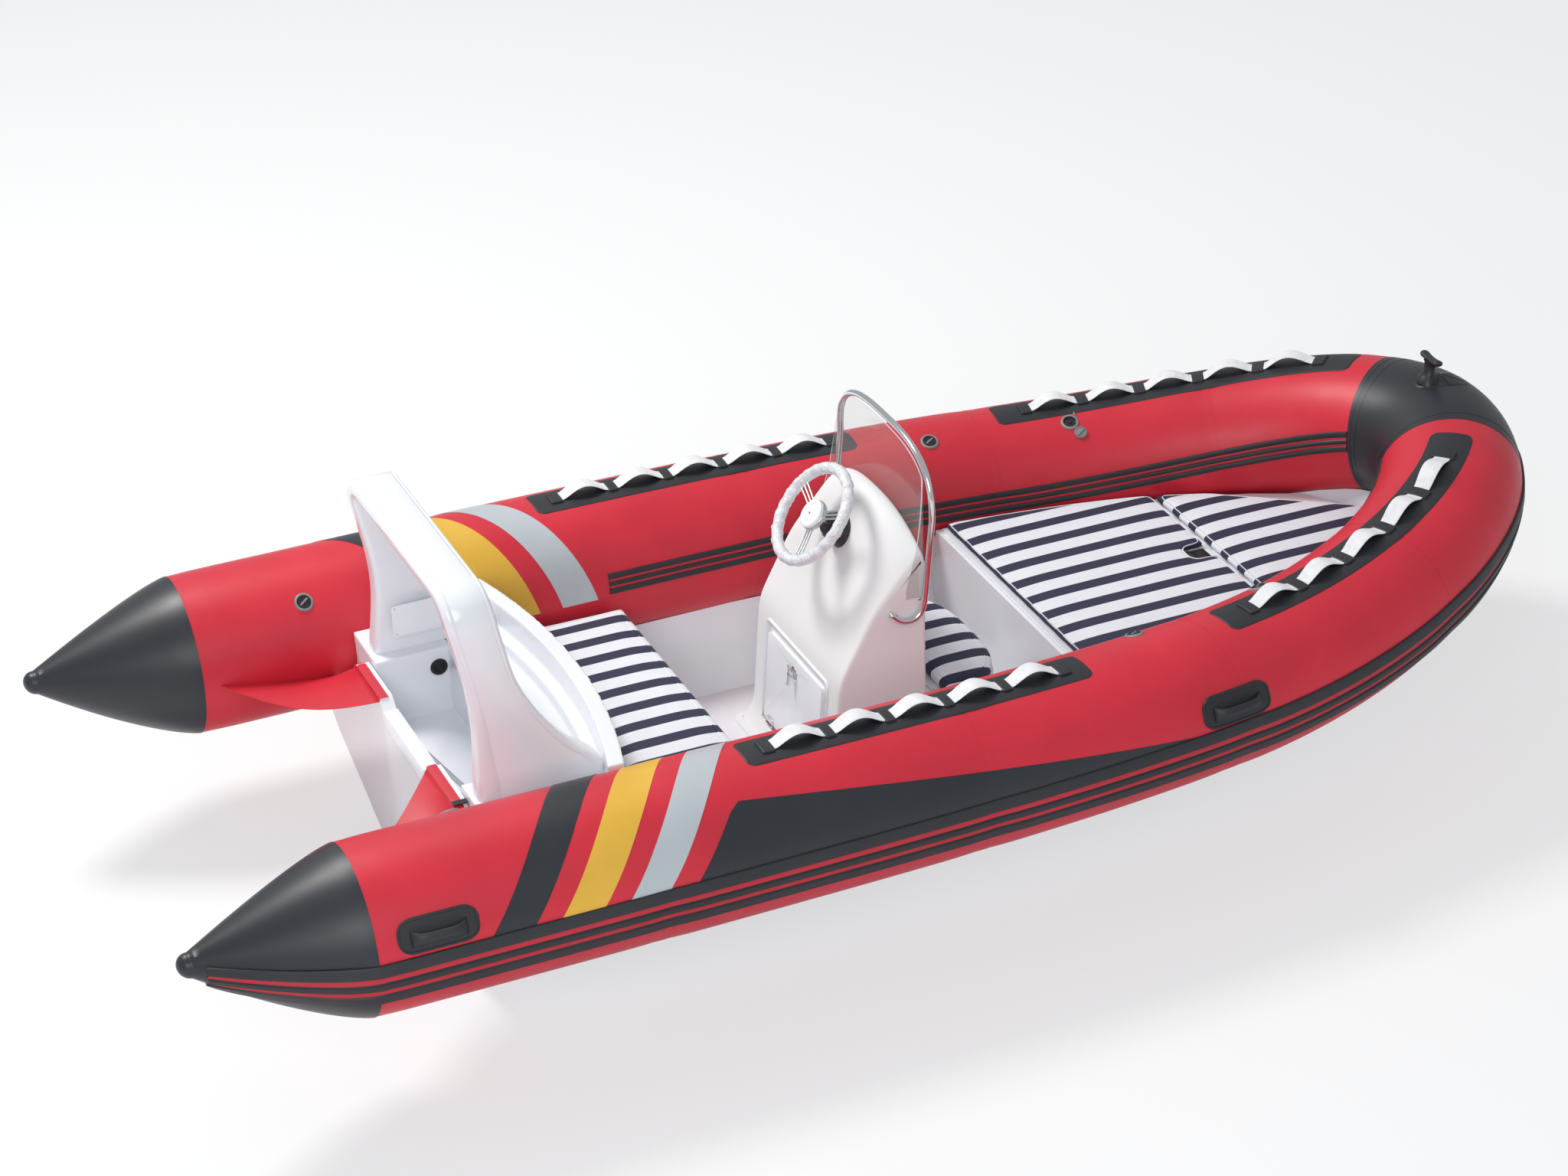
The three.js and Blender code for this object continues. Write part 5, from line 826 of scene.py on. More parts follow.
turns = np.linspace(0, 2 * math.pi, 72, endpoint=False)
edge_along, edge_across = rim_reach(LIFT_REACH, np.cos(turns)), rim_reach(LIFT_HALF, np.sin(turns))
shares = np.linspace(-1, 1, 33)
ring_turns = np.linspace(0, 2 * math.pi, 20, endpoint=False)
swell = 0.014 + 0.013 * np.abs(shares) ** 5
height = 0.004 + 0.027 * (1 - np.abs(shares) ** 4.5)
girths = -0.008 + swell[:, None] * np.cos(ring_turns)[None, :]
lifts = height[:, None] + 0.0085 * np.sin(ring_turns)[None, :]
for side_name, side in SIDES.items():
    for place, mile in LIFT_HANDLES.items():
        label = f"{side_name}_{place}_lift_handle"
        ends = (mile - LIFT_REACH, mile + LIFT_REACH)
        pad_piece(f"{label}_pad", *ends, LIFT_HALF, 0.05, side, LIFT_ANGLE, 0.0, LIFT_THICKNESS, 24)
        rim_line = around_skin(mile + edge_along, edge_across, LIFT_THICKNESS, side, LIFT_ANGLE)
        rim = swept(f"{label}_rim", rim_line, 0.0032, 8, closed=True)
        finished(rim, strake_rubber, slot="black_rubber")
        grid = np.broadcast_to((mile + 0.09 * shares)[:, None], girths.shape)
        grip = loft_piece(f"{label}_grip", around_skin(grid, girths, lifts, side, LIFT_ANGLE))
        finished(grip, strake_rubber, slot="black_rubber", smooth=180)
        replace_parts(grip, f"lift_handle_{side_name}_{place}")

# %% [markdown]
# ## Valves and the mooring fitting
# Round fittings are turned shapes: a profile spun about the skin's normal. The valve is a grey
# ring round a sunk cap with a bar across it for the fingers. One valve is open, and its cap hangs
# beside it on a short tether. The bow carries a moulded post with a crossbar on a finned base.

# %% Turn the valves
def skin_frame(mile, angle, side):
    """A matrix on the skin: X towards the bow, Z out along the normal."""
    at = float(sided(mile, side))
    origin = Vector(skin(at, angle))
    normal = (Vector(skin(at, angle, 0.1)) - origin).normalized()
    ahead = Vector(skin(float(sided(mile + 0.03, side)), angle)) - origin
    forward = (ahead - normal * ahead.dot(normal)).normalized()
    return frame_at(origin, forward, normal.cross(forward), normal)


def turned_piece(name, profile, matrix, sides=40, stretch=1.0):
    """A profile of (radius, height) spun about the Z of a matrix. It starts and ends on the axis."""
    rings = []
    for radius, height in profile:
        ring = [(radius * stretch * math.cos(t), radius * math.sin(t), height) for t in round_turns(sides)]
        rings.append([matrix @ Vector(p) for p in ring])
    return loft_piece(name, rings)


def block_piece(name, size, matrix):
    """A block centred on a matrix; its edges are rounded where it is used."""
    shape = bmesh.new()
    bmesh.ops.create_cube(shape, size=1, matrix=matrix @ Matrix.Diagonal((*size, 1)))
    mesh = bpy.data.meshes.new(name)
    shape.to_mesh(mesh)
    shape.free()
    return in_scene(name, mesh)


VALVES = {"aft": (0.395, 133.0), "middle": (2.785, 112.0), "forward": (3.343, 115.0)}
LOOSE_CAP_PLACE = (3.373, 126.5)
RING = [(0, -0.006), (0.033, -0.006), (0.0335, 0.002), (0.032, 0.0055), (0.029, 0.0072)]
RING += [(0.0255, 0.0072), (0.024, 0.005)]
OPEN_BORE, CAPPED_BORE = [(0.0235, -0.004), (0, -0.0045)], [(0.0235, 0.001), (0, 0.001)]
CAP = [(0, -0.004), (0.0228, -0.004), (0.0232, 0.006), (0.0222, 0.0084), (0.02, 0.009)]
CAP += [(0.0185, 0.006), (0, 0.0058)]
POPPET = [(0, -0.004), (0.0075, -0.004), (0.0075, 0.004), (0.006, 0.0055), (0, 0.006)]
RECESS = [(0, -0.002), (0.0238, -0.002), (0.0238, 0.0052), (0.0215, 0.0052), (0.0205, 0.0016), (0, 0.0016)]


def open_the_valve(label, matrix, cap_at):
    """What shows when a valve's cap is off: the spring poppet, the dark recess and the tether."""
    finished(turned_piece(f"{label}_poppet", POPPET, matrix, 24), black_plastic, slot="grey_plastic")
    finished(turned_piece(f"{label}_recess", RECESS, matrix), gasket_rubber, slot="grey_plastic")
    tether = [matrix @ Vector((0.02, 0.024, 0.006)), matrix @ Vector((0.026, 0.034, 0.004))]
    tether.append(cap_at @ Vector((-0.014, -0.016, 0.004)))
    finished(swept(f"{label}_tether", smooth_line(tether, 8), 0.0022, 8), grey_plastic, slot="grey_plastic")


for side_name, side in SIDES.items():
    for place, (mile, angle) in VALVES.items():
        matrix = skin_frame(mile, angle, side)
        label = f"{side_name}_{place}_valve"
        is_open = side_name == "port" and place == "forward"
        bore = OPEN_BORE if is_open else CAPPED_BORE
        ring = turned_piece(f"{label}_ring", RING + bore, matrix)
        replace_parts(finished(ring, grey_plastic, slot="grey_plastic"), f"valve_{side_name}_{place}")
        cap_at, cap_plastic = matrix, black_plastic
        if is_open:
            cap_at = skin_frame(*LOOSE_CAP_PLACE, side) @ Matrix.Translation((0, 0, 0.002))
            cap_plastic = grey_plastic
            open_the_valve(label, matrix, cap_at)
        finished(turned_piece(f"{label}_cap", CAP, cap_at), cap_plastic, slot="grey_plastic")
        bar_at = cap_at @ Matrix.Rotation(math.radians(35), 4, "Z") @ Matrix.Translation((0, 0, 0.0072))
        bar = block_piece(f"{label}_bar", (0.036, 0.0065, 0.006), bar_at)
        finished(rounded(bar, 0.0015), grey_plastic, slot="grey_plastic")

# %% Mould the mooring fitting
FITTING_ANGLE, POST_OFFSET = 82.0, -0.062
BASE_REACH, BASE_HALF, BASE_SHIFT = 0.064, 0.11, 0.012
BASE_PROFILE = [(1.0, -0.012), (1.0, 0.0), (0.98, 0.003), (0.9, 0.0045), (0.7, 0.0065)]
BASE_PROFILE += [(0.45, 0.01), (0.2, 0.014), (0.04, 0.016)]
BASE_FINS, FIN_HEIGHT = 6, 0.0035
STEM = [(0, -0.01), (0.04, -0.01), (0.037, 0.004), (0.028, 0.016), (0.022, 0.03), (0.0195, 0.05)]
STEM += [(0.021, 0.064), (0.025, 0.072), (0, 0.073)]
BAR_REACH, BAR_LEVEL = 0.06, 0.077
fitting_at = skin_frame(BOW_MILE, FITTING_ANGLE, 1)
post_at = fitting_at @ Matrix.Translation((0, POST_OFFSET, 0))
base_rings = []
for share, height in BASE_PROFILE:
    ring = []
    for turn in round_turns(96):
        fin = max(0.0, math.cos(BASE_FINS * turn)) ** 3 * math.sin(math.pi * min(1, share * 1.02))
        x = BASE_REACH * share * math.cos(turn)
        y = BASE_HALF * share * math.sin(turn) - BASE_SHIFT * (1 - share)
        fall = y**2 / (2 * BOW_RADIUS)  # the skin curves away below the base
        if share > 0.5:
            fall += x**2 / (8 * STERN_RADIUS)
        ring.append(fitting_at @ Vector((x, y, height + FIN_HEIGHT * fin - fall)))
    base_rings.append(ring)
base = finished(loft_piece("mooring_base", base_rings), black_plastic, slot="black_plastic", smooth=60)
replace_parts(base, "mooring_fitting")
post = turned_piece("mooring_post", STEM, post_at, 32, 1.15)
finished(post, black_plastic, slot="black_plastic", smooth=60)
bar_rings = []
for share in np.linspace(-1, 1, 23):
    close = 1.25 * math.sqrt(max(0.02, 1 - abs(share) ** 8))
    width = (0.013 + 0.004 * share**2) * close
    height = (0.0085 + 0.003 * abs(share) ** 3) * close
    x, level = BAR_REACH * share, BAR_LEVEL + 0.005 * share**2
    ring = [(x, width * math.cos(t), level + height * math.sin(t)) for t in round_turns(20)]
    bar_rings.append([post_at @ Vector(p) for p in ring])
finished(loft_piece("mooring_crossbar", bar_rings), black_plastic, slot="black_plastic", smooth=180)

# %% [markdown]
# ## Moulded shell
# The hull, the deck liner, the lockers and the decks are glass-fibre mouldings with a glossy white
# gelcoat. A mould never has a knife edge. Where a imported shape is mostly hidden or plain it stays,
# with the finish added. Where its edges show, a copy is remeshed into small even faces and eased,
# which rounds every edge by a few millimetres, as the mould's fillets do.

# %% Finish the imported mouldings
def refinish(name, material, edge=0.0, smooth=32):
    """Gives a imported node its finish, and rounds its edges without moving it."""
    node = nodes[name]
    node.data.materials.clear()
    node.data.materials.append(material)
    node.data.shade_smooth()
    weld = node.modifiers.new("weld", "WELD")
    weld.merge_threshold = 0.00002
    if edge:
        rounded(node, edge, 40)
    sharp = node.modifiers.new("shading", "EDGE_SPLIT")
    sharp.split_angle = math.radians(smooth)
    return node


PLAIN_MOULDINGS = ["hull_shell", "deck_liner", "transom", "rear_locker", "rear_seat_lid"]
PLAIN_MOULDINGS += ["console_seat_base", "console_seat_lid", "sundeck_moulding", "hatch_lid"]
PLAIN_MOULDINGS.append("bow_bulkhead")
EASED_MOULDINGS = {"console_door": 0.0015, "arch_cover_plate": 0.0008, "transom_cap": 0.0012}
for name in PLAIN_MOULDINGS:
    refinish(name, gelcoat)
for name, edge in EASED_MOULDINGS.items():
    refinish(name, gelcoat, edge)
refinish("helm_unit", black_plastic)

# %% Remesh the mouldings whose edges show
def settled(piece):
    """Turns a piece's modifiers into plain mesh."""
    evaluated = piece.evaluated_get(bpy.context.evaluated_depsgraph_get())
    mesh = bpy.data.meshes.new_from_object(evaluated)
    piece.modifiers.clear()
    piece.data = mesh
    return piece


def body_of_node(name):
    return body_of(nodes[name])[0]


def copied(name, node, floor=None):
    """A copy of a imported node's mesh as a piece of its own, cut off level where it is hidden below."""
    mesh = nodes[node].data.copy()
    mesh.materials.clear()
    if floor is not None:
        shape = bmesh.new()
        shape.from_mesh(mesh)
        bmesh.ops.remove_doubles(shape, verts=shape.verts, dist=0.00002)
        everything = shape.verts[:] + shape.edges[:] + shape.faces[:]
        bmesh.ops.bisect_plane(
            shape, geom=everything, plane_co=(0, 0, floor), plane_no=(0, 0, -1), clear_outer=True
        )
        bmesh.ops.holes_fill(shape, edges=[e for e in shape.edges if e.is_boundary])
        shape.to_mesh(mesh)
        shape.free()
    return in_scene(name, mesh)


def remeshed(piece, voxel, rounds):
    """Gives a piece small even faces and eases its edges, as modifiers."""
    even = piece.modifiers.new("even", "REMESH")
    even.mode, even.voxel_size = "VOXEL", voxel
    ease = piece.modifiers.new("ease", "SMOOTH")
    ease.factor, ease.iterations = 0.5, rounds


KEPT_FACES = 0.35  # the share that the remeshed mouldings keep


def moulded(name, node, voxel, rounds, floor):
    """A packed moulding with its edges eased as a mould's are."""
    piece = copied(name, node, floor)
    remeshed(piece, voxel, rounds)
    fewer = piece.modifiers.new("fewer", "DECIMATE")
    fewer.ratio = KEPT_FACES
    settled(piece)
    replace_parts(piece, node)
    print(name, "has", len(piece.data.polygons), "faces")
    finished(piece, gelcoat, body=body_of_node(node), slot="gelcoat", smooth=180)


moulded("seat_back_moulding", "seat_back", 0.005, 10, AXIS_HEIGHT - 0.1)
moulded("well_moulding", "splash_well", 0.005, 8, AXIS_HEIGHT - 0.2)

# %% [markdown]
# ## Stern arch
# The arch is one hollow moulding: two legs, broad at the foot, and a cross bar. Its long edges are
# well rounded, the legs spread a little towards their feet, and two shallow lines run over the top
# where the two halves of the mould met. A rounded section is carried up one leg, over and down.

# %% Carry the arch's section over the boat
ARCH_OUTER, ARCH_THICKNESS, ARCH_BAR, ARCH_CORNER, ARCH_EDGE = 0.51, 0.082, 0.052, 0.092, 0.021
ARCH_FOOT, ARCH_BAR_LEVEL, ARCH_SPLAY, SPLAY_POWER = 0.0903, 0.775, 0.052, 1.3
LEG_MIDDLE = ARCH_OUTER - ARCH_THICKNESS / 2
TABLE_TOP = 0.8  # where the two tables of (level, station) end
LEG_AFT = [(0.09, 1.1055), (0.14, 1.109), (0.2, 1.115), (0.33, 1.122), (0.46, 1.112)]
LEG_AFT += [(0.6, 1.085), (0.7, 1.064), (TABLE_TOP, 1.052)]
LEG_FRONT = [(0.09, 1.541), (0.12, 1.537), (0.16, 1.505), (0.22, 1.43), (0.33, 1.345)]
LEG_FRONT += [(0.455, 1.28), (0.577, 1.25), (0.706, 1.226), (TABLE_TOP, 1.212)]
PARTING_SHARES = (0.17, 0.9)  # where the two mould lines run, between the aft and the front edge
PARTING_GROOVE = ((-0.004, 0), (-0.0012, 0.0016), (0.0012, 0.0016), (0.004, 0))


def eased_value(table, level):
    """A smooth curve through a short table of (level, value)."""
    curve = smooth_line([(value, 0, at) for at, value in table], 8)
    return float(np.interp(level, [p.z for p in curve], [p.x for p in curve]))


def arch_ring(y, z, turn):
    """One section of the arch. turn is 0 on a leg and a right angle on the bar."""
    aft, front = (eased_value(table, min(z, TABLE_TOP)) for table in (LEG_AFT, LEG_FRONT))
    thick = ARCH_THICKNESS + (ARCH_BAR - ARCH_THICKNESS) * turn / (math.pi / 2)
    r = min(ARCH_EDGE, thick * 0.42)
    corners = [(aft + r, thick / 2 - r, math.pi), (front - r, thick / 2 - r, math.pi / 2)]
    corners += [(front - r, r - thick / 2, 0), (aft + r, r - thick / 2, -math.pi / 2)]
    quarter = np.linspace(0, math.pi / 2, 8)
    section = []
    for number, (x, out, start) in enumerate(corners):
        section += [(x + r * math.cos(start - t), out + r * math.sin(start - t)) for t in quarter]
        if number == 0:
            for share in PARTING_SHARES:
                line = aft + (front - aft) * share
                section += [(line + step, thick / 2 - dip) for step, dip in PARTING_GROOVE]
    return [deck_point(x, y + out * math.cos(turn), z + out * math.sin(turn)) for x, out in section]


leg_top = ARCH_BAR_LEVEL - ARCH_CORNER
arch_line = []
for z in np.linspace(ARCH_FOOT, leg_top, 46):
    spread = ARCH_SPLAY * (1 - (z - ARCH_FOOT) / (leg_top - ARCH_FOOT)) ** SPLAY_POWER
    arch_line.append((LEG_MIDDLE + spread, float(z), 0.0))
for turn in np.linspace(0, math.pi / 2, 15)[1:]:
    y = LEG_MIDDLE - ARCH_CORNER * (1 - math.cos(turn))
    arch_line.append((y, leg_top + ARCH_CORNER * math.sin(turn), float(turn)))
port_rings = [arch_ring(*station) for station in arch_line]
bar_edge = arch_line[-1][0]
bar_places = np.linspace(bar_edge, -bar_edge, 16)[1:-1]
bar_rings = [arch_ring(float(y), ARCH_BAR_LEVEL, math.pi / 2) for y in bar_places]
starboard_rings = [[Vector((p.x, -p.y, p.z)) for p in ring] for ring in reversed(port_rings)]
arch = loft_piece("arch_moulding", port_rings + bar_rings + starboard_rings)
finished(arch, gelcoat, slot="gelcoat", smooth=50)
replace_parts(arch, "stern_arch")

# %% Screw on the cover plate
SCREW_INSET = 0.012


def fitting_matrix(place, normal):
    """A matrix for a round fitting, with its Z along a normal."""
    normal = Vector(normal).normalized()
    side = normal.orthogonal().normalized()
    return frame_at(place, side, normal.cross(side), normal)


def screw_head(name, place, normal, radius):
    """A small domed screw head that lies on a surface."""
    dome = [(0, -0.002), (radius, -0.002), (radius, 0.0004), (radius * 0.8, 0.0014)]
    dome += [(radius * 0.3, 0.0019), (0, 0.0019)]
    finished(turned_piece(name, dome, fitting_matrix(place, normal), 16), stainless, slot="stainless")


plate_low, plate_high = (Vector(p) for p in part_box("arch_cover_plate"))
plate_corners = [
    (x, z)
    for x in (plate_low.x + SCREW_INSET, plate_high.x - SCREW_INSET)
    for z in (plate_low.z + SCREW_INSET, plate_high.z - SCREW_INSET)
]
for number, (x, z) in enumerate(plate_corners, 1):
    screw_head(f"cover_plate_screw_{number}", (x, plate_low.y, z), (0, -1, 0), 0.0032)

# %% [markdown]
# ## Splash well fittings
# The well drains through a brass pipe, a rubber grommet takes the control cables, and the engine's
# steering link lies on the floor. On the transom's starboard corner there is a small dark pad eye.

# %% Fit out the splash well
GROMMET = [(0, 0.001), (0.017, 0.001), (0.019, 0.006), (0.024, 0.008), (0.029, 0.006)]
GROMMET += [(0.031, 0.0), (0.031, -0.004), (0, -0.004)]
DRAIN = [(0, 0.001), (0.012, 0.001), (0.013, 0.004), (0.019, 0.005), (0.021, 0.002)]
DRAIN += [(0.021, -0.003), (0, -0.003)]
grommet_at = fitting_matrix(deck_point(1.31, 0.426, 0.02), (0, -1, 0))
finished(turned_piece("cable_grommet", GROMMET, grommet_at, 32), gasket_rubber, slot="black_rubber")
drain_at = fitting_matrix(deck_point(1.14, -0.3, -0.149), (0, 0, 1))
finished(turned_piece("well_drain", DRAIN, drain_at, 28), brass)
pad_eye_at = Matrix.Translation(deck_point(1.062, -0.492, 0.0672))
finished(rounded(block_piece("transom_pad_eye", (0.05, 0.026, 0.004), pad_eye_at), 0.0018), black_plastic)
refinish("steering_link_rod", stainless, smooth=50)

# %% [markdown]
# ## Gussets between the transom and the tubes
# Two panels of red fabric close the corners behind the transom. Each is glued along the transom's
# top edge and to the tube's inner side, and sags slightly between them. They are cut from the same
# cloth as the tubes, so they are thin sheets with the tubes' finish.

# %% Stretch the gussets
GUSSET_ROWS, GUSSET_COLUMNS, GUSSET_THICKNESS, GUSSET_SAG = 28, 14, 0.0016, 0.0585
TOP_INNER, TOP_OUTER, TOP_RISE = 0.238, 0.512, 0.0668  # its hold on the transom's top edge
FOOT_MILE, FOOT_RUN, FOOT_ANGLE, FOOT_TURN = 0.054, 0.4, 178, 15  # its hold on the tube
FOLD = ((1.07, 0.0005), (1.045, 0.0005), (1.0385, -0.001), (1.0365, -0.012))  # over the edge
for side_name, side in SIDES.items():
    grid = []
    for v in np.linspace(0, 1, GUSSET_COLUMNS):
        y = (TOP_INNER + (TOP_OUTER - TOP_INNER) * v) * side
        rise = TOP_RISE - 0.012 * max(0, v - 0.9) / 0.1
        line = [deck_point(x, y, rise + step) for x, step in FOLD]
        start = line[-1]
        end = Vector(skin(float(sided(FOOT_MILE + FOOT_RUN * v, side)), FOOT_ANGLE + FOOT_TURN * v, 0.002))
        for u in np.linspace(0, 1, GUSSET_ROWS)[1:]:
            sag = GUSSET_SAG * math.sin(math.pi * u) * (1 - v)
            line.append(start.lerp(end, float(u)) - Vector((0, 0, sag)))
        grid.append(line)
    top = np.array([[list(p) for p in line] for line in grid])
    under = top - [0, 0, GUSSET_THICKNESS]
    under[:, 2:, 0] += 0.0006
    gusset = sheet_piece(f"{side_name}_gusset", top, under)
    finished(gusset, red_fabric, slot="red_tube_fabric", smooth=60)
    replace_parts(gusset, f"transom_flap_{side_name}")

# %% [markdown]
# ## Console
# The console is a tall glossy moulding with soft edges. Seen from the side it has an aft face that
# leans, a sloping dash with a knee, and a crown. Seen from aft the dash swells into a rounded hump.
# Its outline changes steadily across the boat, so it is a string of outlines, each eased along its
# own length, with the inside and the door's opening cut out afterwards.

# %% Draw the console's outline at any distance from the centreline
DASH_STATION, CONSOLE_DEPTH, CONSOLE_HALF, CONSOLE_WALL = 2.456, 0.32, 0.345, 0.01
DASH_HEIGHT, KNEE, CROWN, TOP_HEIGHT = 0.471, (0.129, 0.705), (0.241, 1.012), 0.995
SIDE_HEIGHT, CONSOLE_LEAN, SKIRT_HEIGHT, SKIRT_REACH = 0.901, 0.041, 0.06, 0.048
FLOOR_LEVEL, CONSOLE_SOFTNESS, EASING_PASSES = -0.42, 0.015, 9
CROWN_SHARE, BROW_SHARE = 0.85, 0.15  # of the middle's line, up to the crown and past it


def console_outline(y, half, count=130):
    """The outline's points as (x, height), from the aft foot over the crown to the front foot."""
    arched = 1 - min(1, abs(y) / CONSOLE_HALF) ** 2.5
    points = []
    for h in np.linspace(0, SKIRT_HEIGHT, 7):
        skirt = SKIRT_REACH * (1 - h / SKIRT_HEIGHT) ** 2
        points.append((-CONSOLE_LEAN * (1 - h / DASH_HEIGHT) - skirt, h))
    for share in np.linspace(0, 1, 41):
        side_share = share * 2
        if side_share < 1:
            side = (KNEE[0] * side_share, DASH_HEIGHT + (KNEE[1] - DASH_HEIGHT) * side_share)
        else:
            rest = side_share - 1
            side = (KNEE[0] + (CONSOLE_DEPTH - KNEE[0]) * rest, KNEE[1] + (SIDE_HEIGHT - KNEE[1]) * rest)
        up = min(share / CROWN_SHARE, 1)
        past = max(0, share - CROWN_SHARE) / BROW_SHARE
        middle_x = CROWN[0] * up + (CONSOLE_DEPTH - CROWN[0]) * past
        middle_h = DASH_HEIGHT + (CROWN[1] - DASH_HEIGHT) * up + (TOP_HEIGHT - CROWN[1]) * past
        points.append((side[0] + (middle_x - side[0]) * arched, side[1] + (middle_h - side[1]) * arched))
    points.append((CONSOLE_DEPTH, 0.0))
    points = np.array(points)
    run = run_along(points)
    even = np.linspace(0, run[-1], count)
    line = np.stack([np.interp(even, run, points[:, k]) for k in range(2)], 1)
    for _ in range(EASING_PASSES):
        line[1:-1] = line[1:-1] * 0.5 + (line[:-2] + line[2:]) * 0.25
    ahead = np.gradient(line, axis=0)
    inward = np.stack([ahead[:, 1], -ahead[:, 0]], 1)
    inward /= np.linalg.norm(inward, axis=1, keepdims=True)
    past = max(0.0, abs(y) - (half - CONSOLE_SOFTNESS))
    inset = CONSOLE_SOFTNESS - math.sqrt(max(0.0, CONSOLE_SOFTNESS**2 - past**2)) + CONSOLE_HALF - half
    line = line + inward * inset
    line[[0, -1], 1] = 0.0
    return line


def console_body(name, wall=0.0):
    """The console's outside, or with a wall the space inside it, which runs out through the foot."""
    half = CONSOLE_HALF - wall
    turns = np.linspace(0, math.pi / 2, 9)
    ends = half - CONSOLE_SOFTNESS + CONSOLE_SOFTNESS * np.sin(turns)
    middle = np.linspace(-half + CONSOLE_SOFTNESS, half - CONSOLE_SOFTNESS, 61)[1:-1]
    places = np.concatenate([-ends[::-1], middle, ends])
    rings = []
    for y in places:
        line = console_outline(float(y), half)
        if wall:
            line[[0, -1], 1] = -0.03
        rings.append([deck_point(DASH_STATION + x, float(y), FLOOR_LEVEL + h + 0.0005) for x, h in line])
    return loft_piece(name, rings, flat_ends=True)


LEAN_TURN = math.atan2(CONSOLE_LEAN, DASH_HEIGHT)
DOOR_WIDTH, DOOR_HEIGHT, DOOR_THICKNESS = 0.452, 0.34, 0.014
DOOR_FRAME, DOOR_RECESS, DOOR_CORNER, DOOR_SILL = 0.04, 0.005, 0.018, 0.0525
door_station = DASH_STATION - CONSOLE_LEAN * (1 - DOOR_SILL / DASH_HEIGHT)
door_foot = deck_point(door_station, 0, FLOOR_LEVEL + DOOR_SILL)
face_up = Vector((math.sin(LEAN_TURN), 0, math.cos(LEAN_TURN)))
face_out = Vector((-math.cos(LEAN_TURN), 0, math.sin(LEAN_TURN)))
face_frame = frame_at(door_foot, Vector((0, -1, 0)), face_up, face_out)


def rounded_outline(width, height, corner, steps=8):
    """The corners and sides of a rounded rectangle, as (x, y)."""
    points = []
    for turn, (x, y) in enumerate(((1, 1), (-1, 1), (-1, -1), (1, -1))):
        centre = (x * (width / 2 - corner), y * (height / 2 - corner))
        for t in np.linspace(0, math.pi / 2, steps):
            angle = turn * math.pi / 2 + t
            points.append((centre[0] + corner * math.cos(angle), centre[1] + corner * math.sin(angle)))
    return points


def panel_piece(name, width, height, corner, depths, matrix, lift):
    """A flat panel with rounded corners, between two depths from a matrix's plane."""
    outline = rounded_outline(width, height, corner)
    return loft_piece(name, [[matrix @ Vector((x, y + lift, z)) for x, y in outline] for z in depths])


def carved(piece, tools):
    """Cuts other shapes out of a piece, and clears them away."""
    for tool in tools:
        cut = piece.modifiers.new("cut", "BOOLEAN")
        cut.operation, cut.solver, cut.object = "DIFFERENCE", "MANIFOLD", tool
    settled(piece)
    for tool in tools:
        bpy.data.objects.remove(tool)
    return piece


# %% Build the console shell, its door frame and its foot
WHEEL_PLACE = Vector((-0.078125, 0, 1.133277))
SHAFT_TURN, WHEEL_DISTANCE = math.radians(40), 0.128
CUT_REACH, BEAD_OFFSET, BEAD_RADIUS = 0.08, 0.008, 0.006
SHAFT_HOLE = [(0, -CUT_REACH), (0.0165, -CUT_REACH), (0.0165, CUT_REACH), (0, CUT_REACH)]
FOOT_REACH = CONSOLE_LEAN + SKIRT_REACH
FOOT_PROFILE = [(0.025, 0.0005), (0.025, 0.008), (0.0235, 0.0105), (0.021, 0.012)]
FOOT_PROFILE += [(-0.004, 0.012), (-0.004, 0.0005)]
shaft_out = Vector((-math.cos(SHAFT_TURN), 0, math.sin(SHAFT_TURN)))
shaft_up = shaft_out.cross(Vector((0, 1, 0)))
wheel_frame = frame_at(WHEEL_PLACE, Vector((0, 1, 0)), shaft_up, shaft_out)
shaft_frame = wheel_frame @ Matrix.Translation((0, 0, -WHEEL_DISTANCE))
frame_width, frame_height = DOOR_WIDTH + DOOR_FRAME, DOOR_HEIGHT + DOOR_FRAME
frame_middle = DOOR_HEIGHT / 2 + DOOR_FRAME / 4

shell = console_body("console_moulding")
hole_width, hole_height = DOOR_WIDTH - 2 * DOOR_THICKNESS, DOOR_HEIGHT - 2 * DOOR_THICKNESS
depths = (-CUT_REACH, CUT_REACH)
opening = panel_piece("opening", hole_width, hole_height, DOOR_CORNER, depths, face_frame, DOOR_HEIGHT / 2)
depths = (-DOOR_RECESS, 0.12)
pocket = panel_piece("pocket", frame_width, frame_height, DOOR_CORNER, depths, face_frame, frame_middle)
shaft_hole = turned_piece("shaft_hole", SHAFT_HOLE, shaft_frame, 32)
carved(shell, [console_body("inside", CONSOLE_WALL), opening, pocket, shaft_hole])
finished(shell, gelcoat, slot="gelcoat", smooth=38)
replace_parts(shell, "console_shell")
foot_rings = []
foot_station = DASH_STATION + (CONSOLE_DEPTH - FOOT_REACH) / 2
for grow, high in FOOT_PROFILE:
    outline = rounded_outline(CONSOLE_DEPTH + FOOT_REACH + 2 * grow, 2 * (CONSOLE_HALF + grow), 0.03 + grow)
    foot_rings.append([deck_point(foot_station + x, y, FLOOR_LEVEL + high) for x, y in outline])
finished(loft_piece("console_foot", foot_rings, along=True), gelcoat, slot="gelcoat")
outline = rounded_outline(
    frame_width + 2 * BEAD_OFFSET, frame_height + 2 * BEAD_OFFSET, DOOR_CORNER + BEAD_OFFSET
)
bead_line = [face_frame @ Vector((x, y + frame_middle, 0.0005)) for x, y in outline]
bead = swept("door_frame_bead", bead_line, BEAD_RADIUS, 12, closed=True)
finished(bead, gelcoat, slot="gelcoat", smooth=180)
print("console shell has", len(shell.data.polygons), "faces")

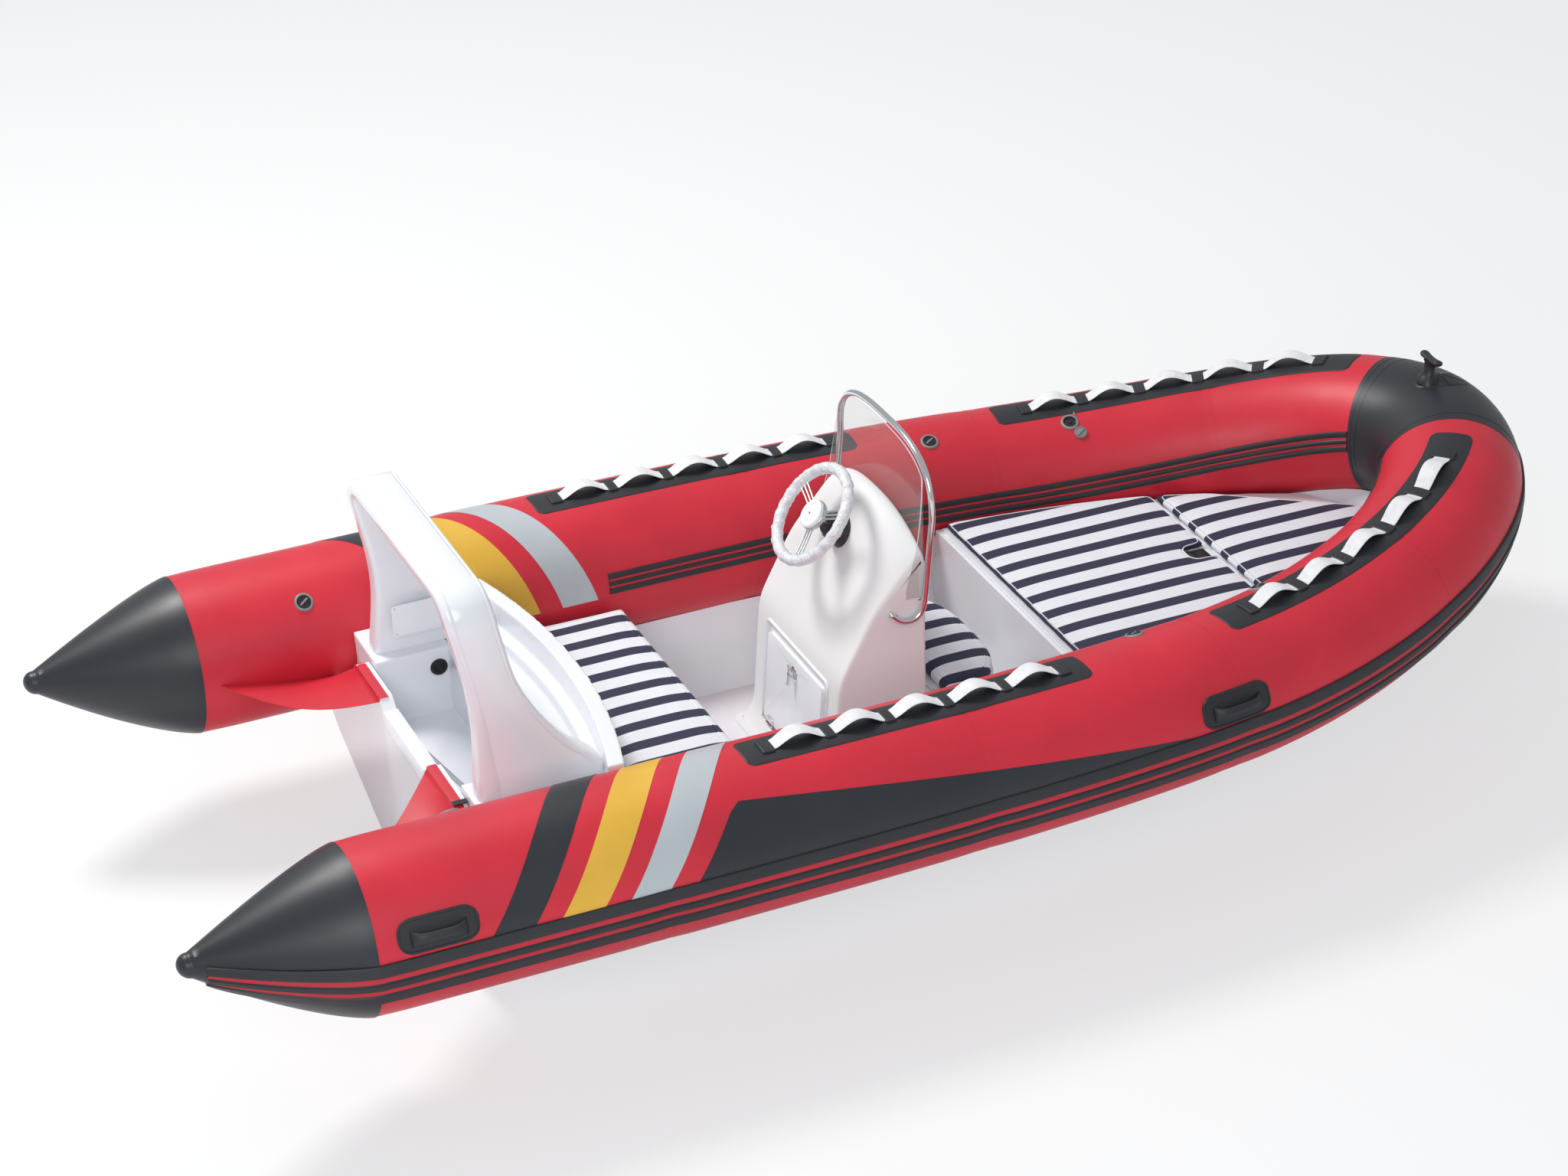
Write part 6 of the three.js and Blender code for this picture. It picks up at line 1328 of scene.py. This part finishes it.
# %% [markdown]
# ## Door fittings
# Two short hinges carry the door at its foot, and a turning T handle on a round rose holds it shut
# at the top. All are polished stainless.

# %% Fit the door's hinges and handle
door_frame = face_frame @ Matrix.Translation((0, 0, 0.0003 - DOOR_RECESS))
LEAF_LOW, LEAF_THICKNESS = DOOR_THICKNESS + 0.0003, 0.0022
HINGE_PLACE, BARREL_HALF, KNUCKLE_RADII = 0.17, 0.024, (0.0041, 0.0045)
hinge_barrels = []
for side_name, side in SIDES.items():
    middle = -side * HINGE_PLACE
    steps = np.linspace(-BARREL_HALF, BARREL_HALF, 13)
    barrel_line = [door_frame @ Vector((middle + step, 0, LEAF_LOW + 0.00225)) for step in steps]
    radii = [KNUCKLE_RADII[i % 4 > 0] for i in range(len(steps))]
    barrel = swept(f"door_hinge_barrel_{side_name}", barrel_line, radii, 16)
    hinge_barrels.append(finished(barrel, stainless, "console_door", "stainless"))
    leaf_at = door_frame @ Matrix.Translation((middle, 0.013, LEAF_LOW + LEAF_THICKNESS / 2))
    leaf = block_piece(f"door_hinge_leaf_{side_name}", (0.046, 0.026, LEAF_THICKNESS), leaf_at)
    finished(rounded(leaf, 0.0008), stainless, "console_door", "stainless")
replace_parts(hinge_barrels[0], "door_hinge")
latch_frame = door_frame @ Matrix.Translation((0, DOOR_HEIGHT - 0.052, LEAF_LOW))
ROSE = [(0, -0.02), (0.0088, -0.02), (0.0088, 0), (0.026, 0), (0.0262, 0.0012), (0.024, 0.0034)]
ROSE += [(0.014, 0.0048), (0.0095, 0.0062)]
ROSE += [(0.0085, 0.015), (0.0098, 0.019), (0.007, 0.0222), (0, 0.0228)]
rose = turned_piece("door_latch_rose", ROSE, latch_frame)
finished(rose, stainless, "door_latch", "stainless")
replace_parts(rose, "door_latch")
shares = np.linspace(-1, 1, 25)
handle_line = [latch_frame @ Vector((0, 0.044 * s, 0.0175 + 0.003 * s * s)) for s in shares]
handle_radii = [(0.0046 + 0.0022 * s * s) * math.sqrt(max(0.04, 1 - abs(s) ** 10)) for s in shares]
handle = swept("door_latch_handle", handle_line, handle_radii, 18)
finished(handle, stainless, "door_latch", "stainless", 180)

# %% [markdown]
# ## Steering wheel
# The wheel came wrapped in clear film for the journey: a white rim whose film is wound on at a
# slant and crumples into small flats. The wrap is a ring whose girth rises and falls along slanted
# turns, with fixed noise for the crumples. The hub is a dished white cap on a silver ring, and each
# of its three spokes is three slim rods.

# %% Wind the film on the rim
RIM_RADIUS, RIM_GRIP, RIM_LIFT = 0.17, 0.0185, 0.0072
RIM_STEPS, RIM_SIDES, FILM_TURNS = 300, 26, 24
FILM_EDGE, FILM_RIPPLE = 0.0016, 0.0006
BIG_CRUMPLE, SMALL_CRUMPLE = (0.0034, 1.6), (0.0016, 4.1)  # height in metres, scale
rim_rings = []
for around in round_turns(RIM_STEPS):
    ring = []
    for t in round_turns(RIM_SIDES):
        wound = (FILM_TURNS * around / (2 * math.pi) + t / (2 * math.pi)) % 1
        ridge = FILM_EDGE * (1 - wound) ** 3 + FILM_RIPPLE * math.sin(2 * math.pi * wound)
        place = Vector((math.cos(around) * 9, math.sin(around) * 9, t * 0.9))
        crumple = BIG_CRUMPLE[0] * abs(noise.noise(place * BIG_CRUMPLE[1]))
        crumple += SMALL_CRUMPLE[0] * noise.noise(place * SMALL_CRUMPLE[1])
        grip = RIM_GRIP + ridge + crumple
        out = RIM_RADIUS + grip * math.cos(t)
        ring.append((out * math.cos(around), out * math.sin(around), RIM_LIFT + grip * math.sin(t)))
    rim_rings.append([wheel_frame @ Vector(p) for p in ring])
rim = finished(loft_piece("wheel_rim_wrap", rim_rings, along=True), wrap_film, "wheel", "white_wrap", 26)
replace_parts(rim, "wheel_rim")

# %% Turn the hub and set its spokes
HUB_CAP = [(0, 0.002), (0.0495, 0.002), (0.0515, 0.008), (0.0505, 0.0155), (0.047, 0.0185)]
HUB_CAP += [(0.042, 0.0195), (0.033, 0.0182)]
HUB_CAP += [(0.032, 0.0172), (0.0305, 0.0182), (0.013, 0.0192), (0, 0.0194)]
cap = finished(turned_piece("wheel_hub_cap", HUB_CAP, wheel_frame, 56), gelcoat, "wheel", "gelcoat")
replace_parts(cap, "wheel_hub")
HUB_RING = [(0, -0.026), (0.028, -0.026), (0.034, -0.022), (0.05, -0.014), (0.0535, -0.008)]
HUB_RING += [(0.054, 0.001), (0.052, 0.004), (0, 0.004)]
finished(turned_piece("wheel_hub_ring", HUB_RING, wheel_frame, 56), brushed_silver, "wheel", "stainless")
DOT = [(0, 0.0185), (0.0052, 0.0185), (0.0052, 0.0202), (0.004, 0.0209), (0, 0.021)]
finished(turned_piece("wheel_hub_dot", DOT, wheel_frame, 24), stainless, "wheel", "stainless")
SHAFT = [(0, -0.16), (0.0108, -0.16), (0.0108, -0.02), (0, -0.02)]
finished(turned_piece("steering_shaft", SHAFT, wheel_frame, 24), stainless, "wheel", "stainless")
SPOKE_TURNS = (-20, 117, 207)  # degrees
SPOKE_RADIUS, ROD_GAP, ROD_SPREAD = 0.0032, 0.0125, 0.02
ROD_START, ROD_END, ROD_DIP, ROD_RISE = 0.03, 0.155, -0.004, 0.011
for turn in SPOKE_TURNS:
    spoke_frame = wheel_frame @ Matrix.Rotation(math.radians(turn), 4, "Z")
    for place in (-1, 0, 1):
        line = []
        for x in np.linspace(ROD_START, ROD_END, 12):
            along = x - ROD_START
            y = place * (ROD_GAP + ROD_SPREAD * along)
            line.append(spoke_frame @ Vector((x, y, ROD_DIP + ROD_RISE * (along / 0.12) ** 2)))
        rod = swept(f"wheel_spoke_{turn % 360}_{place + 2}", line, SPOKE_RADIUS, 14)
        finished(rod, brushed_silver, "wheel", "stainless", 180)
BEZEL = [(0, -0.03), (0.058, -0.03), (0.058, 0.022), (0.055, 0.027), (0.052, 0.029)]
BEZEL += [(0.047, 0.045), (0.0465, 0.047), (0.044, 0.048)]
BEZEL += [(0.036, 0.066), (0.033, 0.068), (0.012, 0.068), (0.012, 0.06), (0, 0.06)]
bezel = turned_piece("dash_bezel_cone", BEZEL, shaft_frame, 48)
finished(bezel, black_plastic, slot="black_plastic")
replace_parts(bezel, "dash_bezel")

# %% [markdown]
# ## Windscreen and rail
# A thin clear sheet is bent round the front of the console. A polished tube follows its edge as one
# broad arch, leans forward a little, and turns aft at the foot, where its ends curl up as hooks.

# %% Bend the rail
RAIL_RADIUS, RAIL_HALF, RAIL_STATION = 0.011, 0.3645, 2.7926
ARCH_BASE, RAIL_TOP, RAIL_POWER = 0.6, 0.829, 2.9


RAIL_HOOK = [(2.636, 0.29), (2.648, 0.27), (2.672, 0.2515), (2.70, 0.2445), (2.728, 0.25), (2.75, 0.272)]
RAIL_KNEE = (2.762, 0.31)


def rail_half_line():
    """The port half of the rail's line, from the curled end over the knee to the top."""
    points = smooth_line([deck_point(x, RAIL_HALF, z) for x, z in RAIL_HOOK + [RAIL_KNEE]], 6)
    for t in np.linspace(0, 1, 12)[1:-1]:
        x = RAIL_KNEE[0] + (RAIL_STATION - RAIL_KNEE[0]) * t
        points.append(deck_point(x, RAIL_HALF, RAIL_KNEE[1] + (ARCH_BASE - RAIL_KNEE[1]) * t))
    for t in np.linspace(0, math.pi / 2, 40):
        y = RAIL_HALF * math.cos(t) ** (2 / RAIL_POWER)
        z = ARCH_BASE + (RAIL_TOP - ARCH_BASE) * math.sin(t) ** (2 / RAIL_POWER)
        points.append(deck_point(RAIL_STATION, y, z))
    return points


def even_line(points, pitch):
    """The same line with points at an even pitch."""
    points = np.array([list(p) for p in points])
    run = run_along(points)
    marks = np.linspace(0, run[-1], int(run[-1] / pitch) + 1)
    return [Vector(p) for p in np.stack([np.interp(marks, run, points[:, k]) for k in range(3)], 1)]


half_rail = rail_half_line()
whole_rail = half_rail + [Vector((p.x, -p.y, p.z)) for p in reversed(half_rail[:-1])]
whole_rail = even_line(whole_rail, 0.012)
ends = [min(1.0, 0.55 + 0.45 * min(i, len(whole_rail) - 1 - i)) for i in range(len(whole_rail))]
rail = swept("screen_rail", whole_rail, [RAIL_RADIUS * e for e in ends], 24)
finished(rail, stainless, slot="stainless", smooth=180)
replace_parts(rail, "windscreen_rail")
STANDOFF = [(0, -0.002), (0.012, -0.002), (0.012, 0.001), (0.008, 0.003), (0.008, 0.017), (0, 0.018)]
for side_name, side in SIDES.items():
    screw_head(f"rail_screw_{side_name}", deck_point(2.748, side * 0.3535, 0.312), (0, side, 0), 0.006)
    at = fitting_matrix(deck_point(2.66, side * 0.3455, 0.26), (0, side, 0))
    finished(turned_piece(f"rail_foot_{side_name}", STANDOFF, at, 24), stainless, slot="stainless")

# %% Bend the clear sheet
SHEET_THICKNESS, SHEET_FOOT, SHEET_BEND, RAIL_GAP = 0.005, 0.318, 0.036, 0.012
SHEET_AFT, SHEET_FRONT, SHEET_HALF = 2.702, 2.7785, 0.3485
# how high the sheet's sides stand at stations from their aft edge to the bend
SIDE_STATIONS = (SHEET_AFT, 2.722, 2.7425, 2.758, 2.772, SHEET_FRONT)
SIDE_HEIGHTS = (0.345, 0.43, 0.5, 0.6, 0.7, 0.9)
bend_x, bend_y = SHEET_FRONT - SHEET_BEND, SHEET_HALF - SHEET_BEND
sheet_path = [(x, SHEET_HALF) for x in np.linspace(SHEET_AFT, bend_x, 8)]
for t in np.linspace(0, math.pi / 2, 10)[1:]:
    sheet_path.append((bend_x + SHEET_BEND * math.sin(t), bend_y + SHEET_BEND * math.cos(t)))
sheet_path += [(SHEET_FRONT, y) for y in np.linspace(bend_y, 0, 16)[1:]]
sheet_path += [(x, -y) for x, y in reversed(sheet_path[:-1])]
columns = []
for x, y in sheet_path:
    share = min(1.0, abs(y) / RAIL_HALF)
    under_rail = ARCH_BASE + (RAIL_TOP - ARCH_BASE) * (1 - share**RAIL_POWER) ** (1 / RAIL_POWER) - RAIL_GAP
    high = min(under_rail, float(np.interp(x, SIDE_STATIONS, SIDE_HEIGHTS)))
    columns.append([(x, y, SHEET_FOOT + (high - SHEET_FOOT) * t) for t in np.linspace(0, 1, 22)])
columns = np.array(columns)
path = np.array(sheet_path)
ahead = np.gradient(path, axis=0)
outward = np.stack([-ahead[:, 1], ahead[:, 0]], 1)
outward /= np.linalg.norm(outward, axis=1, keepdims=True)
middle = path.mean(0)
outward *= np.sign(((path - middle) * outward).sum(1))[:, None]
offset = np.concatenate([outward, np.zeros((len(path), 1))], 1)[:, None, :] * SHEET_THICKNESS / 2
shift = np.array([-TIP_TO_ORIGIN, 0, AXIS_HEIGHT])
screen = sheet_piece("clear_screen", columns + offset + shift, columns - offset + shift)
finished(screen, [clear_sheet, sheet_edge], slot="acrylic", smooth=50)
flat_faces = 2 * (columns.shape[0] - 1) * (columns.shape[1] - 1)
for face in screen.data.polygons[flat_faces:]:
    face.material_index = 1
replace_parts(screen, "windscreen")

# %% [markdown]
# ## Cushions
# The cushions are crisp foam pads in a sewn cover with navy and white stripes that run fore and
# aft. The stripes come from the distance off the centreline, so they line up from pad to pad. The
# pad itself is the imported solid, pumped up a little as cloth, which rounds its edges and lets the
# cover pucker, with its underside held flat on the lid that carries it.

# %% The striped cover
NAVY = (0.013, 0.015, 0.05)
COVER_WHITE = (0.8, 0.815, 0.86)
STRIPE_PITCH = 0.118


STRIPE_START = 0.25  # the share of a stripe's pitch that lies at the centreline
STRIPE_STOPS = ((0.0, COVER_WHITE), (0.56, COVER_WHITE), (0.566, NAVY), (0.994, NAVY), (1.0, COVER_WHITE))


def striped_cover():
    """Stripes from the distance off the centreline, on cloth that is slightly mottled."""
    material, tree, surface = shader(
        "striped_cover", COVER_WHITE, 0.72, Sheen_Weight=0.1, Sheen_Roughness=0.5
    )
    split = tree.nodes.new("ShaderNodeSeparateXYZ")
    tree.links.new(own_place(tree), split.inputs["Vector"])
    share = math_node(tree, "MULTIPLY_ADD", split.outputs["Y"], 1 / STRIPE_PITCH, STRIPE_START)
    stripe = tree.nodes.new("ShaderNodeValToRGB")
    stops = stripe.color_ramp.elements
    stops[0].position, stops[1].position = STRIPE_STOPS[0][0], STRIPE_STOPS[1][0]
    for position, _ in STRIPE_STOPS[2:]:
        stops.new(position)
    for stop, (position, color) in zip(stops, STRIPE_STOPS):
        stop.color = (*color, 1)
    tree.links.new(math_node(tree, "FRACT", share), stripe.inputs["Fac"])
    tint = tree.nodes.new("ShaderNodeValToRGB")
    tint.color_ramp.elements[0].color = (0.88, 0.88, 0.9, 1)
    tree.links.new(noise_field(tree, 18, 6), tint.inputs["Fac"])
    mottle = tree.nodes.new("ShaderNodeMix")
    mottle.data_type, mottle.blend_type = "RGBA", "MULTIPLY"
    mottle.inputs["Factor"].default_value = 1.0
    tree.links.new(stripe.outputs["Color"], mottle.inputs["A"])
    tree.links.new(tint.outputs["Color"], mottle.inputs["B"])
    tree.links.new(mottle.outputs["Result"], surface.inputs["Base Color"])
    bumped(tree, surface, [(noise_field(tree, 14, 4), 0.12, 0.004), (woven_field(tree, 900), 0.2, 0.0005)])
    return material


cover_cloth = striped_cover()
navy_cloth = coated_fabric("navy_cover_side", NAVY, 0.6, 0.15)
piping_cord = woven_webbing("white_piping", (0.74, 0.75, 0.78))

# %% Pump up the cushions as cloth
CUSHIONS = {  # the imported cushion, the faces' size and how far the cover may swell
    "rear_seat_pad": ("rear_cushion", 0.01, 0.0045),
    "console_seat_pad": ("console_seat_cushion", 0.008, 0.005),
    "aft_sun_pad": ("aft_deck_cushion", 0.0105, 0.0045),
    "forward_sun_pad": ("forward_deck_cushion", 0.0105, 0.0045),
}
PUMP_PRESSURE, PUMP_FRAMES, START_INSET = 4.0, 20, -0.004
pads = {}
for name, (node, voxel, cap_reach) in CUSHIONS.items():
    pad = copied(name, node)
    remeshed(pad, voxel, 2)
    smaller = pad.modifiers.new("smaller", "DISPLACE")
    smaller.strength, smaller.mid_level = START_INSET, 0.0
    pads[name] = settled(pad)
starts = {name: np.array([v.co[:] for v in pad.data.vertices]) for name, pad in pads.items()}
for pad in pads.values():
    cloth = pad.modifiers.new("cloth", "CLOTH")
    cloth.settings.use_pressure = True
    cloth.settings.uniform_pressure_force = PUMP_PRESSURE
    cloth.settings.effector_weights.gravity = 0
    cloth.settings.quality = 5
    cloth.collision_settings.use_collision = False
    cloth.point_cache.frame_end = PUMP_FRAMES
for step in range(1, PUMP_FRAMES + 1):
    bpy.context.scene.frame_set(step)
pumped = {}
for name, pad in pads.items():
    shape = pad.evaluated_get(bpy.context.evaluated_depsgraph_get()).data
    pumped[name] = np.array([v.co[:] for v in shape.vertices])
for pad in pads.values():
    pad.modifiers.clear()
bpy.context.scene.frame_set(1)


def outline_at(piece, level):
    """The loop where a level plane cuts a piece, as points in order."""
    shape = bmesh.new()
    shape.from_mesh(piece.data)
    everything = shape.verts[:] + shape.edges[:] + shape.faces[:]
    cut = bmesh.ops.bisect_plane(
        shape, geom=everything, plane_co=(0, 0, level), plane_no=(0, 0, 1)
    )["geom_cut"]
    edges = [e for e in cut if isinstance(e, bmesh.types.BMEdge)]
    links = {}
    for edge in edges:
        for a, b in (edge.verts, reversed(edge.verts)):
            links.setdefault(a, []).append(b)
    loops, seen = [], set()
    for first in links:
        if first in seen:
            continue
        loop, at = [], first
        while at is not None and at not in seen:
            seen.add(at)
            loop.append(at.co.copy())
            at = next((v for v in links[at] if v not in seen), None)
        loops.append(loop)
    shape.free()
    return max(loops, key=len)


def closed_even(points, pitch):
    """A closed loop of points, eased and at an even pitch."""
    line = even_line(points + [points[0]], pitch)[:-1]
    places = np.array([list(p) for p in line])
    for _ in range(3):
        places = places * 0.5 + (np.roll(places, 1, 0) + np.roll(places, -1, 0)) * 0.25
    return [Vector(p) for p in places]


PIPING_RADIUS, PIPING_DEPTH = 0.0024, 0.0095
NAVY_EDGE = 0.016  # the plain side of the aft sun pad
for name, pad in pads.items():
    node, voxel, cap_reach = CUSHIONS[name]
    low = Vector(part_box(node)[0])
    move = pumped[name] - starts[name]
    reach = np.linalg.norm(move, axis=1, keepdims=True)
    places = starts[name] + move * np.minimum(1, cap_reach / np.maximum(reach, 1e-9))
    places[:, 2] = np.maximum(places[:, 2], low.z)
    pad.data.vertices.foreach_set("co", places.ravel())
    pad.data.update()
    finer = pad.modifiers.new("finer", "SUBSURF")
    finer.levels = finer.render_levels = 1
    settled(pad)
    finished(pad, [cover_cloth, navy_cloth], body_of_node(node), "striped_vinyl", 180)
    piping = closed_even(outline_at(pad, float(places[:, 2].max()) - PIPING_DEPTH), 0.012)
    cord = swept(f"{name}_piping", piping, PIPING_RADIUS, 8, closed=True)
    finished(cord, piping_cord if "deck" in node else cover_cloth, body_of_node(node), "striped_vinyl", 180)
    if node == "aft_deck_cushion":
        for face in pad.data.polygons:
            if face.center.x < low.x + NAVY_EDGE:
                face.material_index = 1
    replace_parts(pad, node)
    print(name, "has", len(pad.data.polygons), "faces and rides on", body_of_node(node))

# %% Fit the deck hatch's latch
refinish("hatch_latch", black_plastic, 0.0006)

# %% [markdown]
# ## Floor and light
# The photograph has no background at all, so the boat stands on a plain pale floor. The light is
# a soft studio light: one large lamp high on the port quarter, where the sun stood, a broad fill
# from the camera's side, and an even sky.

# %% Lay the floor
FLOOR_REACH, FLOOR_GLOW = 60, 0.55  # how much of the floor's own white the camera sees
floor_mesh = bpy.data.meshes.new("floor")
corners = [(x * FLOOR_REACH, y * FLOOR_REACH, 0) for x, y in ((-1, -1), (1, -1), (1, 1), (-1, 1))]
floor_mesh.from_pydata(corners, [], [(0, 1, 2, 3)])
floor = in_scene("floor", floor_mesh)
floor.location.z = -0.001
floor_paint = bpy.data.materials.new("pale_floor")
floor_paint.use_nodes = True
floor_tree = floor_paint.node_tree
floor_tree.nodes.clear()
matt = floor_tree.nodes.new("ShaderNodeBsdfDiffuse")
matt.inputs["Color"].default_value = (0.86, 0.87, 0.88, 1)
glow = floor_tree.nodes.new("ShaderNodeEmission")
glow.inputs["Color"].default_value = (1, 1, 1, 1)
glow.inputs["Strength"].default_value = 1.0
rays = floor_tree.nodes.new("ShaderNodeLightPath")
seen = math_node(floor_tree, "MULTIPLY", rays.outputs["Is Camera Ray"], FLOOR_GLOW)
blend = floor_tree.nodes.new("ShaderNodeMixShader")
output = floor_tree.nodes.new("ShaderNodeOutputMaterial")
floor_tree.links.new(seen, blend.inputs["Fac"])
floor_tree.links.new(matt.outputs["BSDF"], blend.inputs[1])
floor_tree.links.new(glow.outputs["Emission"], blend.inputs[2])
floor_tree.links.new(blend.outputs["Shader"], output.inputs["Surface"])
floor_mesh.materials.append(floor_paint)

# %% Hang the lamps and light the sky
def soft_lamp(name, place, target, size, watts, color=(1, 1, 1)):
    data = bpy.data.lights.new(name, "AREA")
    data.shape, data.size, data.energy, data.color = "DISK", size, watts, color
    lamp = in_scene(name, data)
    lamp.location = place
    lamp.rotation_euler = (Vector(target) - Vector(place)).to_track_quat("-Z", "Y").to_euler()


soft_lamp("key_lamp", (-3.5, 4.5, 9.0), (0, 0, 0.4), 3.0, 720, (1.0, 0.98, 0.95))
soft_lamp("fill_lamp", (-5.0, -9.0, 6.0), (0, 0, 0.4), 6.0, 430, (0.95, 0.97, 1.0))
world = bpy.data.worlds.new("studio")
world.use_nodes = True
sky = world.node_tree.nodes["Background"]
sky.inputs["Color"].default_value = (0.93, 0.96, 1.0, 1)
sky.inputs["Strength"].default_value = 0.5
bpy.context.scene.world = world
bpy.context.scene.view_settings.view_transform = "Standard"
